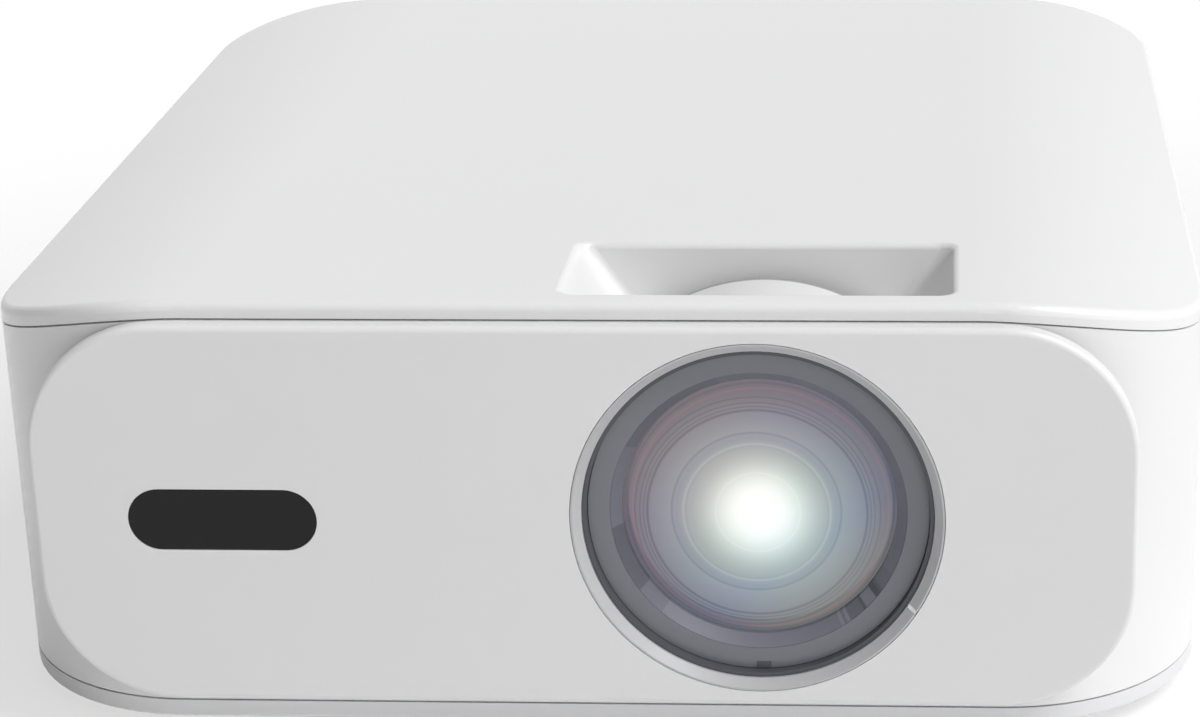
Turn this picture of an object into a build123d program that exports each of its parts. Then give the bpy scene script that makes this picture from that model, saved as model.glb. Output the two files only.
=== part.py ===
from build123d import *
import math
import os

# A tabletop projector with a disc drive in its left side. Millimetres, +Z up, front towards -Y.
# The origin is on the surface that the feet stand on, under the centre of the housing.

os.makedirs("parts", exist_ok=True)

# ---------------------------------------------------------------- housing sizes
BODY_WIDTH = 260.0
BODY_HEIGHT = 94.0
FOOT_HEIGHT = 4.0
FRONT_CORNER_RADIUS = 42.8
BACK_CORNER_RADIUS = 34.0
CROWN_WIDTH = 48.6          # the top starts to fall this far in from each side
CROWN_DROP_FRONT = 11.9     # how far it has fallen at the side, at the front and at the back
CROWN_DROP_BACK = 6.5
TOP_EDGE_RADIUS = 2.0
BOTTOM_EDGE_RADIUS = 1.0
WALL = 2.4
COVER_RIM = 3.6             # height of the top cover's rim
BASE_RIM = 4.0              # height of the bottom cover's rim
SEAM_GAP = 0.4
LIP_THICKNESS = 1.4
LIP_HEIGHT = 3.0
LIP_CLEARANCE = 0.2
SNAP_GAP = 0.3              # round an inset that shows a fine joint line

# ---------------------------------------------------------------- front panel and window
PANEL_STANDOUT = 3.6
PANEL_SIDE = 15.5           # housing showing on each side of the panel
PANEL_BOTTOM = 6.0
PANEL_TOP = 89.8
PANEL_CORNER_RADIUS = 28.0
PANEL_EDGE_RADIUS = 1.3
WINDOW_FROM_LEFT = 55.3
WINDOW_HEIGHT_UP = 47.4
WINDOW_LENGTH = 39.3
WINDOW_WIDTH = 13.3
WINDOW_FLANGE = 2.0
FLANGE_THICKNESS = 1.2

# ---------------------------------------------------------------- lens sizes
LENS_FROM_RIGHT = 93.6
LENS_HEIGHT_UP = 47.9
BEZEL_RADIUS = 38.6
BEZEL_EDGE = 0.4
BEZEL_BORE = 36.5
BEZEL_CONE_DEPTH = 1.8
BEZEL_FLANGE_RADIUS = 40.2
BEZEL_SEAT_GAP = 0.1
INDEX_MARK_WIDTH = 0.9
INDEX_MARK_ANGLE = -32.0
BARREL_HEAD_RADIUS = 35.4
BARREL_RADIUS = 33.0
BARREL_WALL = 2.4
BARREL_FACE_DEPTH = 0.9
BARREL_END_DEPTH = 34.0
RETAINER_RADIUS = 30.8
RETAINER_BORE = 28.6
RETAINER_LENGTH = 4.0
RETAINER_SET_BACK = 0.1
RETAINER_LIP = 1.5          # straight part of its bore, behind the cone
RETAINER_THREAD_GAP = 0.05
LENS_SEAT = 2.0             # width of the shoulder behind the front lens
REAR_LENS_EDGE = 6.0
REAR_LENS_SEAT = 1.5
LENS_EDGE = 4.0
FRONT_LENS_CURVE = 90.0
BACK_LENS_CURVE = 120.0
REAR_LENS_RADIUS = 22.0
REAR_LENS_CURVE = 48.0
REAR_LENS_DEPTH = 28.0
RUNNING_CLEARANCE = 0.06
SLEEVE_WALL = 2.6
SLEEVE_COLLAR = 1.2
SLEEVE_FRONT_DEPTH = 10.4
MOUNT_PLATE = 3.0
MOUNT_LIGHT_RADIUS = 24.0
RING_RADIUS = 39.5
RING_WALL = 3.8
RING_FRONT_DEPTH = 14.0
RING_BACK_DEPTH = 37.5
RING_EDGE_RADIUS = 1.8
RING_END_GAP = 0.4
FOCUS_TRAVEL = 3.0          # each way
FOCUS_TURN = 45.0           # degrees each way
FOCUS_PIN_RADIUS = 1.2
FOCUS_PIN_REACH = 1.9
FOCUS_PIN_DEPTH = 24.0
FOCUS_PIN_CLEARANCE = 0.25
FOCUS_PIN_COUNT = 3

# ---------------------------------------------------------------- focus well in the top cover
WELL_LENGTH = 81.0
WELL_FRONT = 6.2
WELL_BACK = 40.0
WELL_DEPTH = 13.6
WELL_SIDE_SLOPE = 0.75      # how far each side leans in for each unit of depth
WELL_END_SLOPE = 0.12
WELL_CORNER_RADIUS = 3.0
WELL_RIM_RADIUS = 1.6
WELL_WALL = 2.0
WELL_SLOT_MARGIN = 0.8      # round the ring and the lens sleeve where they come through the floor

# ---------------------------------------------------------------- light engine
ENGINE_FROM_LEFT = 68.0
ENGINE_PAST_LENS = 37.6
ENGINE_FRONT = 42.0
ENGINE_BACK = 108.0
ENGINE_HEIGHT = 52.0
ENGINE_WALL = 2.5
ENGINE_LID = 2.0
ENGINE_LIGHT_RADIUS = 22.0
LCD_FROM_LENS = 34.4
LCD_THICKNESS = 2.6
LCD_BORDER = 4.0
LCD_FACE_DEPTH = 0.4
FRESNEL_THICKNESS = 1.6
FRONT_FRESNEL_GAP = 5.0      # between the middles of this plate and of the panel
REAR_FRESNEL_GAP = 7.0
OPTIC_SLOT_DEPTH = 2.0
CONDENSER_OFFSET = 4.5       # nearer the lamp than the middle of its space
CONDENSER_RADIUS = 21.5
CONDENSER_CURVE = 32.0
CONDENSER_EDGE = 2.0
MIRROR_THICKNESS = 3.0
MIRROR_LENGTH = 76.0
LED_BOARD_SIDE = 34.0
LED_BOARD_THICKNESS = 1.6
LED_WINDOW = 24.0
SINK_BASE = 4.0
SINK_DEPTH = 56.0
SINK_HEIGHT = 50.0
SINK_FINS = 9
SINK_FIN_THICKNESS = 1.6
LED_SIDE = 14.0
LED_HEIGHT = 1.2
OPTIC_CLEARANCE = 0.1       # between a plate or lens of the light path and its seat
OPTIC_RIB = 1.2
ENGINE_CORNER = 2.0

# ---------------------------------------------------------------- fan and side grilles
FAN_SIDE = 60.0
FAN_THICKNESS = 15.0
FAN_FROM_LEFT = 20.5
FAN_BORE = 28.5
FAN_HUB = 13.0
FAN_TIP_GAP = 0.8
FAN_BLADES = 7
FAN_BLADE_THICKNESS = 1.4
FAN_SCREW_SPACING = 50.0
FAN_SCREW_RADIUS = 2.2
FAN_CORNER = 4.0
STRUT_WIDTH = 3.0
STRUT_THICKNESS = 2.0
GRILLE_CENTRE_UP = 47.0
GRILLE_LENGTH = 54.0
GRILLE_HEIGHT = 52.0
GRILLE_CORNER = 5.0
GRILLE_SLOTS = 11
GRILLE_SLOT_WIDTH = 2.4
GRILLE_SLOT_PITCH = 4.4
GRILLE_SLOT_HEIGHT = 43.0
GRILLE_FLANGE = 2.0

# ---------------------------------------------------------------- disc drive
DISC_FROM_LEFT = 68.0       # centre of the disc with the tray shut
DRIVE_ENGINE_GAP = 1.5
REAR_ROOM = 32.5            # behind the drive, for the speakers and sockets
TRAY_TOP = 68.0
TRAY_BOTTOM = 63.2
TRAY_WIDTH = 125.0
TRAY_REACH = 160.0
TRAY_RUNNER = 3.4           # the tray's edges hang this much lower and ride on the rails
TRAY_RUNNER_DROP = 0.7
DISC_RECESS_RADIUS = 61.0
DISC_RECESS_DEPTH = 1.8
SMALL_RECESS_RADIUS = 40.5
SMALL_RECESS_DEPTH = 1.0
TRAY_SLOT_RADIUS = 23.0
TRAY_TRAVEL = 128.0
DOOR_THICKNESS = 3.0
DOOR_HEIGHT = 13.0
DOOR_CENTRE_UP = 64.0
DOOR_GAP = 0.6
DOOR_CORNER = 2.0
CHASSIS_FROM_LEFT = 8.0
CHASSIS_LENGTH = 158.0
CHASSIS_WALL = 2.2
CHASSIS_SIDE_GAP = 1.3
CHASSIS_BOTTOM = 40.0
CHASSIS_TOP = 71.8
CHASSIS_FLOOR = 2.0
CHASSIS_BAR_TOP = 56.5
RAIL_WIDTH = 3.4
RAIL_THICKNESS = 2.8
RAIL_GAP = 0.1
GUIDE_TAB_LENGTH = 16.0
GUIDE_TAB_THICKNESS = 1.6
WINDOW_LEFT = -22.0         # sides of the floor's window, from the disc's centre
WINDOW_RIGHT = 75.0
WINDOW_NEAR = -33.5
WINDOW_FAR = 52.0

# ---------------------------------------------------------------- gear train of the tray
RACK_MODULE = 1.2
GEAR_MODULE = 0.8
PINION_TEETH = 14
DRIVE_TEETH = 36
SMALL_TEETH = 14
PRESSURE_ANGLE = 20.0
ADDENDUM = 0.8
DEDENDUM = 1.15
BACKLASH = 0.16
RACK_NEAR_EDGE = 3.2        # from the tray's edge to the rack's back
RACK_BACK = 2.2
RACK_HEIGHT = 4.2
RACK_FROM_LEFT = 18.0
DRIVE_GEAR_FROM_LEFT = 26.0
PINION_BOTTOM = 59.2
PINION_TOP = 62.4
GEAR_BOTTOM = 50.0
GEAR_THICKNESS = 3.5
PULLEY_BOTTOM = 54.6
PULLEY_THICKNESS = 3.4
PULLEY_RADIUS = 12.0
PULLEY_GROOVE = 1.3
MOTOR_PULLEY_RADIUS = 3.6
GEAR_POST_RADIUS = 1.6
GEAR_BORE_CLEARANCE = 0.06
HUB_RADIUS = 3.4
MOTOR_FROM_GEAR = 54.0
MOTOR_RADIUS = 12.2
MOTOR_HEIGHT = 11.7
MOTOR_SHAFT_RADIUS = 1.0
BELT_SIDE = 1.2
BELT_GAP = 0.05

# ---------------------------------------------------------------- traverse, measured with the disc lifted
PIVOT_FROM_DISC = 88.0
PIVOT_UP = 50.0
TRAVERSE_DROP_ANGLE = 4.0
DECK_BOTTOM = 2.0
DECK_THICKNESS = 2.0
DECK_LEFT = -105.0
DECK_RIGHT = -4.0
DECK_NEAR = -29.0
DECK_FAR = 46.0
DECK_CORNER = 4.0
PIVOT_PIN_RADIUS = 1.5
PIVOT_BOSS_RADIUS = 3.2
SPINDLE_X = -PIVOT_FROM_DISC
SPINDLE_MOTOR_RADIUS = 12.0
SPINDLE_MOTOR_HEIGHT = 5.0
PLATTER_RADIUS = 15.0
PLATTER_THICKNESS = 2.4
PLATTER_TOP = 17.4
ROTOR_RADIUS = 11.0
DISC_HUB_RADIUS = 7.3
DISC_HUB_HEIGHT = 3.0
DISC_HUB_TAPER = 16.0
SLED_LENS_X = SPINDLE_X + 23.0
SLED_TRAVEL = 35.0
SLED_FRONT = 5.0
SLED_LENGTH = 24.0
SLED_HALF_WIDTH = 20.5
SLED_BOTTOM = 4.6
SLED_TOP = 11.2
SLED_EAR_WIDTH = 6.4
LENS_HOLDER_RADIUS = 4.2
LENS_HOLDER_TOP = 15.2
ROD_RADIUS = 1.5
ROD_SPACING = 50.0
ROD_HEIGHT = 7.4
ROD_LEFT = SLED_LENS_X - SLED_FRONT - 4.0
ROD_RIGHT = -7.0
FEED_MODULE = 0.5
FEED_TEETH = 24
FEED_GEAR_X = -35.0
FEED_GEAR_BOTTOM = 5.6
FEED_GEAR_THICKNESS = 2.4
FEED_MOTOR_RADIUS = 9.0
FEED_MOTOR_HEIGHT = 9.0
FEED_SHAFT_RADIUS = 1.0
DECK_WINDOW_HALF = 22.0

# ---------------------------------------------------------------- clamp over the disc
BRIDGE_HALF_WIDTH = 24.0
BRIDGE_THICKNESS = 1.6
BRIDGE_CORNER = 3.0
PUCK_STEM_RADIUS = 12.0
PUCK_FLANGE_RADIUS = 15.5
PUCK_FLANGE_THICKNESS = 1.6
PUCK_CLEARANCE = 0.5
PUCK_BOTTOM = 70.9

# ---------------------------------------------------------------- buttons and their switches
EJECT_FROM_BACK = 48.0
EJECT_UP = 46.0
EJECT_LENGTH = 10.0
EJECT_WIDTH = 4.6
POWER_IN = 12.0             # from the back panel's right edge
POWER_UP = 46.0
POWER_RADIUS = 6.0
BUTTON_GAP = 0.3
BUTTON_FLANGE = 1.2
BUTTON_FLANGE_THICKNESS = 0.8
BUTTON_TRAVEL = 0.8
BUTTON_END_GAP = 0.1        # between a button's flange and the wall it is held behind
BUTTON_EDGE_RADIUS = 0.5
SWITCH_SIDE = 6.0
SWITCH_PLUNGER_RADIUS = 1.7
SWITCH_PLUNGER_LENGTH = 0.8
SWITCH_BOARD = 1.0
SWITCH_BOARD_SIDE = 16.0
SWITCH_POST_PITCH = 13.2
SWITCH_POST_RADIUS = 1.2

# ---------------------------------------------------------------- back panel, sockets and boards
BACK_PANEL_SIDE = 42.0      # wall on each side of the back panel
BACK_PANEL_BOTTOM = 10.0
BACK_PANEL_TOP = 72.0
BACK_PANEL_CORNER = 4.0
BACK_PANEL_FLANGE = 2.0
BACK_FLANGE_THICKNESS = 1.5
SPEAKER_IN = 44.0           # from each edge of the back panel
SPEAKER_UP = 52.0
SPEAKER_SIDE = 40.0
SPEAKER_SLOTS = 9
SPEAKER_SLOT_LENGTH = 28.0
SPEAKER_SLOT_WIDTH = 2.0
SPEAKER_SLOT_PITCH = 4.0
BOARD_BOTTOM = 12.4
BOARD_THICKNESS = 1.6
BOARD_FROM_LEFT = 40.0
BOARD_LENGTH = 110.0
BOARD_FROM_BACK = 122.0
BOARD_BACK_GAP = 2.0
HDMI_IN = (96.0, 74.0)      # from the back panel's left edge
HDMI_SIZE = (15.0, 11.5, 6.0)
HDMI_MOUTH = (14.0, 4.6)
HDMI_TONGUE = (11.0, 1.6)
USB_IN = (54.0, 36.0)
USB_SIZE = (14.5, 14.0, 7.0)
USB_MOUTH = (12.5, 5.1)
USB_TONGUE = (11.2, 1.9)
JACK_IN = (20.0, 8.0)
JACK_SIZE = (7.6, 13.0, 6.4)
JACK_BORE = 1.8
JACK_DEPTH = 15.0
SOCKET_MOUTH_GAP = 0.3
INLET_IN = 18.0             # from the back panel's right edge
INLET_UP = 22.0
INLET_SIZE = (25.0, 20.0, 14.0)
INLET_CORNER = 3.0
INLET_PIN_SPACING = 8.6
INLET_PIN_SET_BACK = 3.0
INLET_PIN_RADIUS = 1.2
INLET_LOBE_RADIUS = 4.6
INLET_DEPTH = 14.0
INLET_FLANGE = 2.0
POWER_BOARD_FROM_RIGHT = 6.0
POWER_BOARD_WIDTH = 44.0
POWER_BOARD_LENGTH = 114.0
POWER_BOARD_FROM_BACK = 42.0

# ---------------------------------------------------------------- bottom: posts, feet and threads
CASE_SCREW_FROM_SIDE = 26.0
CASE_SCREW_DEPTHS = (73.2, 205.2)
BACK_SCREW_SPREAD = 90.0
BACK_SCREW_FROM_BACK = 20.8
CASE_SCREW_HEAD_RADIUS = 3.4
CASE_SCREW_HEAD_DEPTH = 2.0
CASE_SCREW_HOLE_RADIUS = 1.7
CASE_POST_RADIUS = 5.0
CASE_POST_HEIGHT = 7.0
POST_RADIUS = 3.2
FOOT_RADIUS = 8.0
FOOT_POCKET = 1.0
FOOT_FROM_SIDE = 38.0
FRONT_FOOT_DEPTH = 46.0
BACK_FOOT_FROM_BACK = 38.0
TRIPOD_RADIUS = 3.175
TRIPOD_BUSH_RADIUS = 5.5
TRIPOD_LENGTH = 9.0
BRACKET_SPACING = 120.0
BRACKET_RADIUS = 2.0
BRACKET_INSERT_RADIUS = 3.2
BRACKET_LENGTH = 7.0
BOSS_WALL = 2.0
SCREW_FOOT_DEPTH = 26.0
SCREW_FOOT_FROM_LENS = 36.4  # sideways, clear of the lens mount
SCREW_FOOT_LIFT = 0.8
SCREW_FOOT_TRAVEL = 10.0
KNOB_RADIUS = 11.0
KNOB_THICKNESS = 4.4
KNOB_RIBS = 16
KNOB_POCKET_RADIUS = 13.0
KNOB_POCKET_DEPTH = 4.6
FOOT_PAD_RADIUS = 8.0
FOOT_PAD_THICKNESS = 1.8
FOOT_CHAMFER = 0.8
SCREW_CHAMFER = 0.6
PAD_CHAMFER = 0.5
FOOT_SCREW_RADIUS = 3.92
FOOT_NUT_BORE = 4.0
FOOT_HOLE_GAP = 0.3         # round the screw where it passes the floor of its pocket
FOOT_NUT_RADIUS = 6.5
FOOT_NUT_LENGTH = 9.0
FOOT_SCREW_LENGTH = 20.0

# ---------------------------------------------------------------- places worked out from the sizes
DRIVE_HALF_DEPTH = TRAY_WIDTH / 2 + CHASSIS_SIDE_GAP + CHASSIS_WALL
DRIVE_DEPTH = ENGINE_BACK + DRIVE_ENGINE_GAP + DRIVE_HALF_DEPTH
BODY_DEPTH = DRIVE_DEPTH + DRIVE_HALF_DEPTH + REAR_ROOM
FRONT_Y = PANEL_STANDOUT - (BODY_DEPTH + PANEL_STANDOUT) / 2
BACK_Y = FRONT_Y + BODY_DEPTH
MID_Y = (FRONT_Y + BACK_Y) / 2
LEFT_X = -BODY_WIDTH / 2
RIGHT_X = BODY_WIDTH / 2
MARGIN = 3.0                # how far a cutting tool stands past what it cuts


def behind(depth):
    """Y of a place that far behind the face of the front wall."""
    return FRONT_Y + depth


def above(height):
    """Z of a place that far above the underside of the housing."""
    return FOOT_HEIGHT + height


def upright(y):
    """Plane across the housing at y, seen from the front, with its normal towards the viewer."""
    return Plane.XZ.offset(-y)


PANEL_WIDTH = BODY_WIDTH - 2 * PANEL_SIDE
WINDOW_X = LEFT_X + WINDOW_FROM_LEFT
LENS_X = RIGHT_X - LENS_FROM_RIGHT
ENGINE_LEFT = LEFT_X + ENGINE_FROM_LEFT
ENGINE_RIGHT = LENS_X + ENGINE_PAST_LENS
LCD_X = LENS_X - LCD_FROM_LENS
FRONT_FRESNEL_X = LCD_X + FRONT_FRESNEL_GAP
REAR_FRESNEL_X = LCD_X - REAR_FRESNEL_GAP
CONDENSER_X = (ENGINE_LEFT + REAR_FRESNEL_X) / 2 - CONDENSER_OFFSET
FAN_X = LEFT_X + FAN_FROM_LEFT
DISC_X = LEFT_X + DISC_FROM_LEFT
PIVOT_X = DISC_X + PIVOT_FROM_DISC
TRAY_END_X = LEFT_X + TRAY_REACH
CHASSIS_FRONT_X = LEFT_X + CHASSIS_FROM_LEFT
CHASSIS_BACK_X = CHASSIS_FRONT_X + CHASSIS_LENGTH
RACK_START_X = LEFT_X + RACK_FROM_LEFT
DRIVE_GEAR_X = LEFT_X + DRIVE_GEAR_FROM_LEFT
MOTOR_X = DRIVE_GEAR_X + MOTOR_FROM_GEAR
BOARD_LEFT = LEFT_X + BOARD_FROM_LEFT
BOARD_RIGHT = BOARD_LEFT + BOARD_LENGTH
BOARD_NEAR_Y = BACK_Y - BOARD_FROM_BACK
POWER_BOARD_RIGHT = RIGHT_X - POWER_BOARD_FROM_RIGHT
POWER_BOARD_LEFT = POWER_BOARD_RIGHT - POWER_BOARD_WIDTH
POWER_BOARD_FAR_Y = BACK_Y - POWER_BOARD_FROM_BACK
POWER_BOARD_NEAR_Y = POWER_BOARD_FAR_Y - POWER_BOARD_LENGTH
BACK_PANEL_WIDTH = BODY_WIDTH - 2 * BACK_PANEL_SIDE
BACK_PANEL_LEFT = -BACK_PANEL_WIDTH / 2
BACK_PANEL_RIGHT = BACK_PANEL_WIDTH / 2
HDMI_X = [BACK_PANEL_LEFT + reach for reach in HDMI_IN]
USB_X = [BACK_PANEL_LEFT + reach for reach in USB_IN]
JACK_X = [BACK_PANEL_LEFT + reach for reach in JACK_IN]
INLET_X = BACK_PANEL_RIGHT - INLET_IN
POWER_X = BACK_PANEL_RIGHT - POWER_IN
SPEAKER_X = BACK_PANEL_RIGHT - SPEAKER_IN
DRIVE_Y = behind(DRIVE_DEPTH)
LENS_Z = above(LENS_HEIGHT_UP)
LENS_SECTION = Plane(origin=(LENS_X, FRONT_Y, LENS_Z), x_dir=(1, 0, 0), z_dir=(0, 0, 1))
LENS_AXIS = Axis((LENS_X, FRONT_Y, LENS_Z), (0, 1, 0))
ENGINE_MID_Y = behind((ENGINE_FRONT + ENGINE_BACK) / 2)
ENGINE_BOTTOM = LENS_Z - ENGINE_HEIGHT / 2
ENGINE_TOP = LENS_Z + ENGINE_HEIGHT / 2
ENGINE_DEPTH = ENGINE_BACK - ENGINE_FRONT
BARREL_HEAD_LENGTH = SLEEVE_FRONT_DEPTH - FOCUS_TRAVEL - RING_END_GAP
RETAINER_FRONT = BARREL_FACE_DEPTH + RETAINER_SET_BACK
FRONT_LENS_FRONT = RETAINER_FRONT + RETAINER_LENGTH
FRONT_LENS_BACK = FRONT_LENS_FRONT + LENS_EDGE
BARREL_BORE = BARREL_RADIUS - BARREL_WALL
SLEEVE_RADIUS = BARREL_RADIUS + RUNNING_CLEARANCE + SLEEVE_WALL
MOUNT_FLANGE_RADIUS = SLEEVE_RADIUS + SLEEVE_COLLAR
RING_BORE = SLEEVE_RADIUS + RUNNING_CLEARANCE


# ---------------------------------------------------------------- shared shapes
def plan_outline(inset):
    """Rounded plan of the housing, drawn in by inset."""
    with BuildSketch(mode=Mode.PRIVATE) as outline:
        with Locations((0, MID_Y)):
            Rectangle(BODY_WIDTH - 2 * inset, BODY_DEPTH - 2 * inset)
        fillet(outline.vertices().group_by(Axis.Y)[0], FRONT_CORNER_RADIUS - inset)
        fillet(outline.vertices().group_by(Axis.Y)[-1], BACK_CORNER_RADIUS - inset)
    return outline.sketch


def crown_drop(drop_at_side, reach):
    """Fall of the crown's arc at that reach from where it leaves the flat top."""
    radius = (CROWN_WIDTH**2 + drop_at_side**2) / (2 * drop_at_side)
    return radius - math.sqrt(radius**2 - reach**2)


def crowned_block(inset, lowered, floor):
    """Solid inside the housing's plan, from floor up to the crowned top moved down by lowered."""
    top = above(BODY_HEIGHT - lowered)
    low = above(-MARGIN)
    flat = BODY_WIDTH / 2 - CROWN_WIDTH
    half = BODY_WIDTH / 2 + MARGIN
    with BuildPart(mode=Mode.PRIVATE) as block:
        for y, drop_at_side in ((FRONT_Y - MARGIN, CROWN_DROP_FRONT), (BACK_Y + MARGIN, CROWN_DROP_BACK)):
            side = top - crown_drop(drop_at_side, CROWN_WIDTH + MARGIN)
            with BuildSketch(upright(y)):
                with BuildLine():
                    Line((-flat, top), (flat, top))
                    TangentArc((flat, top), (half, side), tangent=(1, 0))
                    TangentArc((-flat, top), (-half, side), tangent=(-1, 0))
                    Polyline((half, side), (half, low), (-half, low), (-half, side))
                make_face()
        loft(ruled=True)
        with BuildSketch(Plane.XY.offset(above(floor))):
            add(plan_outline(inset))
        extrude(amount=BODY_HEIGHT + MARGIN, mode=Mode.INTERSECT)
    return block.part


def gear_outline(teeth, module, first_tooth):
    """Spur gear outline with involute flanks and a tooth's middle at the angle first_tooth, in degrees."""
    pitch_radius = teeth * module / 2
    base_radius = pitch_radius * math.cos(math.radians(PRESSURE_ANGLE))
    root_radius = pitch_radius - DEDENDUM * module
    tip_radius = pitch_radius + ADDENDUM * module
    half_tooth = math.pi / (2 * teeth) - BACKLASH / 4 / pitch_radius

    def flank_angle(radius):
        """Angle from a tooth's middle to its flank at that radius."""
        def roll(at):
            tangent = math.sqrt(max(at**2 - base_radius**2, 0.0)) / base_radius
            return tangent - math.atan(tangent)
        return half_tooth + roll(pitch_radius) - roll(radius)

    radii = [root_radius, max(base_radius, root_radius + 0.1), pitch_radius, tip_radius]
    points = []
    for tooth in range(teeth):
        middle = math.radians(first_tooth) + 2 * math.pi * tooth / teeth
        flank = [(radius, flank_angle(radius)) for radius in radii]
        for radius, angle in [(r, -a) for r, a in flank] + [(r, a) for r, a in reversed(flank)]:
            points.append((radius * math.cos(middle + angle), radius * math.sin(middle + angle)))
    with BuildSketch(mode=Mode.PRIVATE) as outline:
        Polygon(*points, align=None)
    return outline.sketch


def rack_outline(module, start, end, back, tooth_at):
    """Rack along X with teeth towards +Y, its pitch line on Y = 0 and a tooth's middle at tooth_at."""
    pitch = math.pi * module
    lean = math.tan(math.radians(PRESSURE_ANGLE))
    half_pitch_tooth = pitch / 4 - BACKLASH / 4
    half_tip = half_pitch_tooth - ADDENDUM * module * lean
    half_root = half_pitch_tooth + DEDENDUM * module * lean
    root = -DEDENDUM * module
    tip = ADDENDUM * module
    first = math.ceil((start + half_root - tooth_at) / pitch)
    last = math.floor((end - half_root - tooth_at) / pitch)
    points = [(start, root - back), (start, root)]
    for tooth in range(first, last + 1):
        middle = tooth_at + tooth * pitch
        points += [(middle - half_root, root), (middle - half_tip, tip)]
        points += [(middle + half_tip, tip), (middle + half_root, root)]
    points += [(end, root), (end, root - back)]
    with BuildSketch(mode=Mode.PRIVATE) as outline:
        Polygon(*points, align=None)
    return outline.sketch


def vent_plate(plane, length, height):
    """Moulded vent insert with a flange inside the wall and a row of upright slots."""
    with BuildPart(mode=Mode.PRIVATE) as vent:
        with BuildSketch(plane):
            RectangleRounded(length, height, GRILLE_CORNER)
        extrude(amount=-WALL)
        with BuildSketch(plane.offset(-WALL)):
            RectangleRounded(length + 2 * GRILLE_FLANGE, height + 2 * GRILLE_FLANGE,
                             GRILLE_CORNER + GRILLE_FLANGE)
        extrude(amount=-FLANGE_THICKNESS)
        with BuildSketch(plane):
            with GridLocations(GRILLE_SLOT_PITCH, 0, GRILLE_SLOTS, 1):
                SlotOverall(GRILLE_SLOT_HEIGHT, GRILLE_SLOT_WIDTH, rotation=90)
        extrude(amount=-WALL - FLANGE_THICKNESS, mode=Mode.SUBTRACT)
    return vent.part


# ---------------------------------------------------------------- middle housing
DOOR_Z = above(DOOR_CENTRE_UP)
GRILLE_Y = ENGINE_MID_Y
GRILLE_Z = above(GRILLE_CENTRE_UP)
WINDOW_Z = above(WINDOW_HEIGHT_UP)
WINDOW_HOLE_INSET = 1.6
BACK_PANEL_Z = above((BACK_PANEL_BOTTOM + BACK_PANEL_TOP) / 2)
BACK_PANEL_HEIGHT = BACK_PANEL_TOP - BACK_PANEL_BOTTOM
LEFT_WALL = Plane.YZ.offset(LEFT_X)
RIGHT_WALL = Plane.YZ.offset(RIGHT_X)

with BuildPart() as middle_housing:
    add(crowned_block(0, COVER_RIM + SEAM_GAP, BASE_RIM + SEAM_GAP))
    with BuildSketch(Plane.XY.offset(above(0))):
        add(plan_outline(WALL))
    extrude(amount=BODY_HEIGHT, mode=Mode.SUBTRACT)
    with BuildSketch(upright(behind(WALL + MARGIN))):
        with Locations((LENS_X, LENS_Z)):
            Circle(BEZEL_BORE + BEZEL_SEAT_GAP)
        with Locations((WINDOW_X, WINDOW_Z)):
            SlotOverall(WINDOW_LENGTH - 2 * WINDOW_HOLE_INSET, WINDOW_WIDTH - 2 * WINDOW_HOLE_INSET)
    extrude(amount=WALL + 2 * MARGIN, mode=Mode.SUBTRACT)
    with BuildSketch(LEFT_WALL.offset(-MARGIN)):
        with Locations((GRILLE_Y, GRILLE_Z)):
            RectangleRounded(GRILLE_LENGTH, GRILLE_HEIGHT, GRILLE_CORNER)
        with Locations((DRIVE_Y, DOOR_Z)):
            RectangleRounded(TRAY_WIDTH + 2 * DOOR_GAP, DOOR_HEIGHT + 2 * DOOR_GAP, DOOR_CORNER + DOOR_GAP)
        with Locations((BACK_Y - EJECT_FROM_BACK, above(EJECT_UP))):
            SlotOverall(EJECT_LENGTH + 2 * BUTTON_GAP, EJECT_WIDTH + 2 * BUTTON_GAP)
    extrude(amount=WALL + 2 * MARGIN, mode=Mode.SUBTRACT)
    with BuildSketch(RIGHT_WALL.offset(MARGIN)):
        with Locations((GRILLE_Y, GRILLE_Z)):
            RectangleRounded(GRILLE_LENGTH, GRILLE_HEIGHT, GRILLE_CORNER)
    extrude(amount=-WALL - 2 * MARGIN, mode=Mode.SUBTRACT)
    with BuildSketch(upright(BACK_Y + MARGIN)):
        with Locations((0, BACK_PANEL_Z)):
            RectangleRounded(BACK_PANEL_WIDTH, BACK_PANEL_HEIGHT, BACK_PANEL_CORNER)
    extrude(amount=WALL + 2 * MARGIN, mode=Mode.SUBTRACT)
middle_housing.part.label = "middle_housing"
export_step(middle_housing.part, "parts/middle_housing.step")

# ---------------------------------------------------------------- top cover with the focus well
WELL_Y = behind((WELL_FRONT + WELL_BACK) / 2)
WELL_WIDTH = WELL_BACK - WELL_FRONT
COVER_TOP = above(BODY_HEIGHT)
WELL_PASSAGES = [
    (WALL + LIP_CLEARANCE + LIP_THICKNESS, RING_FRONT_DEPTH, SLEEVE_RADIUS + SLEEVE_COLLAR),
    (RING_FRONT_DEPTH - WELL_SLOT_MARGIN, RING_BACK_DEPTH + WELL_SLOT_MARGIN, RING_RADIUS),
    (RING_BACK_DEPTH, ENGINE_FRONT + WELL_SLOT_MARGIN, MOUNT_FLANGE_RADIUS)]


def well_block(wall, depth):
    """Tapered block of the focus well, grown by a wall."""
    with BuildPart(mode=Mode.PRIVATE) as block:
        for level in (-MARGIN, depth):
            length = WELL_LENGTH - 2 * WELL_SIDE_SLOPE * level + 2 * wall
            width = WELL_WIDTH - 2 * WELL_END_SLOPE * level + 2 * wall
            with BuildSketch(Plane.XY.offset(COVER_TOP - level)):
                with Locations((LENS_X, WELL_Y)):
                    RectangleRounded(length, width, WELL_CORNER_RADIUS + wall)
        loft(ruled=True)
    return block.part


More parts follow.
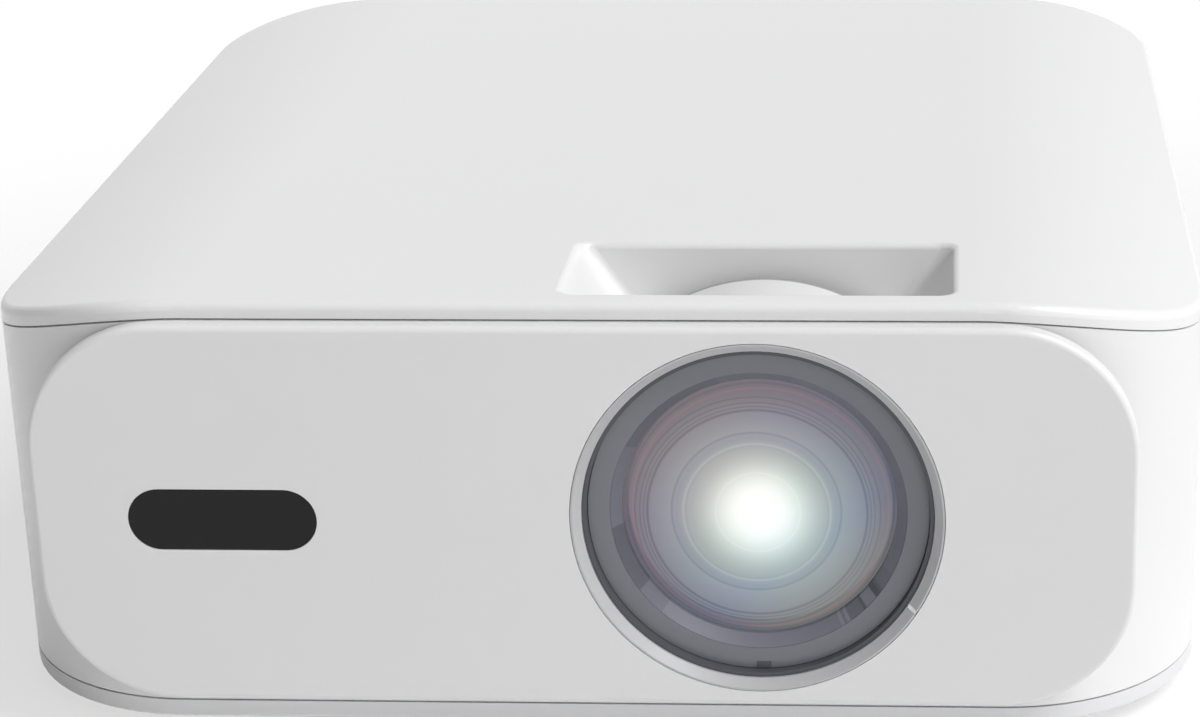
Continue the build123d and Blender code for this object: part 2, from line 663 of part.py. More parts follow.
def cover_lip():
    """Thin lip under the top cover that locates inside the middle housing."""
    with BuildPart(mode=Mode.PRIVATE) as lip:
        add(crowned_block(WALL + LIP_CLEARANCE, WALL - LIP_CLEARANCE, BODY_HEIGHT / 2))
        add(crowned_block(-1, COVER_RIM + LIP_HEIGHT, 0), mode=Mode.SUBTRACT)
        add(crowned_block(WALL + LIP_CLEARANCE + LIP_THICKNESS, 0, 0), mode=Mode.SUBTRACT)
    return lip.part


with BuildPart() as top_cover:
    add(crowned_block(0, 0, BODY_HEIGHT / 2))
    upper_faces = top_cover.faces().filter_by(lambda face: face.normal_at().Z > 0.5)
    seams = [edge for face in upper_faces for edge in face.edges()]
    rim = [edge for edge in seams if sum(edge.is_same(other) for other in seams) == 1]
    fillet(rim, TOP_EDGE_RADIUS)
    add(crowned_block(-1, COVER_RIM, 0), mode=Mode.SUBTRACT)
    add(crowned_block(WALL, WALL, 0), mode=Mode.SUBTRACT)
    add(cover_lip())
    add(well_block(WELL_WALL, WELL_DEPTH + WELL_WALL))
    with BuildSketch(Plane.XY.offset(COVER_TOP)):
        with Locations((LENS_X, WELL_Y)):
            Rectangle(WELL_LENGTH + 4 * MARGIN, WELL_WIDTH + 4 * MARGIN)
    extrude(amount=2 * MARGIN, mode=Mode.SUBTRACT)
    add(well_block(0, WELL_DEPTH), mode=Mode.SUBTRACT)
    mouth = top_cover.edges().filter_by_position(Axis.Z, COVER_TOP - 0.01, COVER_TOP + 0.01)
    mouth = mouth.filter_by(lambda edge: abs(edge.center().X - LENS_X) < WELL_LENGTH / 2 + 1)
    mouth = mouth.filter_by(lambda edge: abs(edge.center().Y - WELL_Y) < WELL_WIDTH / 2 + 1)
    fillet(mouth, WELL_RIM_RADIUS)
    with BuildSketch(LENS_SECTION):
        for start, end, radius in WELL_PASSAGES:
            with Locations((0, start)):
                Rectangle(radius + WELL_SLOT_MARGIN, end - start, align=(Align.MIN, Align.MIN))
    revolve(axis=LENS_AXIS, mode=Mode.SUBTRACT)
top_cover.part.label = "top_cover"
export_step(top_cover.part, "parts/top_cover.step")

# ---------------------------------------------------------------- bottom cover
FEET = [(side * (RIGHT_X - FOOT_FROM_SIDE), y) for side in (-1, 1)
        for y in (behind(FRONT_FOOT_DEPTH), BACK_Y - BACK_FOOT_FROM_BACK)]
SCREW_FOOT_AT = (LENS_X - SCREW_FOOT_FROM_LENS, behind(SCREW_FOOT_DEPTH))
BRACKET_HOLES = [(x * BRACKET_SPACING / 2, y * BRACKET_SPACING / 2) for x in (-1, 1) for y in (-1, 1)]
FLOOR_TOP = above(WALL)
CASE_SCREWS = [(side * (RIGHT_X - CASE_SCREW_FROM_SIDE), behind(depth))
               for side in (-1, 1) for depth in CASE_SCREW_DEPTHS]
CASE_SCREWS += [(side * BACK_SCREW_SPREAD / 2, BACK_Y - BACK_SCREW_FROM_BACK) for side in (-1, 1)]
CHASSIS_NEAR_Y = DRIVE_Y - DRIVE_HALF_DEPTH
CHASSIS_FAR_Y = DRIVE_Y + DRIVE_HALF_DEPTH
POST_INSET = 5.0            # from the edge of what stands on the post to its middle
SOCKET_POST_INSET = 8.0
ENGINE_POST_INSET = 6.0
CHASSIS_POSTS = [(x, y) for x in (CHASSIS_FRONT_X + POST_INSET, CHASSIS_BACK_X - POST_INSET)
                 for y in (CHASSIS_NEAR_Y + POST_INSET, CHASSIS_FAR_Y - POST_INSET)]
BOARD_FAR_Y = BACK_Y - WALL - BOARD_BACK_GAP
BOARD_POSTS = [(x, y) for x in (BOARD_LEFT + POST_INSET, BOARD_RIGHT - POST_INSET)
               for y in (BOARD_NEAR_Y + POST_INSET, BOARD_FAR_Y - SOCKET_POST_INSET)]
POWER_POSTS = [(x, y) for x in (POWER_BOARD_LEFT + POST_INSET, POWER_BOARD_RIGHT - SOCKET_POST_INSET)
               for y in (POWER_BOARD_NEAR_Y + POST_INSET, POWER_BOARD_FAR_Y - POST_INSET)]
ENGINE_POSTS = [(x, behind(depth))
                for x in (ENGINE_LEFT + ENGINE_POST_INSET, ENGINE_RIGHT - ENGINE_POST_INSET)
                for depth in (ENGINE_FRONT + ENGINE_POST_INSET, ENGINE_BACK - ENGINE_POST_INSET)]
POSTS = [
    (CHASSIS_POSTS, above(CHASSIS_BOTTOM)),
    (BOARD_POSTS, above(BOARD_BOTTOM)),
    (POWER_POSTS, above(BOARD_BOTTOM)),
    (ENGINE_POSTS, ENGINE_BOTTOM),
]

with BuildPart() as bottom_cover:
    with BuildSketch(Plane.XY.offset(above(0))):
        add(plan_outline(0))
    extrude(amount=BASE_RIM)
    fillet(bottom_cover.faces().sort_by(Axis.Z)[0].edges(), BOTTOM_EDGE_RADIUS)
    with BuildSketch(Plane.XY.offset(FLOOR_TOP)):
        add(plan_outline(WALL + LIP_THICKNESS))
    extrude(amount=BODY_HEIGHT, mode=Mode.SUBTRACT)
    with BuildSketch(Plane.XY.offset(above(BASE_RIM))):
        add(plan_outline(WALL + LIP_CLEARANCE))
        add(plan_outline(WALL + LIP_CLEARANCE + LIP_THICKNESS), mode=Mode.SUBTRACT)
    extrude(amount=LIP_HEIGHT)
    with BuildSketch(Plane.XY.offset(above(BASE_RIM))):
        add(plan_outline(WALL))
        add(plan_outline(WALL + LIP_CLEARANCE + LIP_THICKNESS), mode=Mode.SUBTRACT)
    extrude(amount=-(BASE_RIM - WALL))
    for places, seat in POSTS:
        with BuildSketch(Plane.XY.offset(FLOOR_TOP)):
            with Locations(*places):
                Circle(POST_RADIUS)
        extrude(amount=seat - FLOOR_TOP)
    with BuildSketch(Plane.XY.offset(FLOOR_TOP)):
        Circle(TRIPOD_BUSH_RADIUS + BOSS_WALL)
    extrude(amount=TRIPOD_LENGTH + BOSS_WALL - WALL)
    with BuildSketch(Plane.XY.offset(FLOOR_TOP)):
        with Locations(*BRACKET_HOLES):
            Circle(BRACKET_INSERT_RADIUS + BOSS_WALL)
    extrude(amount=BRACKET_LENGTH + BOSS_WALL - WALL)
    with BuildSketch(Plane.XY.offset(FLOOR_TOP)):
        with Locations(SCREW_FOOT_AT):
            Circle(KNOB_POCKET_RADIUS + BOSS_WALL)
    extrude(amount=KNOB_POCKET_DEPTH)
    with BuildSketch(Plane.XY.offset(above(KNOB_POCKET_DEPTH))):
        with Locations(SCREW_FOOT_AT):
            Circle(FOOT_NUT_RADIUS + BOSS_WALL)
    extrude(amount=BOSS_WALL + FOOT_NUT_LENGTH)
    with BuildSketch(Plane.XY.offset(FLOOR_TOP)):
        with Locations(*CASE_SCREWS):
            Circle(CASE_POST_RADIUS)
    extrude(amount=CASE_POST_HEIGHT)
    with Locations(Plane(origin=(0, 0, above(0)), z_dir=(0, 0, -1))):
        with Locations(*[(x, -y) for x, y in CASE_SCREWS]):
            CounterBoreHole(CASE_SCREW_HOLE_RADIUS, CASE_SCREW_HEAD_RADIUS, CASE_SCREW_HEAD_DEPTH,
                            WALL + CASE_POST_HEIGHT)
    with BuildSketch(Plane.XY.offset(above(0))):
        Circle(TRIPOD_BUSH_RADIUS)
    extrude(amount=TRIPOD_LENGTH, mode=Mode.SUBTRACT)
    with BuildSketch(Plane.XY.offset(above(0))):
        with Locations(*BRACKET_HOLES):
            Circle(BRACKET_INSERT_RADIUS)
    extrude(amount=BRACKET_LENGTH, mode=Mode.SUBTRACT)
    with BuildSketch(Plane.XY.offset(above(0))):
        with Locations(*FEET):
            Circle(FOOT_RADIUS)
    extrude(amount=FOOT_POCKET, mode=Mode.SUBTRACT)
    with BuildSketch(Plane.XY.offset(above(0))):
        with Locations(SCREW_FOOT_AT):
            Circle(KNOB_POCKET_RADIUS)
    extrude(amount=KNOB_POCKET_DEPTH, mode=Mode.SUBTRACT)
    with BuildSketch(Plane.XY.offset(above(KNOB_POCKET_DEPTH))):
        with Locations(SCREW_FOOT_AT):
            Circle(FOOT_NUT_BORE + FOOT_HOLE_GAP)
    extrude(amount=BOSS_WALL, mode=Mode.SUBTRACT)
    with BuildSketch(Plane.XY.offset(above(KNOB_POCKET_DEPTH + BOSS_WALL))):
        with Locations(SCREW_FOOT_AT):
            Circle(FOOT_NUT_RADIUS)
    extrude(amount=FOOT_NUT_LENGTH + MARGIN, mode=Mode.SUBTRACT)
bottom_cover.part.label = "bottom_cover"
export_step(bottom_cover.part, "parts/bottom_cover.step")

# ---------------------------------------------------------------- threaded inserts and feet
with BuildPart() as tripod_bush:
    with BuildSketch(Plane.XY.offset(above(0))):
        Circle(TRIPOD_BUSH_RADIUS)
        Circle(TRIPOD_RADIUS, mode=Mode.SUBTRACT)
    extrude(amount=TRIPOD_LENGTH)
tripod_bush.part.label = "tripod_bush"
export_step(tripod_bush.part, "parts/tripod_bush.step")

with BuildPart() as bracket_inserts:
    with BuildSketch(Plane.XY.offset(above(0))):
        with Locations(*BRACKET_HOLES):
            Circle(BRACKET_INSERT_RADIUS)
            Circle(BRACKET_RADIUS, mode=Mode.SUBTRACT)
    extrude(amount=BRACKET_LENGTH)
bracket_inserts.part.label = "bracket_inserts"
export_step(bracket_inserts.part, "parts/bracket_inserts.step")

with BuildPart() as rubber_feet:
    with BuildSketch():
        with Locations(*FEET):
            Circle(FOOT_RADIUS)
    extrude(amount=FOOT_HEIGHT + FOOT_POCKET)
    chamfer(rubber_feet.edges().group_by(Axis.Z)[0], FOOT_CHAMFER)
rubber_feet.part.label = "rubber_feet"
export_step(rubber_feet.part, "parts/rubber_feet.step")

with BuildPart() as foot_nut:
    with BuildSketch(Plane.XY.offset(above(KNOB_POCKET_DEPTH + BOSS_WALL))):
        with Locations(SCREW_FOOT_AT):
            Circle(FOOT_NUT_RADIUS)
            Circle(FOOT_NUT_BORE, mode=Mode.SUBTRACT)
    extrude(amount=FOOT_NUT_LENGTH)
foot_nut.part.label = "foot_nut"
export_step(foot_nut.part, "parts/foot_nut.step")

KNOB_BOTTOM = SCREW_FOOT_LIFT + FOOT_PAD_THICKNESS
with BuildPart() as foot_screw:
    with BuildSketch(Plane.XY.offset(KNOB_BOTTOM)):
        with Locations(SCREW_FOOT_AT):
            Circle(KNOB_RADIUS)
            with PolarLocations(KNOB_RADIUS, KNOB_RIBS):
                Circle(0.7, mode=Mode.SUBTRACT)
    extrude(amount=KNOB_THICKNESS)
    with BuildSketch(Plane.XY.offset(KNOB_BOTTOM + KNOB_THICKNESS)):
        with Locations(SCREW_FOOT_AT):
            Circle(FOOT_SCREW_RADIUS)
    extrude(amount=FOOT_SCREW_LENGTH)
    chamfer(foot_screw.edges().group_by(Axis.Z)[-1], SCREW_CHAMFER)
foot_screw.part.label = "foot_screw"
export_step(foot_screw.part, "parts/foot_screw.step")

with BuildPart() as foot_pad:
    with BuildSketch(Plane.XY.offset(SCREW_FOOT_LIFT)):
        with Locations(SCREW_FOOT_AT):
            Circle(FOOT_PAD_RADIUS)
    extrude(amount=FOOT_PAD_THICKNESS)
    chamfer(foot_pad.edges().group_by(Axis.Z)[0], PAD_CHAMFER)
foot_pad.part.label = "foot_pad"
export_step(foot_pad.part, "parts/foot_pad.step")

# ---------------------------------------------------------------- front panel, window and receiver
PANEL_FACE_Y = FRONT_Y - PANEL_STANDOUT
PANEL_Z = above((PANEL_BOTTOM + PANEL_TOP) / 2)
with BuildPart() as front_panel:
    with BuildSketch(upright(FRONT_Y)):
        with Locations((0, PANEL_Z)):
            RectangleRounded(PANEL_WIDTH, PANEL_TOP - PANEL_BOTTOM, PANEL_CORNER_RADIUS)
    extrude(amount=PANEL_STANDOUT)
    fillet(front_panel.faces().sort_by(Axis.Y)[0].edges(), PANEL_EDGE_RADIUS)
    with BuildSketch(upright(FRONT_Y)):
        with Locations((LENS_X, LENS_Z)):
            Circle(BEZEL_RADIUS + SNAP_GAP / 2)
        with Locations((WINDOW_X, WINDOW_Z)):
            SlotOverall(WINDOW_LENGTH + SNAP_GAP, WINDOW_WIDTH + SNAP_GAP)
    extrude(amount=PANEL_STANDOUT + MARGIN, mode=Mode.SUBTRACT)
    with BuildSketch(upright(FRONT_Y)):
        with Locations((LENS_X, LENS_Z)):
            Circle(BEZEL_FLANGE_RADIUS + SNAP_GAP / 2)
        with Locations((WINDOW_X, WINDOW_Z)):
            SlotOverall(WINDOW_LENGTH + 2 * WINDOW_FLANGE + SNAP_GAP,
                        WINDOW_WIDTH + 2 * WINDOW_FLANGE + SNAP_GAP)
    extrude(amount=FLANGE_THICKNESS, mode=Mode.SUBTRACT)
front_panel.part.label = "front_panel"
export_step(front_panel.part, "parts/front_panel.step")

with BuildPart() as ir_window:
    with BuildSketch(upright(FRONT_Y)):
        with Locations((WINDOW_X, WINDOW_Z)):
            SlotOverall(WINDOW_LENGTH + 2 * WINDOW_FLANGE, WINDOW_WIDTH + 2 * WINDOW_FLANGE)
    extrude(amount=FLANGE_THICKNESS)
    with BuildSketch(upright(FRONT_Y)):
        with Locations((WINDOW_X, WINDOW_Z)):
            SlotOverall(WINDOW_LENGTH, WINDOW_WIDTH)
    extrude(amount=PANEL_STANDOUT)
    with BuildSketch(upright(FRONT_Y)):
        with Locations((WINDOW_X, WINDOW_Z)):
            SlotOverall(WINDOW_LENGTH - 2 * WINDOW_HOLE_INSET, WINDOW_WIDTH - 2 * WINDOW_HOLE_INSET)
    extrude(amount=PANEL_STANDOUT / 2, mode=Mode.SUBTRACT)
ir_window.part.label = "ir_window"
export_step(ir_window.part, "parts/ir_window.step")

IR_BOARD_LENGTH = 32.0
IR_BOARD_WIDTH = 18.0
IR_BOARD_OFFSET = 5.0       # the board stands clear of the housing's rounded corner
IR_EYE_RADIUS = 2.6
IR_EYE_EDGE = 2.08
with BuildPart() as ir_board:
    with BuildSketch(upright(behind(WALL))):
        with Locations((WINDOW_X + IR_BOARD_OFFSET, WINDOW_Z)):
            Rectangle(IR_BOARD_LENGTH, IR_BOARD_WIDTH)
    extrude(amount=-BOARD_THICKNESS)
    with BuildSketch(upright(behind(WALL))):
        with Locations((WINDOW_X, WINDOW_Z)):
            Circle(IR_EYE_RADIUS)
    extrude(amount=WALL)
    fillet(ir_board.faces().sort_by(Axis.Y)[0].edges(), IR_EYE_EDGE)
ir_board.part.label = "ir_board"
export_step(ir_board.part, "parts/ir_board.step")

# ---------------------------------------------------------------- lens bezel, moving barrel and glass
with BuildPart() as lens_bezel:
    with BuildSketch(LENS_SECTION):
        Polygon(
            (BEZEL_RADIUS, -PANEL_STANDOUT), (BEZEL_RADIUS - BEZEL_EDGE, -PANEL_STANDOUT),
            (BEZEL_BORE, -BEZEL_CONE_DEPTH), (BEZEL_BORE, 0), (BEZEL_FLANGE_RADIUS, 0),
            (BEZEL_FLANGE_RADIUS, BEZEL_SEAT_GAP - FLANGE_THICKNESS),
            (BEZEL_RADIUS, BEZEL_SEAT_GAP - FLANGE_THICKNESS),
            align=None)
    revolve(axis=LENS_AXIS)
    with BuildSketch(upright(FRONT_Y - FLANGE_THICKNESS)):
        with Locations((LENS_X, LENS_Z)):
            with PolarLocations(BEZEL_RADIUS, 1, start_angle=INDEX_MARK_ANGLE):
                Rectangle(4 * MARGIN, INDEX_MARK_WIDTH)
    extrude(amount=PANEL_STANDOUT, mode=Mode.SUBTRACT)
lens_bezel.part.label = "lens_bezel"
export_step(lens_bezel.part, "parts/lens_bezel.step")


REAR_LENS_FRONT = REAR_LENS_DEPTH - REAR_LENS_EDGE / 2
REAR_LENS_BACK = REAR_LENS_DEPTH + REAR_LENS_EDGE / 2
PIN_ROOT = 1.0


def pin_plane(turn):
    """Plane through the lens axis, square to one of the focus pins."""
    angle = 2 * math.pi * turn / FOCUS_PIN_COUNT
    spoke = (math.cos(angle), 0, math.sin(angle))
    return Plane(origin=(LENS_X, behind(FOCUS_PIN_DEPTH), LENS_Z), x_dir=(0, 1, 0), z_dir=spoke)


with BuildPart() as lens_barrel:
    with BuildSketch(LENS_SECTION):
        Polygon(
            (RETAINER_RADIUS + RETAINER_THREAD_GAP, BARREL_FACE_DEPTH),
            (BARREL_HEAD_RADIUS, BARREL_FACE_DEPTH),
            (BARREL_HEAD_RADIUS, BARREL_HEAD_LENGTH), (BARREL_RADIUS, BARREL_HEAD_LENGTH),
            (BARREL_RADIUS, BARREL_END_DEPTH), (REAR_LENS_RADIUS - REAR_LENS_SEAT, BARREL_END_DEPTH),
            (REAR_LENS_RADIUS - REAR_LENS_SEAT, REAR_LENS_BACK), (REAR_LENS_RADIUS, REAR_LENS_BACK),
            (REAR_LENS_RADIUS, REAR_LENS_FRONT),
            (REAR_LENS_RADIUS + LENS_SEAT, REAR_LENS_FRONT - LENS_SEAT),
            (BARREL_BORE - LENS_SEAT, FRONT_LENS_BACK + BARREL_WALL),
            (BARREL_BORE - LENS_SEAT, FRONT_LENS_BACK),
            (RETAINER_RADIUS + RETAINER_THREAD_GAP, FRONT_LENS_BACK), align=None)
    revolve(axis=LENS_AXIS)
    for turn in range(FOCUS_PIN_COUNT):
        with BuildSketch(pin_plane(turn).offset(BARREL_RADIUS - PIN_ROOT)):
            Circle(FOCUS_PIN_RADIUS)
        extrude(amount=PIN_ROOT + RUNNING_CLEARANCE + SLEEVE_WALL + FOCUS_PIN_REACH)
lens_barrel.part.label = "lens_barrel"
export_step(lens_barrel.part, "parts/lens_barrel.step")

with BuildPart() as lens_retainer:
    with BuildSketch(LENS_SECTION):
        Polygon(
            (RETAINER_RADIUS, RETAINER_FRONT), (RETAINER_RADIUS, FRONT_LENS_FRONT),
            (RETAINER_BORE, FRONT_LENS_FRONT), (RETAINER_BORE, FRONT_LENS_FRONT - RETAINER_LIP), align=None)
    revolve(axis=LENS_AXIS)
lens_retainer.part.label = "lens_retainer"
export_step(lens_retainer.part, "parts/lens_retainer.step")


def cap_height(radius, curve):
    """Height of a spherical face of that curve radius over a disc of that radius."""
    return curve - math.sqrt(curve**2 - radius**2)


with BuildPart() as front_lens:
    with BuildSketch(LENS_SECTION):
        with BuildLine():
            front_rim = (RETAINER_BORE - OPTIC_CLEARANCE, FRONT_LENS_FRONT)
            front_apex = (0, FRONT_LENS_FRONT - cap_height(front_rim[0], FRONT_LENS_CURVE))
            back_rim = (BARREL_BORE - LENS_SEAT - OPTIC_CLEARANCE, FRONT_LENS_BACK)
            back_apex = (0, FRONT_LENS_BACK + cap_height(back_rim[0], BACK_LENS_CURVE))
            TangentArc(front_apex, front_rim, tangent=(1, 0))
            Polyline(front_rim, (RETAINER_RADIUS, FRONT_LENS_FRONT),
                     (RETAINER_RADIUS, FRONT_LENS_BACK), back_rim)
            TangentArc(back_apex, back_rim, tangent=(1, 0))
            Line(back_apex, front_apex)
        make_face()
    revolve(axis=LENS_AXIS)
front_lens.part.label = "front_lens"
export_step(front_lens.part, "parts/front_lens.step")

with BuildPart() as rear_lens:
    with BuildSketch(LENS_SECTION):
        with BuildLine():
            rear_apex = (0, REAR_LENS_FRONT - cap_height(REAR_LENS_RADIUS, REAR_LENS_CURVE))
            TangentArc(rear_apex, (REAR_LENS_RADIUS, REAR_LENS_FRONT), tangent=(1, 0))
            Polyline((REAR_LENS_RADIUS, REAR_LENS_FRONT), (REAR_LENS_RADIUS, REAR_LENS_BACK),
                     (0, REAR_LENS_BACK), rear_apex)
        make_face()
    revolve(axis=LENS_AXIS)
rear_lens.part.label = "rear_lens"
export_step(rear_lens.part, "parts/rear_lens.step")

with BuildPart() as lens_mount:
    with BuildSketch(LENS_SECTION):
        Polygon(
            (BARREL_RADIUS + RUNNING_CLEARANCE, SLEEVE_FRONT_DEPTH),
            (SLEEVE_RADIUS + SLEEVE_COLLAR, SLEEVE_FRONT_DEPTH),
            (SLEEVE_RADIUS + SLEEVE_COLLAR, RING_FRONT_DEPTH - RING_END_GAP),
            (SLEEVE_RADIUS, RING_FRONT_DEPTH - RING_END_GAP),
            (SLEEVE_RADIUS, RING_BACK_DEPTH + RING_END_GAP),
            (MOUNT_FLANGE_RADIUS, RING_BACK_DEPTH + RING_END_GAP), (MOUNT_FLANGE_RADIUS, ENGINE_FRONT),
            (MOUNT_LIGHT_RADIUS, ENGINE_FRONT), (MOUNT_LIGHT_RADIUS, ENGINE_FRONT - MOUNT_PLATE),
            (BARREL_RADIUS + RUNNING_CLEARANCE, ENGINE_FRONT - MOUNT_PLATE), align=None)
    revolve(axis=LENS_AXIS)
    slot_half = FOCUS_TRAVEL + FOCUS_PIN_RADIUS + FOCUS_PIN_CLEARANCE
    for turn in range(FOCUS_PIN_COUNT):
        with BuildSketch(pin_plane(turn).offset(BARREL_RADIUS - PIN_ROOT)):
            SlotOverall(2 * slot_half, 2 * (FOCUS_PIN_RADIUS + FOCUS_PIN_CLEARANCE))
        extrude(amount=SLEEVE_WALL + 2 * PIN_ROOT, mode=Mode.SUBTRACT)
lens_mount.part.label = "lens_mount"
export_step(lens_mount.part, "parts/lens_mount.step")

# The ring's grooves climb along the lens axis, so that turning the ring moves the barrel's pins.
GROOVE_WIDTH = 2 * (FOCUS_PIN_RADIUS + FOCUS_PIN_CLEARANCE)
GROOVE_BOTTOM = SLEEVE_RADIUS + FOCUS_PIN_REACH + FOCUS_PIN_CLEARANCE
GROOVE_PITCH = FOCUS_TRAVEL * 360 / FOCUS_TURN
GROOVE_HEIGHT = 2 * (FOCUS_TRAVEL + 0.8)
GROOVE_BREAKTHROUGH = 0.5   # the cutter reaches this far inside the ring's bore


def focus_groove(turn):
    """Cutter for the helical groove of one focus pin."""
    half_turn = GROOVE_HEIGHT / GROOVE_PITCH * 180
    frame = Plane(origin=LENS_AXIS.position, x_dir=(1, 0, 0), z_dir=(0, 1, 0)).location
    start = frame * Pos(0, 0, FOCUS_PIN_DEPTH - GROOVE_HEIGHT / 2)
    middle = (RING_BORE - GROOVE_BREAKTHROUGH + GROOVE_BOTTOM) / 2
    climb = Helix(pitch=GROOVE_PITCH, height=GROOVE_HEIGHT, radius=middle, lefthand=True, mode=Mode.PRIVATE)
    with BuildPart(mode=Mode.PRIVATE) as groove:
        with BuildSketch(Plane(origin=climb @ 0, x_dir=(1, 0, 0), z_dir=climb % 0)):
            Rectangle(GROOVE_BOTTOM - RING_BORE + GROOVE_BREAKTHROUGH, GROOVE_WIDTH)
        sweep(path=climb, is_frenet=True)
    return start * Rot(0, 0, 360 * turn / FOCUS_PIN_COUNT + half_turn) * groove.part


GROOVES = [focus_groove(turn) for turn in range(FOCUS_PIN_COUNT)]
with BuildPart() as focus_ring:
    with BuildSketch(LENS_SECTION):
        with Locations((RING_BORE, RING_FRONT_DEPTH)):
            Rectangle(RING_RADIUS - RING_BORE, RING_BACK_DEPTH - RING_FRONT_DEPTH,
                      align=(Align.MIN, Align.MIN))
    revolve(axis=LENS_AXIS)
    fillet(focus_ring.edges().filter_by(lambda edge: edge.geom_type == GeomType.CIRCLE
                                        and abs(edge.radius - RING_RADIUS) < 0.01), RING_EDGE_RADIUS)
    for groove in GROOVES:
        add(groove, mode=Mode.SUBTRACT)
focus_ring.part.label = "focus_ring"
export_step(focus_ring.part, "parts/focus_ring.step")

# ---------------------------------------------------------------- light engine
ENGINE_MID_X = (ENGINE_LEFT + ENGINE_RIGHT) / 2
ENGINE_LENGTH = ENGINE_RIGHT - ENGINE_LEFT
OPTIC_DEPTH = ENGINE_DEPTH - 2 * ENGINE_WALL
OPTIC_FITS = [
    (FRONT_FRESNEL_X, FRESNEL_THICKNESS), (LCD_X, LCD_THICKNESS), (REAR_FRESNEL_X, FRESNEL_THICKNESS)]
PLATE_HEIGHT = ENGINE_HEIGHT - ENGINE_LID - ENGINE_WALL - OPTIC_SLOT_DEPTH

with BuildPart() as engine_housing:
    with BuildSketch(Plane.XY.offset(ENGINE_BOTTOM)):
        with Locations((ENGINE_MID_X, ENGINE_MID_Y)):
            Rectangle(ENGINE_LENGTH, ENGINE_DEPTH)
    extrude(amount=ENGINE_HEIGHT - ENGINE_LID)
    fillet(engine_housing.edges().filter_by(Axis.Z), ENGINE_CORNER)
    with BuildSketch(Plane.XY.offset(ENGINE_BOTTOM + ENGINE_WALL)):
        with Locations((ENGINE_MID_X, ENGINE_MID_Y)):
            Rectangle(ENGINE_LENGTH - 2 * ENGINE_WALL, OPTIC_DEPTH)
    extrude(amount=ENGINE_HEIGHT, mode=Mode.SUBTRACT)
    for side in (-1, 1):
        for x, thickness in OPTIC_FITS:
            for lip in (-1, 1):
                with BuildSketch(Plane.XY.offset(ENGINE_BOTTOM + ENGINE_WALL)):
                    with Locations((x + lip * (thickness / 2 + OPTIC_CLEARANCE + OPTIC_RIB / 2),
                                    ENGINE_MID_Y + side * (OPTIC_DEPTH - OPTIC_SLOT_DEPTH) / 2)):
                        Rectangle(OPTIC_RIB, OPTIC_SLOT_DEPTH)
                extrude(amount=PLATE_HEIGHT)
    with BuildSketch(upright(behind(ENGINE_FRONT))):
        with Locations((LENS_X, LENS_Z)):
            Circle(ENGINE_LIGHT_RADIUS)
    extrude(amount=-ENGINE_WALL, mode=Mode.SUBTRACT)
    with BuildSketch(Plane.YZ.offset(ENGINE_LEFT)):
        with Locations((ENGINE_MID_Y, LENS_Z)):
            Rectangle(LED_WINDOW, LED_WINDOW)
    extrude(amount=ENGINE_WALL, mode=Mode.SUBTRACT)
    with BuildSketch(Plane.YZ.offset(CONDENSER_X - CONDENSER_EDGE / 2)):
        with Locations((ENGINE_MID_Y, LENS_Z)):
            Rectangle(OPTIC_DEPTH, ENGINE_HEIGHT - 2 * ENGINE_WALL)
            Circle(CONDENSER_RADIUS + OPTIC_CLEARANCE, mode=Mode.SUBTRACT)
    extrude(amount=CONDENSER_EDGE)
engine_housing.part.label = "engine_housing"
export_step(engine_housing.part, "parts/engine_housing.step")

with BuildPart() as engine_lid:
    with BuildSketch(Plane.XY.offset(ENGINE_TOP - ENGINE_LID)):
        with Locations((ENGINE_MID_X, ENGINE_MID_Y)):
            RectangleRounded(ENGINE_LENGTH, ENGINE_DEPTH, ENGINE_CORNER)
    extrude(amount=ENGINE_LID)
engine_lid.part.label = "engine_lid"
export_step(engine_lid.part, "parts/engine_lid.step")

MIRROR_PLANE = Plane(origin=(LENS_X, ENGINE_MID_Y, ENGINE_BOTTOM + ENGINE_WALL), x_dir=(1, -1, 0))
with BuildPart() as fold_mirror:
    with BuildSketch(MIRROR_PLANE):
        Rectangle(MIRROR_LENGTH, MIRROR_THICKNESS, align=(Align.CENTER, Align.MIN))
    extrude(amount=ENGINE_HEIGHT - ENGINE_LID - 2 * ENGINE_WALL)
fold_mirror.part.label = "fold_mirror"
export_step(fold_mirror.part, "parts/fold_mirror.step")


def optic_plate(x, thickness, height):
    """Flat plate that stands across the light path in the engine's slots."""
    with BuildPart(mode=Mode.PRIVATE) as plate:
        with BuildSketch(Plane.YZ.offset(x - thickness / 2)):
            with Locations((ENGINE_MID_Y, ENGINE_BOTTOM + ENGINE_WALL + height / 2)):
                Rectangle(OPTIC_DEPTH - 2 * OPTIC_CLEARANCE, height)
        extrude(amount=thickness)
    return plate.part


with BuildPart() as front_fresnel:
    add(optic_plate(FRONT_FRESNEL_X, FRESNEL_THICKNESS, PLATE_HEIGHT))
front_fresnel.part.label = "front_fresnel"
export_step(front_fresnel.part, "parts/front_fresnel.step")

with BuildPart() as rear_fresnel:
    add(optic_plate(REAR_FRESNEL_X, FRESNEL_THICKNESS, PLATE_HEIGHT))
rear_fresnel.part.label = "rear_fresnel"
export_step(rear_fresnel.part, "parts/rear_fresnel.step")

with BuildPart() as lcd_panel:
    add(optic_plate(LCD_X, LCD_THICKNESS, PLATE_HEIGHT))
    with BuildSketch(Plane.YZ.offset(LCD_X + LCD_THICKNESS / 2)):
        with Locations((ENGINE_MID_Y, LENS_Z)):
            Rectangle(OPTIC_DEPTH - 2 * LCD_BORDER, PLATE_HEIGHT - 2 * LCD_BORDER)
    extrude(amount=-LCD_FACE_DEPTH, mode=Mode.SUBTRACT)
lcd_panel.part.label = "lcd_panel"
export_step(lcd_panel.part, "parts/lcd_panel.step")

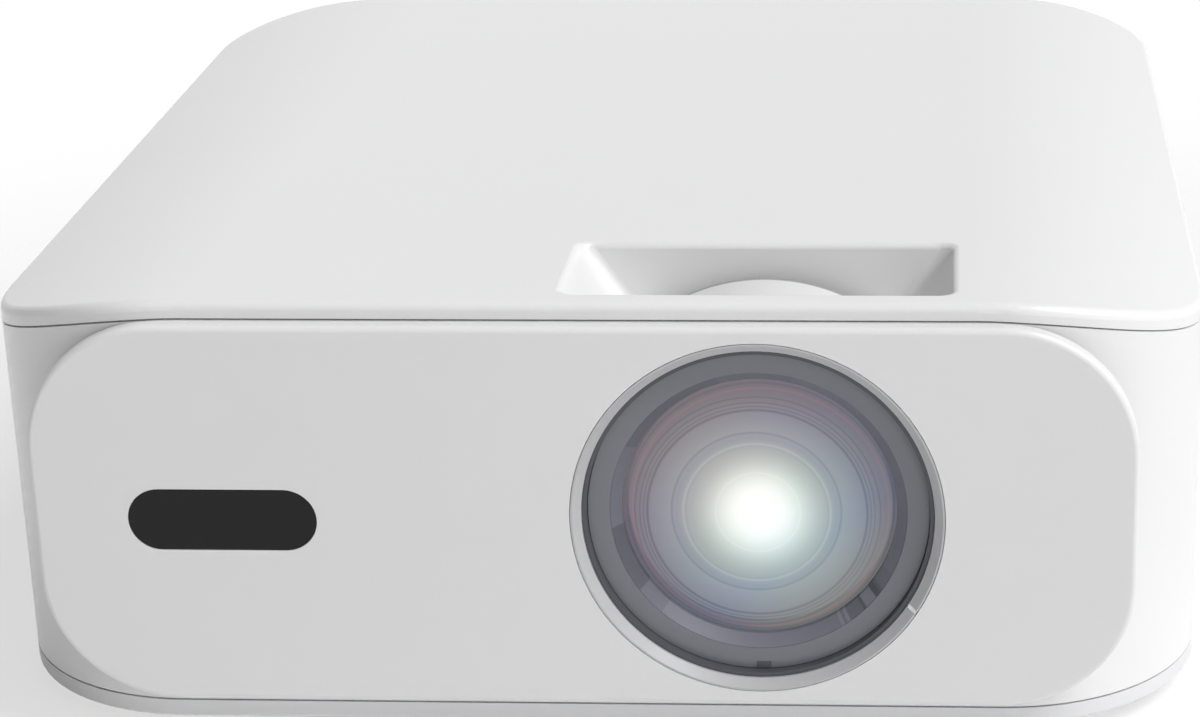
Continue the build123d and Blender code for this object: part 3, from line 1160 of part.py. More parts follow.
CONDENSER_AXIS = Axis((CONDENSER_X, ENGINE_MID_Y, LENS_Z), (1, 0, 0))
with BuildPart() as condenser_lens:
    with BuildSketch(Plane(origin=(CONDENSER_X, ENGINE_MID_Y, LENS_Z), x_dir=(1, 0, 0), z_dir=(0, -1, 0))):
        with BuildLine():
            half_edge = CONDENSER_EDGE / 2
            crown = half_edge + cap_height(CONDENSER_RADIUS, CONDENSER_CURVE)
            TangentArc((crown, 0), (half_edge, CONDENSER_RADIUS), tangent=(0, 1))
            Polyline((half_edge, CONDENSER_RADIUS), (-half_edge, CONDENSER_RADIUS),
                     (-half_edge, 0), (crown, 0))
        make_face()
    revolve(axis=CONDENSER_AXIS)
condenser_lens.part.label = "condenser_lens"
export_step(condenser_lens.part, "parts/condenser_lens.step")

with BuildPart() as led_board:
    with BuildSketch(Plane.YZ.offset(ENGINE_LEFT)):
        with Locations((ENGINE_MID_Y, LENS_Z)):
            Rectangle(LED_BOARD_SIDE, LED_BOARD_SIDE)
    extrude(amount=-LED_BOARD_THICKNESS)
    with BuildSketch(Plane.YZ.offset(ENGINE_LEFT)):
        with Locations((ENGINE_MID_Y, LENS_Z)):
            Rectangle(LED_SIDE, LED_SIDE)
    extrude(amount=LED_HEIGHT)
led_board.part.label = "led_board"
export_step(led_board.part, "parts/led_board.step")

SINK_FACE_X = ENGINE_LEFT - LED_BOARD_THICKNESS
SINK_PITCH = (SINK_DEPTH - SINK_FIN_THICKNESS) / (SINK_FINS - 1)
with BuildPart() as heatsink:
    with BuildSketch(Plane.YZ.offset(SINK_FACE_X)):
        with Locations((ENGINE_MID_Y, LENS_Z)):
            Rectangle(SINK_DEPTH, SINK_HEIGHT)
    extrude(amount=-SINK_BASE)
    with BuildSketch(Plane.YZ.offset(SINK_FACE_X - SINK_BASE)):
        with Locations((ENGINE_MID_Y, LENS_Z)):
            with GridLocations(SINK_PITCH, 0, SINK_FINS, 1):
                Rectangle(SINK_FIN_THICKNESS, SINK_HEIGHT)
    extrude(amount=FAN_X + FAN_THICKNESS / 2 - SINK_FACE_X + SINK_BASE)
heatsink.part.label = "heatsink"
export_step(heatsink.part, "parts/heatsink.step")

# ---------------------------------------------------------------- exhaust fan behind the left grille
FAN_PLANE = Plane(origin=(FAN_X, ENGINE_MID_Y, LENS_Z), x_dir=(0, 1, 0), z_dir=(1, 0, 0))
FAN_INNER = FAN_PLANE.offset(FAN_THICKNESS / 2)
FAN_OUTER = FAN_PLANE.offset(-FAN_THICKNESS / 2)
BLADE_ROOT_ANGLE = 42.0
BLADE_TIP_ANGLE = 24.0
BLADE_ROOT_LENGTH = 10.0
BLADE_TIP_LENGTH = 12.4

with BuildPart() as exhaust_fan_frame:
    with BuildSketch(FAN_OUTER):
        RectangleRounded(FAN_SIDE, FAN_SIDE, FAN_CORNER)
        Circle(FAN_BORE, mode=Mode.SUBTRACT)
        with GridLocations(FAN_SCREW_SPACING, FAN_SCREW_SPACING, 2, 2):
            Circle(FAN_SCREW_RADIUS, mode=Mode.SUBTRACT)
    extrude(amount=FAN_THICKNESS)
    with BuildSketch(FAN_INNER):
        Circle(FAN_HUB)
        with PolarLocations((FAN_BORE + FAN_HUB) / 2, 4, start_angle=45):
            Rectangle(FAN_BORE - FAN_HUB + 2 * STRUT_THICKNESS, STRUT_WIDTH)
    extrude(amount=-STRUT_THICKNESS)
exhaust_fan_frame.part.label = "exhaust_fan_frame"
export_step(exhaust_fan_frame.part, "parts/exhaust_fan_frame.step")

HUB_GAP = 0.6
HUB_EDGE_RADIUS = 1.5
HUB_HEIGHT = FAN_THICKNESS - STRUT_THICKNESS - 2 * HUB_GAP
IMPELLER_FACE = FAN_OUTER.offset(HUB_GAP)
IMPELLER_MIDDLE = IMPELLER_FACE.offset(HUB_HEIGHT / 2)
BLADE_SECTIONS = [
    (FAN_HUB - HUB_EDGE_RADIUS, BLADE_ROOT_LENGTH, BLADE_ROOT_ANGLE),
    (FAN_BORE - FAN_TIP_GAP, BLADE_TIP_LENGTH, BLADE_TIP_ANGLE)]


def fan_blade(turn):
    """Twisted blade from the hub to the tip circle, turned to its place round the hub."""
    with BuildPart(mode=Mode.PRIVATE) as blade:
        for reach, length, pitch_angle in BLADE_SECTIONS:
            section = Plane(origin=IMPELLER_MIDDLE.from_local_coords((reach, 0, 0)), x_dir=(0, 0, 1),
                            z_dir=IMPELLER_MIDDLE.x_dir)
            with BuildSketch(section.rotated((0, 0, pitch_angle))):
                Rectangle(length, FAN_BLADE_THICKNESS)
        loft(ruled=True)
    return blade.part.rotate(Axis(IMPELLER_MIDDLE.origin, IMPELLER_MIDDLE.z_dir), 360 * turn / FAN_BLADES)


BLADES = [fan_blade(turn) for turn in range(FAN_BLADES)]
with BuildPart() as exhaust_impeller:
    with BuildSketch(IMPELLER_FACE):
        Circle(FAN_HUB)
    extrude(amount=HUB_HEIGHT)
    fillet(exhaust_impeller.edges().sort_by(Axis.X)[0], HUB_EDGE_RADIUS)
    for blade in BLADES:
        add(blade)
    with BuildSketch(IMPELLER_FACE):
        Circle(FAN_BORE + MARGIN)
        Circle(FAN_BORE - FAN_TIP_GAP, mode=Mode.SUBTRACT)
    extrude(amount=HUB_HEIGHT, mode=Mode.SUBTRACT)
exhaust_impeller.part.label = "exhaust_impeller"
export_step(exhaust_impeller.part, "parts/exhaust_impeller.step")

with BuildPart() as exhaust_grille:
    left_plane = Plane(origin=(LEFT_X, GRILLE_Y, GRILLE_Z), x_dir=(0, -1, 0), z_dir=(-1, 0, 0))
    add(vent_plate(left_plane, GRILLE_LENGTH - SNAP_GAP, GRILLE_HEIGHT - SNAP_GAP))
exhaust_grille.part.label = "exhaust_grille"
export_step(exhaust_grille.part, "parts/exhaust_grille.step")

with BuildPart() as intake_grille:
    right_plane = Plane(origin=(RIGHT_X, GRILLE_Y, GRILLE_Z), x_dir=(0, 1, 0), z_dir=(1, 0, 0))
    add(vent_plate(right_plane, GRILLE_LENGTH - SNAP_GAP, GRILLE_HEIGHT - SNAP_GAP))
intake_grille.part.label = "intake_grille"
export_step(intake_grille.part, "parts/intake_grille.step")

# ---------------------------------------------------------------- disc drive chassis
CHASSIS_MID_X = (CHASSIS_FRONT_X + CHASSIS_BACK_X) / 2
CHASSIS_WIDTH = CHASSIS_FAR_Y - CHASSIS_NEAR_Y
CHASSIS_FLOOR_TOP = above(CHASSIS_BOTTOM + CHASSIS_FLOOR)
TRAY_RUNNER_Z = above(TRAY_BOTTOM - TRAY_RUNNER_DROP)
RAIL_TOP = TRAY_RUNNER_Z - RAIL_GAP
PIVOT_Z = above(PIVOT_UP)
RACK_ROOT_Y = DRIVE_Y - TRAY_WIDTH / 2 + RACK_NEAR_EDGE + RACK_BACK
RACK_PITCH_Y = RACK_ROOT_Y + DEDENDUM * RACK_MODULE
PINION_RADIUS = PINION_TEETH * RACK_MODULE / 2
GEAR_Y = RACK_PITCH_Y + PINION_RADIUS
PULLEY_GEAR_X = DRIVE_GEAR_X + (DRIVE_TEETH + SMALL_TEETH) * GEAR_MODULE / 2
GEAR_POSTS = [(DRIVE_GEAR_X, GEAR_Y), (PULLEY_GEAR_X, GEAR_Y)]
LUG_THICKNESS = 3.0
LUG_HALF = 4.5
LUG_OFFSET = 5.0            # from the end of the traverse to the middle of the lug
LUG_YS = (DRIVE_Y + DECK_NEAR - LUG_OFFSET, DRIVE_Y + DECK_FAR + LUG_OFFSET)
TAB_INSET = 22.0
TAB_XS = (CHASSIS_FRONT_X + TAB_INSET, CHASSIS_MID_X, CHASSIS_BACK_X - TAB_INSET)
TAB_BOTTOM = above(TRAY_TOP) + 2 * RAIL_GAP
TAB_REACH = 3.0
WINDOW_CORNER = 4.0
POST_COLLAR = 1.2
GEAR_END_GAP = 0.3

with BuildPart() as loader_chassis:
    with BuildSketch(Plane.XY.offset(above(CHASSIS_BOTTOM))):
        with Locations((CHASSIS_MID_X, DRIVE_Y)):
            Rectangle(CHASSIS_LENGTH, CHASSIS_WIDTH)
    extrude(amount=CHASSIS_TOP - CHASSIS_BOTTOM)
    with BuildSketch(Plane.XY.offset(CHASSIS_FLOOR_TOP)):
        with Locations((CHASSIS_MID_X, DRIVE_Y)):
            Rectangle(CHASSIS_LENGTH - 2 * CHASSIS_WALL, CHASSIS_WIDTH - 2 * CHASSIS_WALL)
    extrude(amount=CHASSIS_TOP, mode=Mode.SUBTRACT)
    with BuildSketch(Plane.XY.offset(above(CHASSIS_BAR_TOP))):
        with Locations((CHASSIS_MID_X, DRIVE_Y)):
            Rectangle(CHASSIS_LENGTH + MARGIN, CHASSIS_WIDTH - 2 * CHASSIS_WALL)
    extrude(amount=CHASSIS_TOP, mode=Mode.SUBTRACT)
    with BuildSketch(Plane.XY.offset(above(CHASSIS_BOTTOM))):
        with Locations((DISC_X + (WINDOW_LEFT + WINDOW_RIGHT) / 2,
                        DRIVE_Y + (WINDOW_NEAR + WINDOW_FAR) / 2)):
            RectangleRounded(WINDOW_RIGHT - WINDOW_LEFT, WINDOW_FAR - WINDOW_NEAR, WINDOW_CORNER)
    extrude(amount=CHASSIS_FLOOR, mode=Mode.SUBTRACT)
    for side, wall_y in ((1, CHASSIS_NEAR_Y + CHASSIS_WALL), (-1, CHASSIS_FAR_Y - CHASSIS_WALL)):
        with BuildSketch(Plane.XY.offset(RAIL_TOP)):
            with Locations((CHASSIS_MID_X, wall_y + side * RAIL_WIDTH / 2)):
                Rectangle(CHASSIS_LENGTH, RAIL_WIDTH)
        extrude(amount=-RAIL_THICKNESS)
        with BuildSketch(Plane.XY.offset(TAB_BOTTOM)):
            for x in TAB_XS:
                with Locations((x, wall_y + side * TAB_REACH / 2)):
                    Rectangle(GUIDE_TAB_LENGTH, TAB_REACH)
        extrude(amount=GUIDE_TAB_THICKNESS)
    with BuildSketch(Plane.XY.offset(CHASSIS_FLOOR_TOP)):
        with Locations(*GEAR_POSTS):
            Circle(GEAR_POST_RADIUS + POST_COLLAR)
    extrude(amount=above(GEAR_BOTTOM - GEAR_END_GAP) - CHASSIS_FLOOR_TOP)
    with BuildSketch(Plane.XY.offset(CHASSIS_FLOOR_TOP)):
        with Locations(*GEAR_POSTS):
            Circle(GEAR_POST_RADIUS)
    extrude(amount=above(PINION_TOP + GEAR_END_GAP) - CHASSIS_FLOOR_TOP)
    for lug_y in LUG_YS:
        with BuildSketch(upright(lug_y + LUG_THICKNESS / 2)):
            with Locations((PIVOT_X, PIVOT_Z)):
                Circle(LUG_HALF)
            with Locations((PIVOT_X, (PIVOT_Z + CHASSIS_FLOOR_TOP) / 2)):
                Rectangle(2 * LUG_HALF, PIVOT_Z - CHASSIS_FLOOR_TOP)
            with Locations((PIVOT_X, PIVOT_Z)):
                Circle(PIVOT_PIN_RADIUS + GEAR_BORE_CLEARANCE, mode=Mode.SUBTRACT)
        extrude(amount=LUG_THICKNESS)
loader_chassis.part.label = "loader_chassis"
export_step(loader_chassis.part, "parts/loader_chassis.step")

# ---------------------------------------------------------------- tray and its door
TRAY_FRONT_X = LEFT_X + DOOR_THICKNESS
TRAY_LENGTH = TRAY_END_X - TRAY_FRONT_X
TRAY_MID_X = (TRAY_END_X + TRAY_FRONT_X) / 2
RECESS_FLOOR = above(TRAY_TOP - DISC_RECESS_DEPTH)
SCOOP_WIDTH = 13.0          # finger scoop at the front edge of the disc
SCOOP_LENGTH = 39.0
TRAY_TAIL_RADIUS = 5.0
RACK_TAIL = 6.0             # from the rack's end to the tray's tail

with BuildPart() as disc_tray:
    with BuildSketch(Plane.XY.offset(above(TRAY_BOTTOM))):
        with Locations((TRAY_MID_X, DRIVE_Y)):
            Rectangle(TRAY_LENGTH, TRAY_WIDTH)
    extrude(amount=TRAY_TOP - TRAY_BOTTOM)
    fillet(disc_tray.edges().filter_by(Axis.Z).group_by(Axis.X)[-1], TRAY_TAIL_RADIUS)
    with BuildSketch(Plane.XY.offset(RECESS_FLOOR)):
        with Locations((DISC_X, DRIVE_Y)):
            Circle(DISC_RECESS_RADIUS)
        with Locations((DISC_X - DISC_RECESS_RADIUS, DRIVE_Y)):
            SlotOverall(SCOOP_LENGTH, SCOOP_WIDTH / 2, rotation=90)
    extrude(amount=2 * DISC_RECESS_DEPTH, mode=Mode.SUBTRACT)
    with BuildSketch(Plane.XY.offset(RECESS_FLOOR - SMALL_RECESS_DEPTH)):
        with Locations((DISC_X, DRIVE_Y)):
            Circle(SMALL_RECESS_RADIUS)
    extrude(amount=2 * SMALL_RECESS_DEPTH, mode=Mode.SUBTRACT)
    with BuildSketch(Plane.XY.offset(above(TRAY_BOTTOM))):
        with Locations((DISC_X, DRIVE_Y)):
            Circle(TRAY_SLOT_RADIUS)
        with Locations((DISC_X, DRIVE_Y)):
            Rectangle(TRAY_END_X - DISC_X + MARGIN, 2 * TRAY_SLOT_RADIUS, align=(Align.MIN, Align.CENTER))
    extrude(amount=TRAY_TOP, mode=Mode.SUBTRACT)
    for side in (-1, 1):
        with BuildSketch(Plane.XY.offset(TRAY_RUNNER_Z)):
            with Locations((TRAY_FRONT_X, DRIVE_Y + side * (TRAY_WIDTH - TRAY_RUNNER) / 2)):
                Rectangle(TRAY_LENGTH - TRAY_TAIL_RADIUS, TRAY_RUNNER, align=(Align.MIN, Align.CENTER))
        extrude(amount=TRAY_RUNNER_DROP)
    with BuildSketch(Plane.XY.offset(above(TRAY_BOTTOM - RACK_HEIGHT))):
        with Locations((0, RACK_PITCH_Y)):
            add(rack_outline(RACK_MODULE, RACK_START_X, TRAY_END_X - RACK_TAIL, RACK_BACK,
                             DRIVE_GEAR_X + math.pi * RACK_MODULE / 2))
    extrude(amount=RACK_HEIGHT)
disc_tray.part.label = "disc_tray"
export_step(disc_tray.part, "parts/disc_tray.step")

with BuildPart() as tray_door:
    door_plane = Plane(origin=(LEFT_X, DRIVE_Y, DOOR_Z), x_dir=(0, -1, 0), z_dir=(-1, 0, 0))
    with BuildSketch(door_plane):
        RectangleRounded(TRAY_WIDTH, DOOR_HEIGHT, DOOR_CORNER)
    extrude(amount=-DOOR_THICKNESS)
tray_door.part.label = "tray_door"
export_step(tray_door.part, "parts/tray_door.step")

# ---------------------------------------------------------------- tray gear train, belt and motor
GEAR_BORE = GEAR_POST_RADIUS + GEAR_BORE_CLEARANCE
with BuildPart() as drive_gear:
    with BuildSketch(Plane.XY.offset(above(GEAR_BOTTOM))):
        with Locations((DRIVE_GEAR_X, GEAR_Y)):
            add(gear_outline(DRIVE_TEETH, GEAR_MODULE, 0))
    extrude(amount=GEAR_THICKNESS)
    with BuildSketch(Plane.XY.offset(above(GEAR_BOTTOM))):
        with Locations((DRIVE_GEAR_X, GEAR_Y)):
            Circle(HUB_RADIUS)
    extrude(amount=PINION_BOTTOM - GEAR_BOTTOM)
    with BuildSketch(Plane.XY.offset(above(PINION_BOTTOM))):
        with Locations((DRIVE_GEAR_X, GEAR_Y)):
            add(gear_outline(PINION_TEETH, RACK_MODULE, -90))
    extrude(amount=PINION_TOP - PINION_BOTTOM)
    with BuildSketch(Plane.XY.offset(above(GEAR_BOTTOM))):
        with Locations((DRIVE_GEAR_X, GEAR_Y)):
            Circle(GEAR_BORE)
    extrude(amount=PINION_TOP, mode=Mode.SUBTRACT)
drive_gear.part.label = "drive_gear"
export_step(drive_gear.part, "parts/drive_gear.step")

PULLEY_TOP = PULLEY_BOTTOM + PULLEY_THICKNESS
BELT_MID = above(PULLEY_BOTTOM + PULLEY_THICKNESS / 2)
with BuildPart() as pulley_gear:
    with BuildSketch(Plane.XY.offset(above(GEAR_BOTTOM))):
        with Locations((PULLEY_GEAR_X, GEAR_Y)):
            add(gear_outline(SMALL_TEETH, GEAR_MODULE, 180 + 180 / SMALL_TEETH))
    extrude(amount=PULLEY_BOTTOM - GEAR_BOTTOM)
    with BuildSketch(Plane.XY.offset(above(PULLEY_BOTTOM))):
        with Locations((PULLEY_GEAR_X, GEAR_Y)):
            Circle(PULLEY_RADIUS)
    extrude(amount=PULLEY_THICKNESS)
    with BuildSketch(Plane.XY.offset(BELT_MID - BELT_SIDE / 2 - BELT_GAP)):
        with Locations((PULLEY_GEAR_X, GEAR_Y)):
            Circle(PULLEY_RADIUS + MARGIN)
            Circle(PULLEY_RADIUS - PULLEY_GROOVE, mode=Mode.SUBTRACT)
    extrude(amount=BELT_SIDE + 2 * BELT_GAP, mode=Mode.SUBTRACT)
    with BuildSketch(Plane.XY.offset(above(GEAR_BOTTOM))):
        with Locations((PULLEY_GEAR_X, GEAR_Y)):
            Circle(GEAR_BORE)
    extrude(amount=PULLEY_TOP, mode=Mode.SUBTRACT)
pulley_gear.part.label = "pulley_gear"
export_step(pulley_gear.part, "parts/pulley_gear.step")

MOTOR_EDGE_RADIUS = 1.0
with BuildPart() as loading_motor:
    with BuildSketch(Plane.XY.offset(CHASSIS_FLOOR_TOP)):
        with Locations((MOTOR_X, GEAR_Y)):
            Circle(MOTOR_RADIUS)
    extrude(amount=MOTOR_HEIGHT)
    fillet(loading_motor.edges().group_by(Axis.Z)[-1], MOTOR_EDGE_RADIUS)
    with BuildSketch(Plane.XY.offset(CHASSIS_FLOOR_TOP)):
        with Locations((MOTOR_X, GEAR_Y)):
            Circle(MOTOR_SHAFT_RADIUS)
    extrude(amount=above(PULLEY_TOP + GEAR_END_GAP) - CHASSIS_FLOOR_TOP)
loading_motor.part.label = "loading_motor"
export_step(loading_motor.part, "parts/loading_motor.step")

with BuildPart() as motor_pulley:
    with BuildSketch(Plane.XY.offset(above(PULLEY_BOTTOM))):
        with Locations((MOTOR_X, GEAR_Y)):
            Circle(MOTOR_PULLEY_RADIUS)
            Circle(MOTOR_SHAFT_RADIUS + GEAR_BORE_CLEARANCE, mode=Mode.SUBTRACT)
    extrude(amount=PULLEY_THICKNESS)
    with BuildSketch(Plane.XY.offset(BELT_MID - BELT_SIDE / 2 - BELT_GAP)):
        with Locations((MOTOR_X, GEAR_Y)):
            Circle(MOTOR_PULLEY_RADIUS + MARGIN)
            Circle(MOTOR_PULLEY_RADIUS - PULLEY_GROOVE, mode=Mode.SUBTRACT)
    extrude(amount=BELT_SIDE + 2 * BELT_GAP, mode=Mode.SUBTRACT)
motor_pulley.part.label = "motor_pulley"
export_step(motor_pulley.part, "parts/motor_pulley.step")


def belt_outline(outset):
    """Outline round both pulleys, that far outside the bottoms of their grooves."""
    with BuildSketch(mode=Mode.PRIVATE) as outline:
        with Locations((PULLEY_GEAR_X, GEAR_Y)):
            Circle(PULLEY_RADIUS - PULLEY_GROOVE + outset)
        with Locations((MOTOR_X, GEAR_Y)):
            Circle(MOTOR_PULLEY_RADIUS - PULLEY_GROOVE + outset)
        make_hull()
    return outline.sketch


with BuildPart() as drive_belt:
    with BuildSketch(Plane.XY.offset(BELT_MID - BELT_SIDE / 2)):
        add(belt_outline(BELT_GAP + BELT_SIDE))
        add(belt_outline(BELT_GAP), mode=Mode.SUBTRACT)
    extrude(amount=BELT_SIDE)
drive_belt.part.label = "drive_belt"
export_step(drive_belt.part, "parts/drive_belt.step")

# ---------------------------------------------------------------- traverse, hinged and lowered at rest
TILT = math.radians(TRAVERSE_DROP_ANGLE)
TRAVERSE = Plane(origin=(PIVOT_X, DRIVE_Y, PIVOT_Z), x_dir=(math.cos(TILT), 0, math.sin(TILT)),
                 z_dir=(-math.sin(TILT), 0, math.cos(TILT)))
DECK_TOP = DECK_BOTTOM + DECK_THICKNESS
DECK_MID = ((DECK_LEFT + DECK_RIGHT) / 2, (DECK_NEAR + DECK_FAR) / 2)
SLED_START = SLED_LENS_X - SLED_FRONT
SLED_WINDOW_MARGIN = 1.0
WINDOW_START = SLED_START - SLED_WINDOW_MARGIN
WINDOW_END = SLED_START + SLED_LENGTH + SLED_TRAVEL + SLED_WINDOW_MARGIN
ARM_WIDTH = 7.0
ROD_BLOCK = 3.0
ROD_BLOCK_WIDTH = 6.0
ROD_COVER = 0.8             # material over the rod in its blocks and in the sled's ears
SHAFT_HOLE_GAP = 0.5
FEED_GEAR_RADIUS = FEED_TEETH * FEED_MODULE / 2
SLED_RACK_BACK = 1.2
SLED_RACK_ROOT = ROD_SPACING / 2 + SLED_EAR_WIDTH / 2 + SLED_RACK_BACK
SLED_RACK_PITCH_Y = SLED_RACK_ROOT + DEDENDUM * FEED_MODULE
FEED_GEAR_Y = SLED_RACK_PITCH_Y + FEED_GEAR_RADIUS
ROD_YS = (ROD_SPACING / 2, -ROD_SPACING / 2)


def hinge_section(y):
    """Plane across the hinge's axis at y of the traverse, with its normal towards the front."""
    return Plane(origin=TRAVERSE.from_local_coords((0, y, 0)), x_dir=TRAVERSE.x_dir, z_dir=(0, -1, 0))


def rod_section(y):
    """Plane across a guide rod at its left end."""
    return Plane(origin=TRAVERSE.from_local_coords((ROD_LEFT, y, ROD_HEIGHT)), z_dir=TRAVERSE.x_dir)


with BuildPart() as traverse_frame:
    with BuildSketch(TRAVERSE.offset(DECK_BOTTOM)):
        with Locations(DECK_MID):
            RectangleRounded(DECK_RIGHT - DECK_LEFT, DECK_FAR - DECK_NEAR, DECK_CORNER)
        with Locations(((WINDOW_START + WINDOW_END) / 2, 0)):
            Rectangle(WINDOW_END - WINDOW_START, 2 * DECK_WINDOW_HALF, mode=Mode.SUBTRACT)
        with Locations((FEED_GEAR_X, FEED_GEAR_Y)):
            Circle(FEED_SHAFT_RADIUS + SHAFT_HOLE_GAP, mode=Mode.SUBTRACT)
        with Locations((0, DECK_NEAR + ARM_WIDTH / 2), (0, DECK_FAR - ARM_WIDTH / 2)):
            Rectangle(2 * (PIVOT_BOSS_RADIUS - DECK_RIGHT), ARM_WIDTH)
    extrude(amount=DECK_THICKNESS)
    for y, way in ((DECK_NEAR, 1), (DECK_FAR, -1)):
        with BuildSketch(hinge_section(y)):
            Circle(PIVOT_BOSS_RADIUS)
            with Locations((0, DECK_BOTTOM / 2)):
                Rectangle(2 * PIVOT_BOSS_RADIUS, DECK_BOTTOM)
        extrude(amount=-way * ARM_WIDTH)
        with BuildSketch(hinge_section(y)):
            Circle(PIVOT_PIN_RADIUS)
        extrude(amount=way * (LUG_OFFSET + LUG_THICKNESS / 2))
    with BuildSketch(TRAVERSE.offset(DECK_TOP)):
        with Locations(*[(x, y) for x in (ROD_LEFT, ROD_RIGHT) for y in ROD_YS]):
            Rectangle(ROD_BLOCK, ROD_BLOCK_WIDTH)
    extrude(amount=ROD_HEIGHT - DECK_TOP + ROD_RADIUS + ROD_COVER)
    for y in ROD_YS:
        with BuildSketch(rod_section(y).offset(-ROD_BLOCK)):
            Circle(ROD_RADIUS)
        extrude(amount=ROD_RIGHT - ROD_LEFT + 2 * ROD_BLOCK, mode=Mode.SUBTRACT)
traverse_frame.part.label = "traverse_frame"
export_step(traverse_frame.part, "parts/traverse_frame.step")

with BuildPart() as guide_rods:
    for y in ROD_YS:
        with BuildSketch(rod_section(y).offset(-ROD_BLOCK / 2)):
            Circle(ROD_RADIUS)
        extrude(amount=ROD_RIGHT - ROD_LEFT + ROD_BLOCK)
guide_rods.part.label = "guide_rods"
export_step(guide_rods.part, "parts/guide_rods.step")

SPINDLE_SHAFT_RADIUS = 1.25
ROTOR_GAP = 0.5
with BuildPart() as spindle_motor:
    with BuildSketch(TRAVERSE.offset(DECK_TOP)):
        with Locations((SPINDLE_X, 0)):
            Circle(SPINDLE_MOTOR_RADIUS)
    extrude(amount=SPINDLE_MOTOR_HEIGHT)
    with BuildSketch(TRAVERSE.offset(DECK_TOP)):
        with Locations((SPINDLE_X, 0)):
            Circle(SPINDLE_SHAFT_RADIUS + GEAR_BORE_CLEARANCE)
    extrude(amount=SPINDLE_MOTOR_HEIGHT, mode=Mode.SUBTRACT)
spindle_motor.part.label = "spindle_motor"
export_step(spindle_motor.part, "parts/spindle_motor.step")

with BuildPart() as turntable:
    with BuildSketch(TRAVERSE.offset(DECK_TOP + ROTOR_GAP)):
        with Locations((SPINDLE_X, 0)):
            Circle(SPINDLE_SHAFT_RADIUS)
    extrude(amount=PLATTER_TOP - DECK_TOP - ROTOR_GAP)
    with BuildSketch(TRAVERSE.offset(DECK_TOP + SPINDLE_MOTOR_HEIGHT + ROTOR_GAP)):
        with Locations((SPINDLE_X, 0)):
            Circle(ROTOR_RADIUS)
    extrude(amount=PLATTER_TOP - DECK_TOP - SPINDLE_MOTOR_HEIGHT - ROTOR_GAP)
    with BuildSketch(TRAVERSE.offset(PLATTER_TOP)):
        with Locations((SPINDLE_X, 0)):
            Circle(PLATTER_RADIUS)
    extrude(amount=-PLATTER_THICKNESS)
    with BuildSketch(TRAVERSE.offset(PLATTER_TOP)):
        with Locations((SPINDLE_X, 0)):
            Circle(DISC_HUB_RADIUS)
    extrude(amount=DISC_HUB_HEIGHT, taper=DISC_HUB_TAPER)
turntable.part.label = "turntable"
export_step(turntable.part, "parts/turntable.step")

SLED_MID_X = SLED_START + SLED_LENGTH / 2
SLED_CORNER = 2.0
EAR_INSET = 2.0
RACK_OVERLAP = 0.2          # the rack's back reaches this far into the sled's ear
FEED_RACK_END = FEED_GEAR_X + 4.0
ACTUATOR_SIZE = (16.0, 22.0, 1.6)
ACTUATOR_OFFSET = 5.0
with BuildPart() as pickup_sled:
    with BuildSketch(TRAVERSE.offset(SLED_BOTTOM)):
        with Locations((SLED_MID_X, 0)):
            RectangleRounded(SLED_LENGTH, 2 * SLED_HALF_WIDTH, SLED_CORNER)
    extrude(amount=SLED_TOP - SLED_BOTTOM)
    with BuildSketch(TRAVERSE.offset(ROD_HEIGHT - ROD_RADIUS - ROD_COVER)):
        with Locations((SLED_MID_X, 0)):
            Rectangle(SLED_LENGTH - 2 * EAR_INSET, ROD_SPACING + SLED_EAR_WIDTH)
    extrude(amount=2 * (ROD_RADIUS + ROD_COVER))
    with BuildSketch(TRAVERSE.offset(SLED_TOP)):
        with Locations((SLED_LENS_X + ACTUATOR_OFFSET, 0)):
            RectangleRounded(ACTUATOR_SIZE[0], ACTUATOR_SIZE[1], SLED_CORNER)
    extrude(amount=ACTUATOR_SIZE[2])
    with BuildSketch(TRAVERSE.offset(SLED_TOP)):
        with Locations((SLED_LENS_X, 0)):
            Circle(LENS_HOLDER_RADIUS)
    extrude(amount=LENS_HOLDER_TOP - SLED_TOP)
    for y in ROD_YS:
        with BuildSketch(rod_section(y)):
            Circle(ROD_RADIUS + GEAR_BORE_CLEARANCE)
        extrude(amount=ROD_RIGHT - ROD_LEFT, mode=Mode.SUBTRACT)
    with BuildSketch(TRAVERSE.offset(FEED_GEAR_BOTTOM - RACK_OVERLAP)):
        with Locations((0, SLED_RACK_PITCH_Y)):
            add(rack_outline(FEED_MODULE, SLED_START + EAR_INSET, FEED_RACK_END,
                             SLED_RACK_BACK + RACK_OVERLAP,
                             FEED_GEAR_X + math.pi * FEED_MODULE / 2))
    extrude(amount=FEED_GEAR_THICKNESS + 2 * RACK_OVERLAP)
pickup_sled.part.label = "pickup_sled"
export_step(pickup_sled.part, "parts/pickup_sled.step")

with BuildPart() as feed_motor:
    with BuildSketch(TRAVERSE.offset(DECK_BOTTOM)):
        with Locations((FEED_GEAR_X, FEED_GEAR_Y)):
            Circle(FEED_MOTOR_RADIUS)
    extrude(amount=-FEED_MOTOR_HEIGHT)
    with BuildSketch(TRAVERSE.offset(DECK_BOTTOM)):
        with Locations((FEED_GEAR_X, FEED_GEAR_Y)):
            Circle(FEED_SHAFT_RADIUS)
    extrude(amount=FEED_GEAR_BOTTOM + FEED_GEAR_THICKNESS + GEAR_END_GAP - DECK_BOTTOM)
feed_motor.part.label = "feed_motor"
export_step(feed_motor.part, "parts/feed_motor.step")

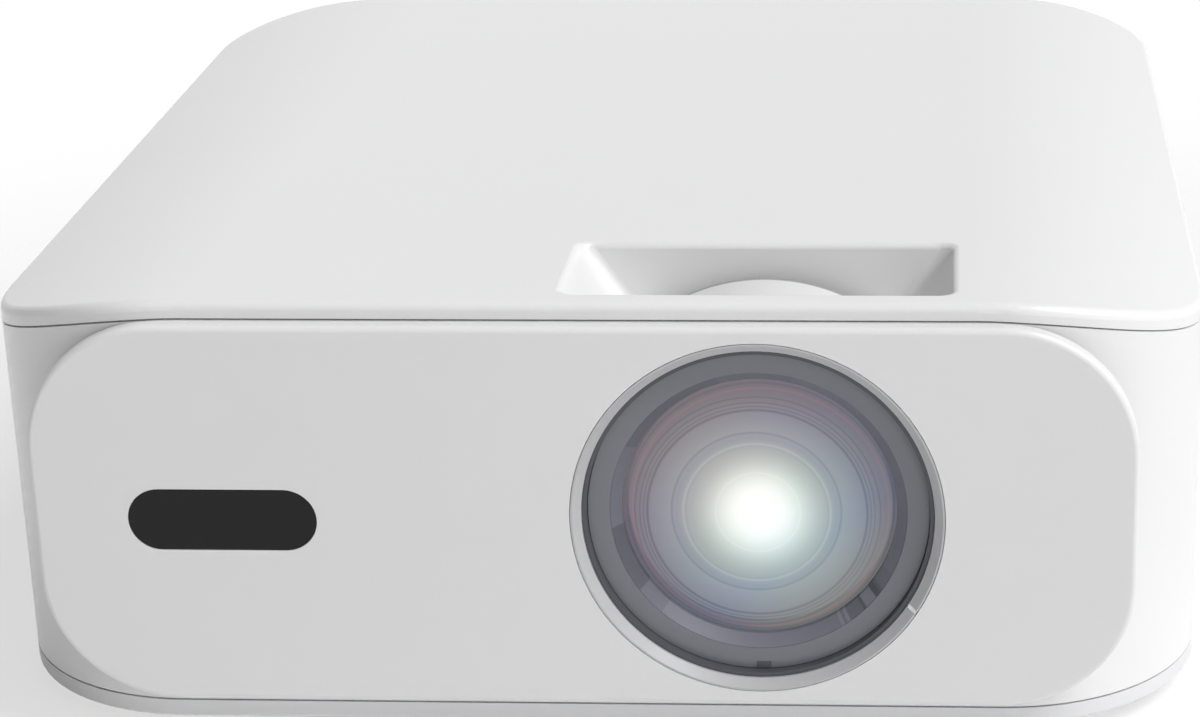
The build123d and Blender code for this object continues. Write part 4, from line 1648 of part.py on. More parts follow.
with BuildPart() as feed_gear:
    with BuildSketch(TRAVERSE.offset(FEED_GEAR_BOTTOM)):
        with Locations((FEED_GEAR_X, FEED_GEAR_Y)):
            add(gear_outline(FEED_TEETH, FEED_MODULE, -90))
            Circle(FEED_SHAFT_RADIUS + GEAR_BORE_CLEARANCE, mode=Mode.SUBTRACT)
    extrude(amount=FEED_GEAR_THICKNESS)
feed_gear.part.label = "feed_gear"
export_step(feed_gear.part, "parts/feed_gear.step")

# ---------------------------------------------------------------- clamp bridge and puck
BRIDGE_Z = above(CHASSIS_TOP)
PUCK_TOP = BRIDGE_Z + BRIDGE_THICKNESS + PUCK_FLANGE_THICKNESS
with BuildPart() as clamp_bridge:
    with BuildSketch(Plane.XY.offset(BRIDGE_Z)):
        with Locations((DISC_X, DRIVE_Y)):
            RectangleRounded(2 * BRIDGE_HALF_WIDTH, CHASSIS_WIDTH, BRIDGE_CORNER)
            Circle(PUCK_STEM_RADIUS + PUCK_CLEARANCE, mode=Mode.SUBTRACT)
    extrude(amount=BRIDGE_THICKNESS)
clamp_bridge.part.label = "clamp_bridge"
export_step(clamp_bridge.part, "parts/clamp_bridge.step")

with BuildPart() as clamp_puck:
    with BuildSketch(Plane.XY.offset(above(PUCK_BOTTOM))):
        with Locations((DISC_X, DRIVE_Y)):
            Circle(PUCK_STEM_RADIUS)
    extrude(amount=PUCK_TOP - above(PUCK_BOTTOM))
    with BuildSketch(Plane.XY.offset(PUCK_TOP)):
        with Locations((DISC_X, DRIVE_Y)):
            Circle(PUCK_FLANGE_RADIUS)
    extrude(amount=-PUCK_FLANGE_THICKNESS)
clamp_puck.part.label = "clamp_puck"
export_step(clamp_puck.part, "parts/clamp_puck.step")

# ---------------------------------------------------------------- buttons and switches
EJECT_AT = (LEFT_X, BACK_Y - EJECT_FROM_BACK, above(EJECT_UP))
EJECT_PLANE = Plane(origin=EJECT_AT, x_dir=(0, -1, 0), z_dir=(-1, 0, 0))
POWER_PLANE = Plane(origin=(POWER_X, BACK_Y, above(POWER_UP)), x_dir=(-1, 0, 0), z_dir=(0, 1, 0))
STEM = WALL + BUTTON_END_GAP
with BuildPart() as eject_button:
    with BuildSketch(EJECT_PLANE):
        SlotOverall(EJECT_LENGTH, EJECT_WIDTH)
    extrude(amount=-STEM)
    fillet(eject_button.faces().sort_by(Axis.X)[0].edges(), BUTTON_EDGE_RADIUS)
    with BuildSketch(EJECT_PLANE.offset(-STEM)):
        SlotOverall(EJECT_LENGTH + 2 * BUTTON_FLANGE, EJECT_WIDTH + 2 * BUTTON_FLANGE)
    extrude(amount=-BUTTON_FLANGE_THICKNESS)
eject_button.part.label = "eject_button"
export_step(eject_button.part, "parts/eject_button.step")

with BuildPart() as power_button:
    with BuildSketch(POWER_PLANE):
        Circle(POWER_RADIUS)
    extrude(amount=-STEM - BACK_FLANGE_THICKNESS)
    fillet(power_button.faces().sort_by(Axis.Y)[-1].edges(), BUTTON_EDGE_RADIUS)
    with BuildSketch(POWER_PLANE.offset(-STEM - BACK_FLANGE_THICKNESS)):
        Circle(POWER_RADIUS + BUTTON_FLANGE)
    extrude(amount=-BUTTON_FLANGE_THICKNESS)
power_button.part.label = "power_button"
export_step(power_button.part, "parts/power_button.step")

SWITCH_GAP = BUTTON_TRAVEL + 0.15
EJECT_BUTTON_BACK = STEM + BUTTON_FLANGE_THICKNESS
EJECT_BOARD_BACK = CHASSIS_FRONT_X - LEFT_X
POWER_BUTTON_BACK = STEM + BACK_FLANGE_THICKNESS + BUTTON_FLANGE_THICKNESS
POWER_SWITCH_BODY = 2.6
POWER_BOARD_BACK = POWER_BUTTON_BACK + SWITCH_GAP + SWITCH_PLUNGER_LENGTH + POWER_SWITCH_BODY + SWITCH_BOARD


def key_switch(plane, button_back, board_back):
    """Push switch on its small board, with its plunger a gap behind the button's back."""
    with BuildPart(mode=Mode.PRIVATE) as switch:
        with BuildSketch(plane.offset(-board_back)):
            Rectangle(SWITCH_BOARD_SIDE, SWITCH_BOARD_SIDE)
        extrude(amount=SWITCH_BOARD)
        with BuildSketch(plane.offset(-board_back + SWITCH_BOARD)):
            Rectangle(SWITCH_SIDE, SWITCH_SIDE)
        extrude(amount=board_back - SWITCH_BOARD - button_back - SWITCH_GAP - SWITCH_PLUNGER_LENGTH)
        with BuildSketch(plane.offset(-board_back + SWITCH_BOARD)):
            Circle(SWITCH_PLUNGER_RADIUS)
        extrude(amount=board_back - SWITCH_BOARD - button_back - SWITCH_GAP)
    return switch.part


with BuildPart() as key_switches:
    add(key_switch(EJECT_PLANE, EJECT_BUTTON_BACK, EJECT_BOARD_BACK))
    add(key_switch(POWER_PLANE, POWER_BUTTON_BACK, POWER_BOARD_BACK))
key_switches.part.label = "key_switches"
export_step(key_switches.part, "parts/key_switches.step")

# ---------------------------------------------------------------- boards
CHIP_IN = 50.0
CHIP_UP = 40.0
CHIP_SIDE = 26.0
CAPACITORS_IN = 16.0
CAPACITORS_UP = 30.0
MEMORY_IN = 20.0
MEMORY_UP = 35.0
BOARD_Z = above(BOARD_BOTTOM)
BOARD_TOP = above(BOARD_BOTTOM + BOARD_THICKNESS)
CHIP_AT = (BOARD_LEFT + CHIP_IN, BOARD_NEAR_Y + CHIP_UP)
CHIP_SINK_BASE = 2.0
CHIP_SINK_FINS = 5
CHIP_SINK_FIN_THICKNESS = 1.4
CHIP_SINK_HEIGHT = 9.0
CAPACITORS_AT = (BOARD_RIGHT - CAPACITORS_IN, BOARD_NEAR_Y + CAPACITORS_UP)
CAPACITOR_PITCH = 12.0
CAPACITOR_RADIUS = 3.2
CAPACITOR_HEIGHT = 9.0
MEMORY_AT = (BOARD_LEFT + MEMORY_IN, BOARD_NEAR_Y + MEMORY_UP)
MEMORY_SIZE = (12.0, 16.0, 1.2)
MEMORY_PITCH = 26.0
with BuildPart() as main_board:
    with BuildSketch(Plane.XY.offset(BOARD_Z)):
        with Locations(((BOARD_LEFT + BOARD_RIGHT) / 2, (BOARD_NEAR_Y + BOARD_FAR_Y) / 2)):
            Rectangle(BOARD_LENGTH, BOARD_FAR_Y - BOARD_NEAR_Y)
    extrude(amount=BOARD_THICKNESS)
    with BuildSketch(Plane.XY.offset(BOARD_TOP)):
        with Locations(CHIP_AT):
            Rectangle(CHIP_SIDE, CHIP_SIDE)
    extrude(amount=CHIP_SINK_BASE)
    with BuildSketch(Plane.XY.offset(BOARD_TOP + CHIP_SINK_BASE)):
        with Locations(CHIP_AT):
            with GridLocations(CHIP_SIDE / CHIP_SINK_FINS, 0, CHIP_SINK_FINS, 1):
                Rectangle(CHIP_SINK_FIN_THICKNESS, CHIP_SIDE)
    extrude(amount=CHIP_SINK_HEIGHT)
    with BuildSketch(Plane.XY.offset(BOARD_TOP)):
        with Locations(CAPACITORS_AT):
            with GridLocations(0, CAPACITOR_PITCH, 1, 3):
                Circle(CAPACITOR_RADIUS)
    extrude(amount=CAPACITOR_HEIGHT)
    with BuildSketch(Plane.XY.offset(BOARD_TOP)):
        with Locations(MEMORY_AT):
            with GridLocations(0, MEMORY_PITCH, 1, 2):
                Rectangle(MEMORY_SIZE[0], MEMORY_SIZE[1])
    extrude(amount=MEMORY_SIZE[2])
main_board.part.label = "main_board"
export_step(main_board.part, "parts/main_board.step")

TRANSFORMER_SIZE = (28.0, 24.0, 22.0)
BULK_CAPACITOR_RADIUS = 9.0
BULK_CAPACITOR_HEIGHT = 24.0
OUTPUT_CAPACITOR_RADIUS = 5.0
OUTPUT_CAPACITOR_HEIGHT = 16.0
OUTPUT_CAPACITOR_PITCH = 14.0
COOLING_PLATE_SIZE = (3.0, 40.0, 18.0)
BULK_CAPACITOR_OFFSET = 32.0
OUTPUT_CAPACITOR_OFFSET = 34.0
COOLING_PLATE_OFFSET = 6.0
POWER_BOARD_X = (POWER_BOARD_LEFT + POWER_BOARD_RIGHT) / 2
POWER_BOARD_Y = (POWER_BOARD_NEAR_Y + POWER_BOARD_FAR_Y) / 2
with BuildPart() as power_board:
    with BuildSketch(Plane.XY.offset(BOARD_Z)):
        with Locations((POWER_BOARD_X, POWER_BOARD_Y)):
            Rectangle(POWER_BOARD_WIDTH, POWER_BOARD_LENGTH)
    extrude(amount=BOARD_THICKNESS)
    with BuildSketch(Plane.XY.offset(BOARD_TOP)):
        with Locations((POWER_BOARD_X, POWER_BOARD_Y)):
            Rectangle(TRANSFORMER_SIZE[0], TRANSFORMER_SIZE[1])
    extrude(amount=TRANSFORMER_SIZE[2])
    with BuildSketch(Plane.XY.offset(BOARD_TOP)):
        with Locations((POWER_BOARD_X, POWER_BOARD_Y + BULK_CAPACITOR_OFFSET)):
            Circle(BULK_CAPACITOR_RADIUS)
    extrude(amount=BULK_CAPACITOR_HEIGHT)
    with BuildSketch(Plane.XY.offset(BOARD_TOP)):
        with Locations((POWER_BOARD_X, POWER_BOARD_Y - OUTPUT_CAPACITOR_OFFSET)):
            with GridLocations(OUTPUT_CAPACITOR_PITCH, 0, 2, 1):
                Circle(OUTPUT_CAPACITOR_RADIUS)
    extrude(amount=OUTPUT_CAPACITOR_HEIGHT)
    with BuildSketch(Plane.XY.offset(BOARD_TOP)):
        with Locations((POWER_BOARD_LEFT + POST_INSET, POWER_BOARD_Y + COOLING_PLATE_OFFSET)):
            Rectangle(COOLING_PLATE_SIZE[0], COOLING_PLATE_SIZE[1])
    extrude(amount=COOLING_PLATE_SIZE[2])
power_board.part.label = "power_board"
export_step(power_board.part, "parts/power_board.step")

# ---------------------------------------------------------------- sockets at the back
SOCKET_Y = BACK_Y - SOCKET_MOUTH_GAP
PANEL_BACK_Y = BACK_Y - WALL - BACK_FLANGE_THICKNESS
SOCKET_BACK = 1.5
TONGUE_SET_BACK = 1.5


def boxed_sockets(places, size, mouth, tongue):
    """Sockets that stand on the main board, each a shell with a mouth to the back and a tongue in it."""
    with BuildPart(mode=Mode.PRIVATE) as sockets:
        middle = BOARD_TOP + size[2] / 2
        with BuildSketch(upright(SOCKET_Y)):
            for x in places:
                with Locations((x, middle)):
                    Rectangle(size[0], size[2])
        extrude(amount=size[1])
        with BuildSketch(upright(SOCKET_Y)):
            for x in places:
                with Locations((x, middle)):
                    Rectangle(mouth[0], mouth[1])
        extrude(amount=size[1] - SOCKET_BACK, mode=Mode.SUBTRACT)
        with BuildSketch(upright(SOCKET_Y - TONGUE_SET_BACK)):
            for x in places:
                with Locations((x, middle)):
                    Rectangle(tongue[0], tongue[1])
        extrude(amount=size[1] - TONGUE_SET_BACK)
    return sockets.part


with BuildPart() as hdmi_sockets:
    add(boxed_sockets(HDMI_X, HDMI_SIZE, HDMI_MOUTH, HDMI_TONGUE))
hdmi_sockets.part.label = "hdmi_sockets"
export_step(hdmi_sockets.part, "parts/hdmi_sockets.step")

with BuildPart() as usb_sockets:
    add(boxed_sockets(USB_X, USB_SIZE, USB_MOUTH, USB_TONGUE))
usb_sockets.part.label = "usb_sockets"
export_step(usb_sockets.part, "parts/usb_sockets.step")

JACK_Z = BOARD_TOP + JACK_SIZE[2] / 2
JACK_NOSE_RADIUS = 3.1
JACK_BODY_Y = PANEL_BACK_Y - SNAP_GAP
with BuildPart() as audio_jacks:
    with BuildSketch(upright(JACK_BODY_Y)):
        for x in JACK_X:
            with Locations((x, JACK_Z)):
                Rectangle(JACK_SIZE[0], JACK_SIZE[2])
    extrude(amount=JACK_SIZE[1])
    with BuildSketch(upright(SOCKET_Y)):
        for x in JACK_X:
            with Locations((x, JACK_Z)):
                Circle(JACK_NOSE_RADIUS)
    extrude(amount=SOCKET_Y - JACK_BODY_Y)
    with BuildSketch(upright(SOCKET_Y)):
        for x in JACK_X:
            with Locations((x, JACK_Z)):
                Circle(JACK_BORE)
    extrude(amount=JACK_DEPTH, mode=Mode.SUBTRACT)
audio_jacks.part.label = "audio_jacks"
export_step(audio_jacks.part, "parts/audio_jacks.step")

INLET_Z = above(INLET_UP)
with BuildPart() as power_inlet:
    with BuildSketch(upright(BACK_Y)):
        with Locations((INLET_X, INLET_Z)):
            RectangleRounded(INLET_SIZE[0], INLET_SIZE[2], INLET_CORNER)
    extrude(amount=INLET_SIZE[1])
    with BuildSketch(upright(PANEL_BACK_Y)):
        with Locations((INLET_X, INLET_Z)):
            RectangleRounded(INLET_SIZE[0] + 2 * INLET_FLANGE, INLET_SIZE[2] + 2 * INLET_FLANGE,
                             INLET_CORNER)
    extrude(amount=FLANGE_THICKNESS)
    with BuildSketch(upright(BACK_Y)):
        with Locations((INLET_X, INLET_Z)):
            SlotOverall(INLET_PIN_SPACING + 2 * INLET_LOBE_RADIUS, 2 * INLET_LOBE_RADIUS)
    extrude(amount=INLET_DEPTH, mode=Mode.SUBTRACT)
    with BuildSketch(upright(BACK_Y - INLET_PIN_SET_BACK)):
        with Locations((INLET_X, INLET_Z)):
            with GridLocations(INLET_PIN_SPACING, 0, 2, 1):
                Circle(INLET_PIN_RADIUS)
    extrude(amount=INLET_DEPTH - INLET_PIN_SET_BACK)
power_inlet.part.label = "power_inlet"
export_step(power_inlet.part, "parts/power_inlet.step")

# ---------------------------------------------------------------- speakers and the back panel
SPEAKER_PLATE = 2.0
SPEAKER_BASKET = 12.0
SPEAKER_MAGNET_RADIUS = 11.0
SPEAKER_MAGNET = 7.0
SPEAKER_CONE = 16.0
SPEAKER_CORNER = 3.0
BASKET_WALL = 2.0
BASKET_TAPER = 25.0
CONE_TAPER = 40.0
CONE_DEPTH = 8.0
SPEAKER_PLACES = [(side * SPEAKER_X, above(SPEAKER_UP)) for side in (-1, 1)]
with BuildPart() as speakers:
    with BuildSketch(upright(PANEL_BACK_Y)):
        with Locations(*SPEAKER_PLACES):
            RectangleRounded(SPEAKER_SIDE, SPEAKER_SIDE, SPEAKER_CORNER)
    extrude(amount=SPEAKER_PLATE)
    with BuildSketch(upright(PANEL_BACK_Y - SPEAKER_PLATE)):
        with Locations(*SPEAKER_PLACES):
            Circle(SPEAKER_CONE + BASKET_WALL)
    extrude(amount=SPEAKER_BASKET - SPEAKER_PLATE, taper=BASKET_TAPER)
    with BuildSketch(upright(PANEL_BACK_Y - SPEAKER_BASKET)):
        with Locations(*SPEAKER_PLACES):
            Circle(SPEAKER_MAGNET_RADIUS)
    extrude(amount=SPEAKER_MAGNET)
    with BuildSketch(upright(PANEL_BACK_Y)):
        with Locations(*SPEAKER_PLACES):
            Circle(SPEAKER_CONE)
    extrude(amount=CONE_DEPTH, taper=CONE_TAPER, mode=Mode.SUBTRACT)
speakers.part.label = "speakers"
export_step(speakers.part, "parts/speakers.step")

with BuildPart() as rear_panel:
    with BuildSketch(upright(BACK_Y)):
        with Locations((0, BACK_PANEL_Z)):
            RectangleRounded(BACK_PANEL_WIDTH - SNAP_GAP, BACK_PANEL_HEIGHT - SNAP_GAP, BACK_PANEL_CORNER)
    extrude(amount=WALL)
    with BuildSketch(upright(BACK_Y - WALL)):
        with Locations((0, BACK_PANEL_Z)):
            RectangleRounded(BACK_PANEL_WIDTH + 2 * BACK_PANEL_FLANGE,
                             BACK_PANEL_HEIGHT + 2 * BACK_PANEL_FLANGE,
                             BACK_PANEL_CORNER + BACK_PANEL_FLANGE)
    extrude(amount=BACK_FLANGE_THICKNESS)
    with BuildSketch(POWER_PLANE.offset(-WALL - BACK_FLANGE_THICKNESS)):
        with GridLocations(SWITCH_POST_PITCH, SWITCH_POST_PITCH, 2, 2):
            Circle(SWITCH_POST_RADIUS)
    extrude(amount=-(POWER_BOARD_BACK - SWITCH_BOARD - WALL - BACK_FLANGE_THICKNESS))
    with BuildSketch(upright(BACK_Y)):
        for place in SPEAKER_PLACES:
            with Locations(place):
                with GridLocations(SPEAKER_SLOT_PITCH, 0, SPEAKER_SLOTS, 1):
                    SlotOverall(SPEAKER_SLOT_LENGTH, SPEAKER_SLOT_WIDTH, rotation=90)
        for places, size in ((HDMI_X, HDMI_SIZE), (USB_X, USB_SIZE)):
            for x in places:
                with Locations((x, BOARD_TOP + size[2] / 2)):
                    Rectangle(size[0] + SNAP_GAP, size[2] + SNAP_GAP)
        for x in JACK_X:
            with Locations((x, JACK_Z)):
                Circle(JACK_NOSE_RADIUS + SNAP_GAP)
        with Locations((INLET_X, INLET_Z)):
            RectangleRounded(INLET_SIZE[0] + SNAP_GAP, INLET_SIZE[2] + SNAP_GAP, INLET_CORNER)
        with Locations((POWER_X, above(POWER_UP))):
            Circle(POWER_RADIUS + BUTTON_GAP)
    extrude(amount=WALL + BACK_FLANGE_THICKNESS, mode=Mode.SUBTRACT)
rear_panel.part.label = "rear_panel"
export_step(rear_panel.part, "parts/rear_panel.step")
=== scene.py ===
"""Dresses a tabletop projector with a disc player, and sets up its studio, camera and lamps.

Places are in metres and the sizes of single pieces are in mm, unless a docstring says otherwise.
"""
import logging
import math
from collections.abc import Sequence
from dataclasses import dataclass
from enum import Enum

import bpy
from mathutils import Matrix, Vector


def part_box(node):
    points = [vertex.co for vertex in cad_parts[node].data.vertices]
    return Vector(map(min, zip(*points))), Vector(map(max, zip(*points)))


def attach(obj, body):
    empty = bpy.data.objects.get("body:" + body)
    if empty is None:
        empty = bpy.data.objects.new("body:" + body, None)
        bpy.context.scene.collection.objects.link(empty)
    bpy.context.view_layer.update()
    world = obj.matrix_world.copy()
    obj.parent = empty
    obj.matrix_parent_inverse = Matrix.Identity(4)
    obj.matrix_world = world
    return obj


logging.basicConfig(level=logging.INFO, format="%(message)s")
log = logging.getLogger("projector")

Pair = tuple[float, float]
Point = tuple[float, float, float]
Colour = tuple[float, float, float]
Stop = tuple[float, Colour]

IMAGE_WIDTH = 1200
MM = 0.001
NOISE_REACH: Pair = (0.2, 0.8)  # a noise factor mostly lies between these
WELD = 0.000002  # in metres, for the two ends of a turned ring's section


class Direction(Enum):
    """Axis that a turned piece is built along."""

    LEFT = (-1.0, 0.0, 0.0)
    FRONT = (0.0, -1.0, 0.0)
    BACK = (0.0, 1.0, 0.0)
    UP = (0.0, 0.0, 1.0)
    DOWN = (0.0, 0.0, -1.0)


class Shading(Enum):
    """Angle in degrees up to which a new piece's edges are shaded smooth."""

    FLAT = 0.0
    SOFT = 35.0
    ROUND = 80.0


class Turning(Enum):
    """Circle that a turned piece starts from: a filled one for a solid, a bare one for a ring."""

    SOLID = "NGON"
    RING = "NOTHING"


class Blend(Enum):
    """How a colour ramp runs between its stops."""

    EVEN = "LINEAR"
    SMOOTH = "B_SPLINE"
    STEPPED = "CONSTANT"


# ---------------------------------------------------------------- finishes
class Graph:
    """Small helper that adds and joins the nodes of one material."""

    def __init__(self, name: str) -> None:
        """Start a material with a shader, its output and the piece's coordinates.

        Args:
            name: name of the material.
        """
        self.material = bpy.data.materials.new(name)
        self.material.use_nodes = True
        self.tree = self.material.node_tree
        self.tree.nodes.clear()
        self.output = self.tree.nodes.new("ShaderNodeOutputMaterial")
        self.shader = self.tree.nodes.new("ShaderNodeBsdfPrincipled")
        self.join(self.shader, "BSDF", self.output, "Surface")
        self.place = self.tree.nodes.new("ShaderNodeTexCoord")

    def node(self, kind: str, **values: object) -> bpy.types.Node:
        """Add a node and set its attributes.

        Args:
            kind: the node's type name.
            **values: attributes to set on the node.

        Returns:
            The new node.
        """
        made = self.tree.nodes.new(kind)
        for key, value in values.items():
            setattr(made, key, value)
        return made

    def join(self, source: bpy.types.Node, output: str | int, target: bpy.types.Node,
             socket: str | int) -> None:
        """Link an output of one node to an input of another."""
        self.tree.links.new(source.outputs[output], target.inputs[socket])

    def set(self, **sockets: object) -> None:
        """Set plain values on the shader's own sockets, by name with underscores for spaces."""
        for key, value in sockets.items():
            self.shader.inputs[key.replace("_", " ")].default_value = value

    def scalar(self, operation: str, source: bpy.types.Node, output: str | int = 0,
               value: float | None = None) -> bpy.types.Node:
        """Add a sum on numbers.

        Args:
            operation: name of the sum.
            source: node that gives the first number.
            output: its output.
            value: the second number, where the sum takes one.

        Returns:
            The node, with its result at output 0.
        """
        made = self.node("ShaderNodeMath", operation=operation)
        if value is not None:
            made.inputs[1].default_value = value
        self.join(source, output, made, 0)
        return made

    def vector(self, operation: str, source: bpy.types.Node, output: str | int = 0,
               value: Sequence[float] | None = None) -> bpy.types.Node:
        """Add a sum on vectors.

        Args:
            operation: name of the sum.
            source: node that gives the first vector.
            output: its output.
            value: the second vector, where the sum takes one.

        Returns:
            The node, with a vector at output 0 or a number at the output named Value.
        """
        made = self.node("ShaderNodeVectorMath", operation=operation)
        if value is not None:
            made.inputs[1].default_value = value
        self.join(source, output, made, 0)
        return made

    def mapped(self, source: bpy.types.Node, output: str | int, reach: Pair, values: Pair = (0.0, 1.0),
               kind: str = "LINEAR") -> bpy.types.Node:
        """Map a number from one range to another.

        Args:
            source: node that gives the number.
            output: its output.
            reach: the numbers that the range starts and ends at.
            values: the results at those ends.
            kind: how the result runs between them.

        Returns:
            The node, with its result at output 0.
        """
        made = self.node("ShaderNodeMapRange", interpolation_type=kind)
        for socket, value in zip(("From Min", "From Max", "To Min", "To Max"), (*reach, *values)):
            made.inputs[socket].default_value = value
        self.join(source, output, made, 0)
        return made

    def ramp(self, source: bpy.types.Node, output: str | int, stops: Sequence[Stop],
             blend: Blend = Blend.EVEN) -> bpy.types.Node:
        """Turn a number into a colour.

        Args:
            source: node that gives the number.
            output: its output.
            stops: position and colour of each stop, in order.
            blend: how the colour runs between the stops.

        Returns:
            The ramp, with the colour at output 0.
        """
        ramp = self.node("ShaderNodeValToRGB")
        ramp.color_ramp.interpolation = blend.value
        elements = ramp.color_ramp.elements
        elements.remove(elements[1])
        for index, (position, colour) in enumerate(stops):
            stop = elements.new(position) if index else elements[0]
            stop.position = position
            stop.color = (*colour, 1.0)
        self.join(source, output, ramp, 0)
        return ramp

    def noise(self, scale: float, detail: float = 2.0, stretch: Point = (1.0, 1.0, 1.0)) -> bpy.types.Node:
        """Add noise on the piece's Object coordinates.

        Args:
            scale: noise scale, per metre.
            detail: octaves of the noise.
            stretch: scale of the mapping along X, Y and Z.

        Returns:
            The noise node, with its factor at output 0.
        """
        mapping = self.node("ShaderNodeMapping")
        mapping.inputs["Scale"].default_value = stretch
        self.join(self.place, "Object", mapping, "Vector")
        noise = self.node("ShaderNodeTexNoise")
        noise.inputs["Scale"].default_value = scale
        noise.inputs["Detail"].default_value = detail
        self.join(mapping, 0, noise, "Vector")
        return noise

    def span(self, source: bpy.types.Node, low: float, high: float) -> bpy.types.Node:
        """Map the usual reach of a noise factor to a range of values."""
        return self.mapped(source, 0, NOISE_REACH, (low, high))

    def tint(self, source: bpy.types.Node, low: Colour, high: Colour) -> bpy.types.Node:
        """Turn the usual reach of a noise factor into the colours between two."""
        return self.ramp(source, 0, tuple(zip(NOISE_REACH, (low, high))))

    def bump(self, source: bpy.types.Node, height: float) -> None:
        """Raise the surface by a node's output 0.

        Args:
            source: node that gives the height.
            height: distance of the full height, in metres.
        """
        bump = self.node("ShaderNodeBump")
        bump.inputs["Strength"].default_value = 1.0
        bump.inputs["Distance"].default_value = height
        self.join(source, 0, bump, "Height")
        self.join(bump, 0, self.shader, "Normal")


def shade(colour: Colour, factor: float) -> Colour:
    """Return a colour made lighter or darker by a factor."""
    return tuple(min(1.0, channel * factor) for channel in colour)


@dataclass(frozen=True)
class Moulded:
    """Injection-moulded or painted plastic with a fine grain. Its grain's depth is in metres."""

    name: str
    colour: Colour
    roughness: float = 0.42
    spread: float = 0.06
    cloud: float = 24.0
    grain: float = 2600.0
    depth: float = 0.000006
    mottle: float = 0.02
    coat: float = 0.0
    coat_roughness: float = 0.12
    specular: float = 0.5
    ior: float = 1.46

    def marks_and_painted_light(self, graph: Graph, tint: bpy.types.Node) -> bpy.types.Node:
        """Return the node whose output 0 is the colour: here the tint, without marks and painted light."""
        return tint

    def material(self) -> bpy.types.Material:
        """Build the finish.

        Returns:
            The node material.
        """
        graph = Graph(self.name)
        cloudy = graph.noise(self.cloud, 1.0)
        tint = graph.tint(cloudy, shade(self.colour, 1 - self.mottle), shade(self.colour, 1 + self.mottle))
        graph.join(self.marks_and_painted_light(graph, tint), 0, graph.shader, "Base Color")
        gloss = graph.span(cloudy, self.roughness - self.spread / 2, self.roughness + self.spread / 2)
        graph.join(gloss, 0, graph.shader, "Roughness")
        graph.bump(graph.noise(self.grain, 1.0), self.depth)
        graph.set(IOR=self.ior, Specular_IOR_Level=self.specular, Coat_Weight=self.coat,
                  Coat_Roughness=self.coat_roughness)
        return graph.material


@dataclass(frozen=True)
class EdgeShadedRing(Moulded):
    """Moulded ring on an axis along Y, with painted shade along its rounded edges.

    The grey band near each edge is painted shade, standing in for the darker reflection on the rounded
    edges. middle is the place of its middle along Y, in metres. The band starts at plain_half and is full
    at its outer half-width, both in mm from there.
    """

    middle: float = -0.10945
    plain_half: float = 8.6
    edge_shade_half: float = 9.5
    edge_shade: Colour = (0.30, 0.30, 0.31)

    def marks_and_painted_light(self, graph: Graph, tint: bpy.types.Node) -> bpy.types.Node:
        """Lay the painted edge shade over the tint near both edges.

        Args:
            graph: the material's graph.
            tint: node of the plain colour.

        Returns:
            The node whose output 0 is the colour.
        """
        sides = graph.node("ShaderNodeSeparateXYZ")
        graph.join(graph.place, "Object", sides, 0)
        apart = graph.scalar("ABSOLUTE", graph.scalar("SUBTRACT", sides, "Y", self.middle))
        edge = graph.mapped(apart, 0, (self.plain_half * MM, self.edge_shade_half * MM), kind="SMOOTHSTEP")
        # painted shade: grey mixed over the tint near both rounded edges
        mix = graph.node("ShaderNodeMixRGB")
        mix.inputs["Color2"].default_value = (*self.edge_shade, 1.0)
        graph.join(edge, 0, mix, "Fac")
        graph.join(tint, 0, mix, "Color1")
        return mix


@dataclass(frozen=True)
class TickedShadedRing(Moulded):
    """Moulded ring on an axis along Y, with ticks and painted light and shade round it.

    Each tone starts at its angle, in degrees from -180 at the left, and is a factor on the colour. The
    broad lighter and darker parts are painted highlights and painted shade, and the narrow stripes are
    partly ticks on the ring and partly painted glints.
    """

    axis: Point = (0.0, 0.0, 0.0)
    tones: tuple[Pair, ...] = ()

    def marks_and_painted_light(self, graph: Graph, tint: bpy.types.Node) -> bpy.types.Node:
        """Multiply the tint by the tone at each angle round the axis, which paints light and shade round
        it.

        Args:
            graph: the material's graph.
            tint: node of the plain colour.

        Returns:
            The node whose output 0 is the colour.
        """
        sides = graph.node("ShaderNodeSeparateXYZ")
        graph.join(graph.vector("SUBTRACT", graph.place, "Object", self.axis), 0, sides, 0)
        angle = graph.scalar("ARCTAN2", sides, "Z")
        graph.join(sides, "X", angle, 1)
        turn = graph.mapped(angle, 0, (-math.pi, math.pi))
        stops = [(degrees / 360 + 0.5, (tone, tone, tone)) for degrees, tone in self.tones]
        toned = graph.vector("MULTIPLY", tint)
        graph.join(graph.ramp(turn, 0, stops, Blend.STEPPED), 0, toned, 1)
        return toned


@dataclass(frozen=True)
class Metal:
    """Turned, brushed or plated metal, its fine lines running across one axis.

    tones are factors on the colour and gloss is added to the roughness, each at the ends of the
    lines' noise. The lines' depth is in metres.
    """

    name: str
    colour: Colour
    roughness: float = 0.3
    lines: Point = (1.0, 1.0, 1.0)
    scale: float = 900.0
    depth: float = 0.000004
    tones: Pair = (0.93, 1.04)
    gloss: Pair = (-0.05, 0.07)

    def material(self) -> bpy.types.Material:
        """Build the finish.

        Returns:
            The node material.
        """
        graph = Graph(self.name)
        graph.set(Metallic=1.0)
        streak = graph.noise(self.scale, 2.0, self.lines)
        tint = graph.tint(streak, *(shade(self.colour, tone) for tone in self.tones))
        graph.join(tint, 0, graph.shader, "Base Color")
        gloss = graph.span(streak, *(self.roughness + change for change in self.gloss))
        graph.join(gloss, 0, graph.shader, "Roughness")
        graph.bump(streak, self.depth)
        return graph.material


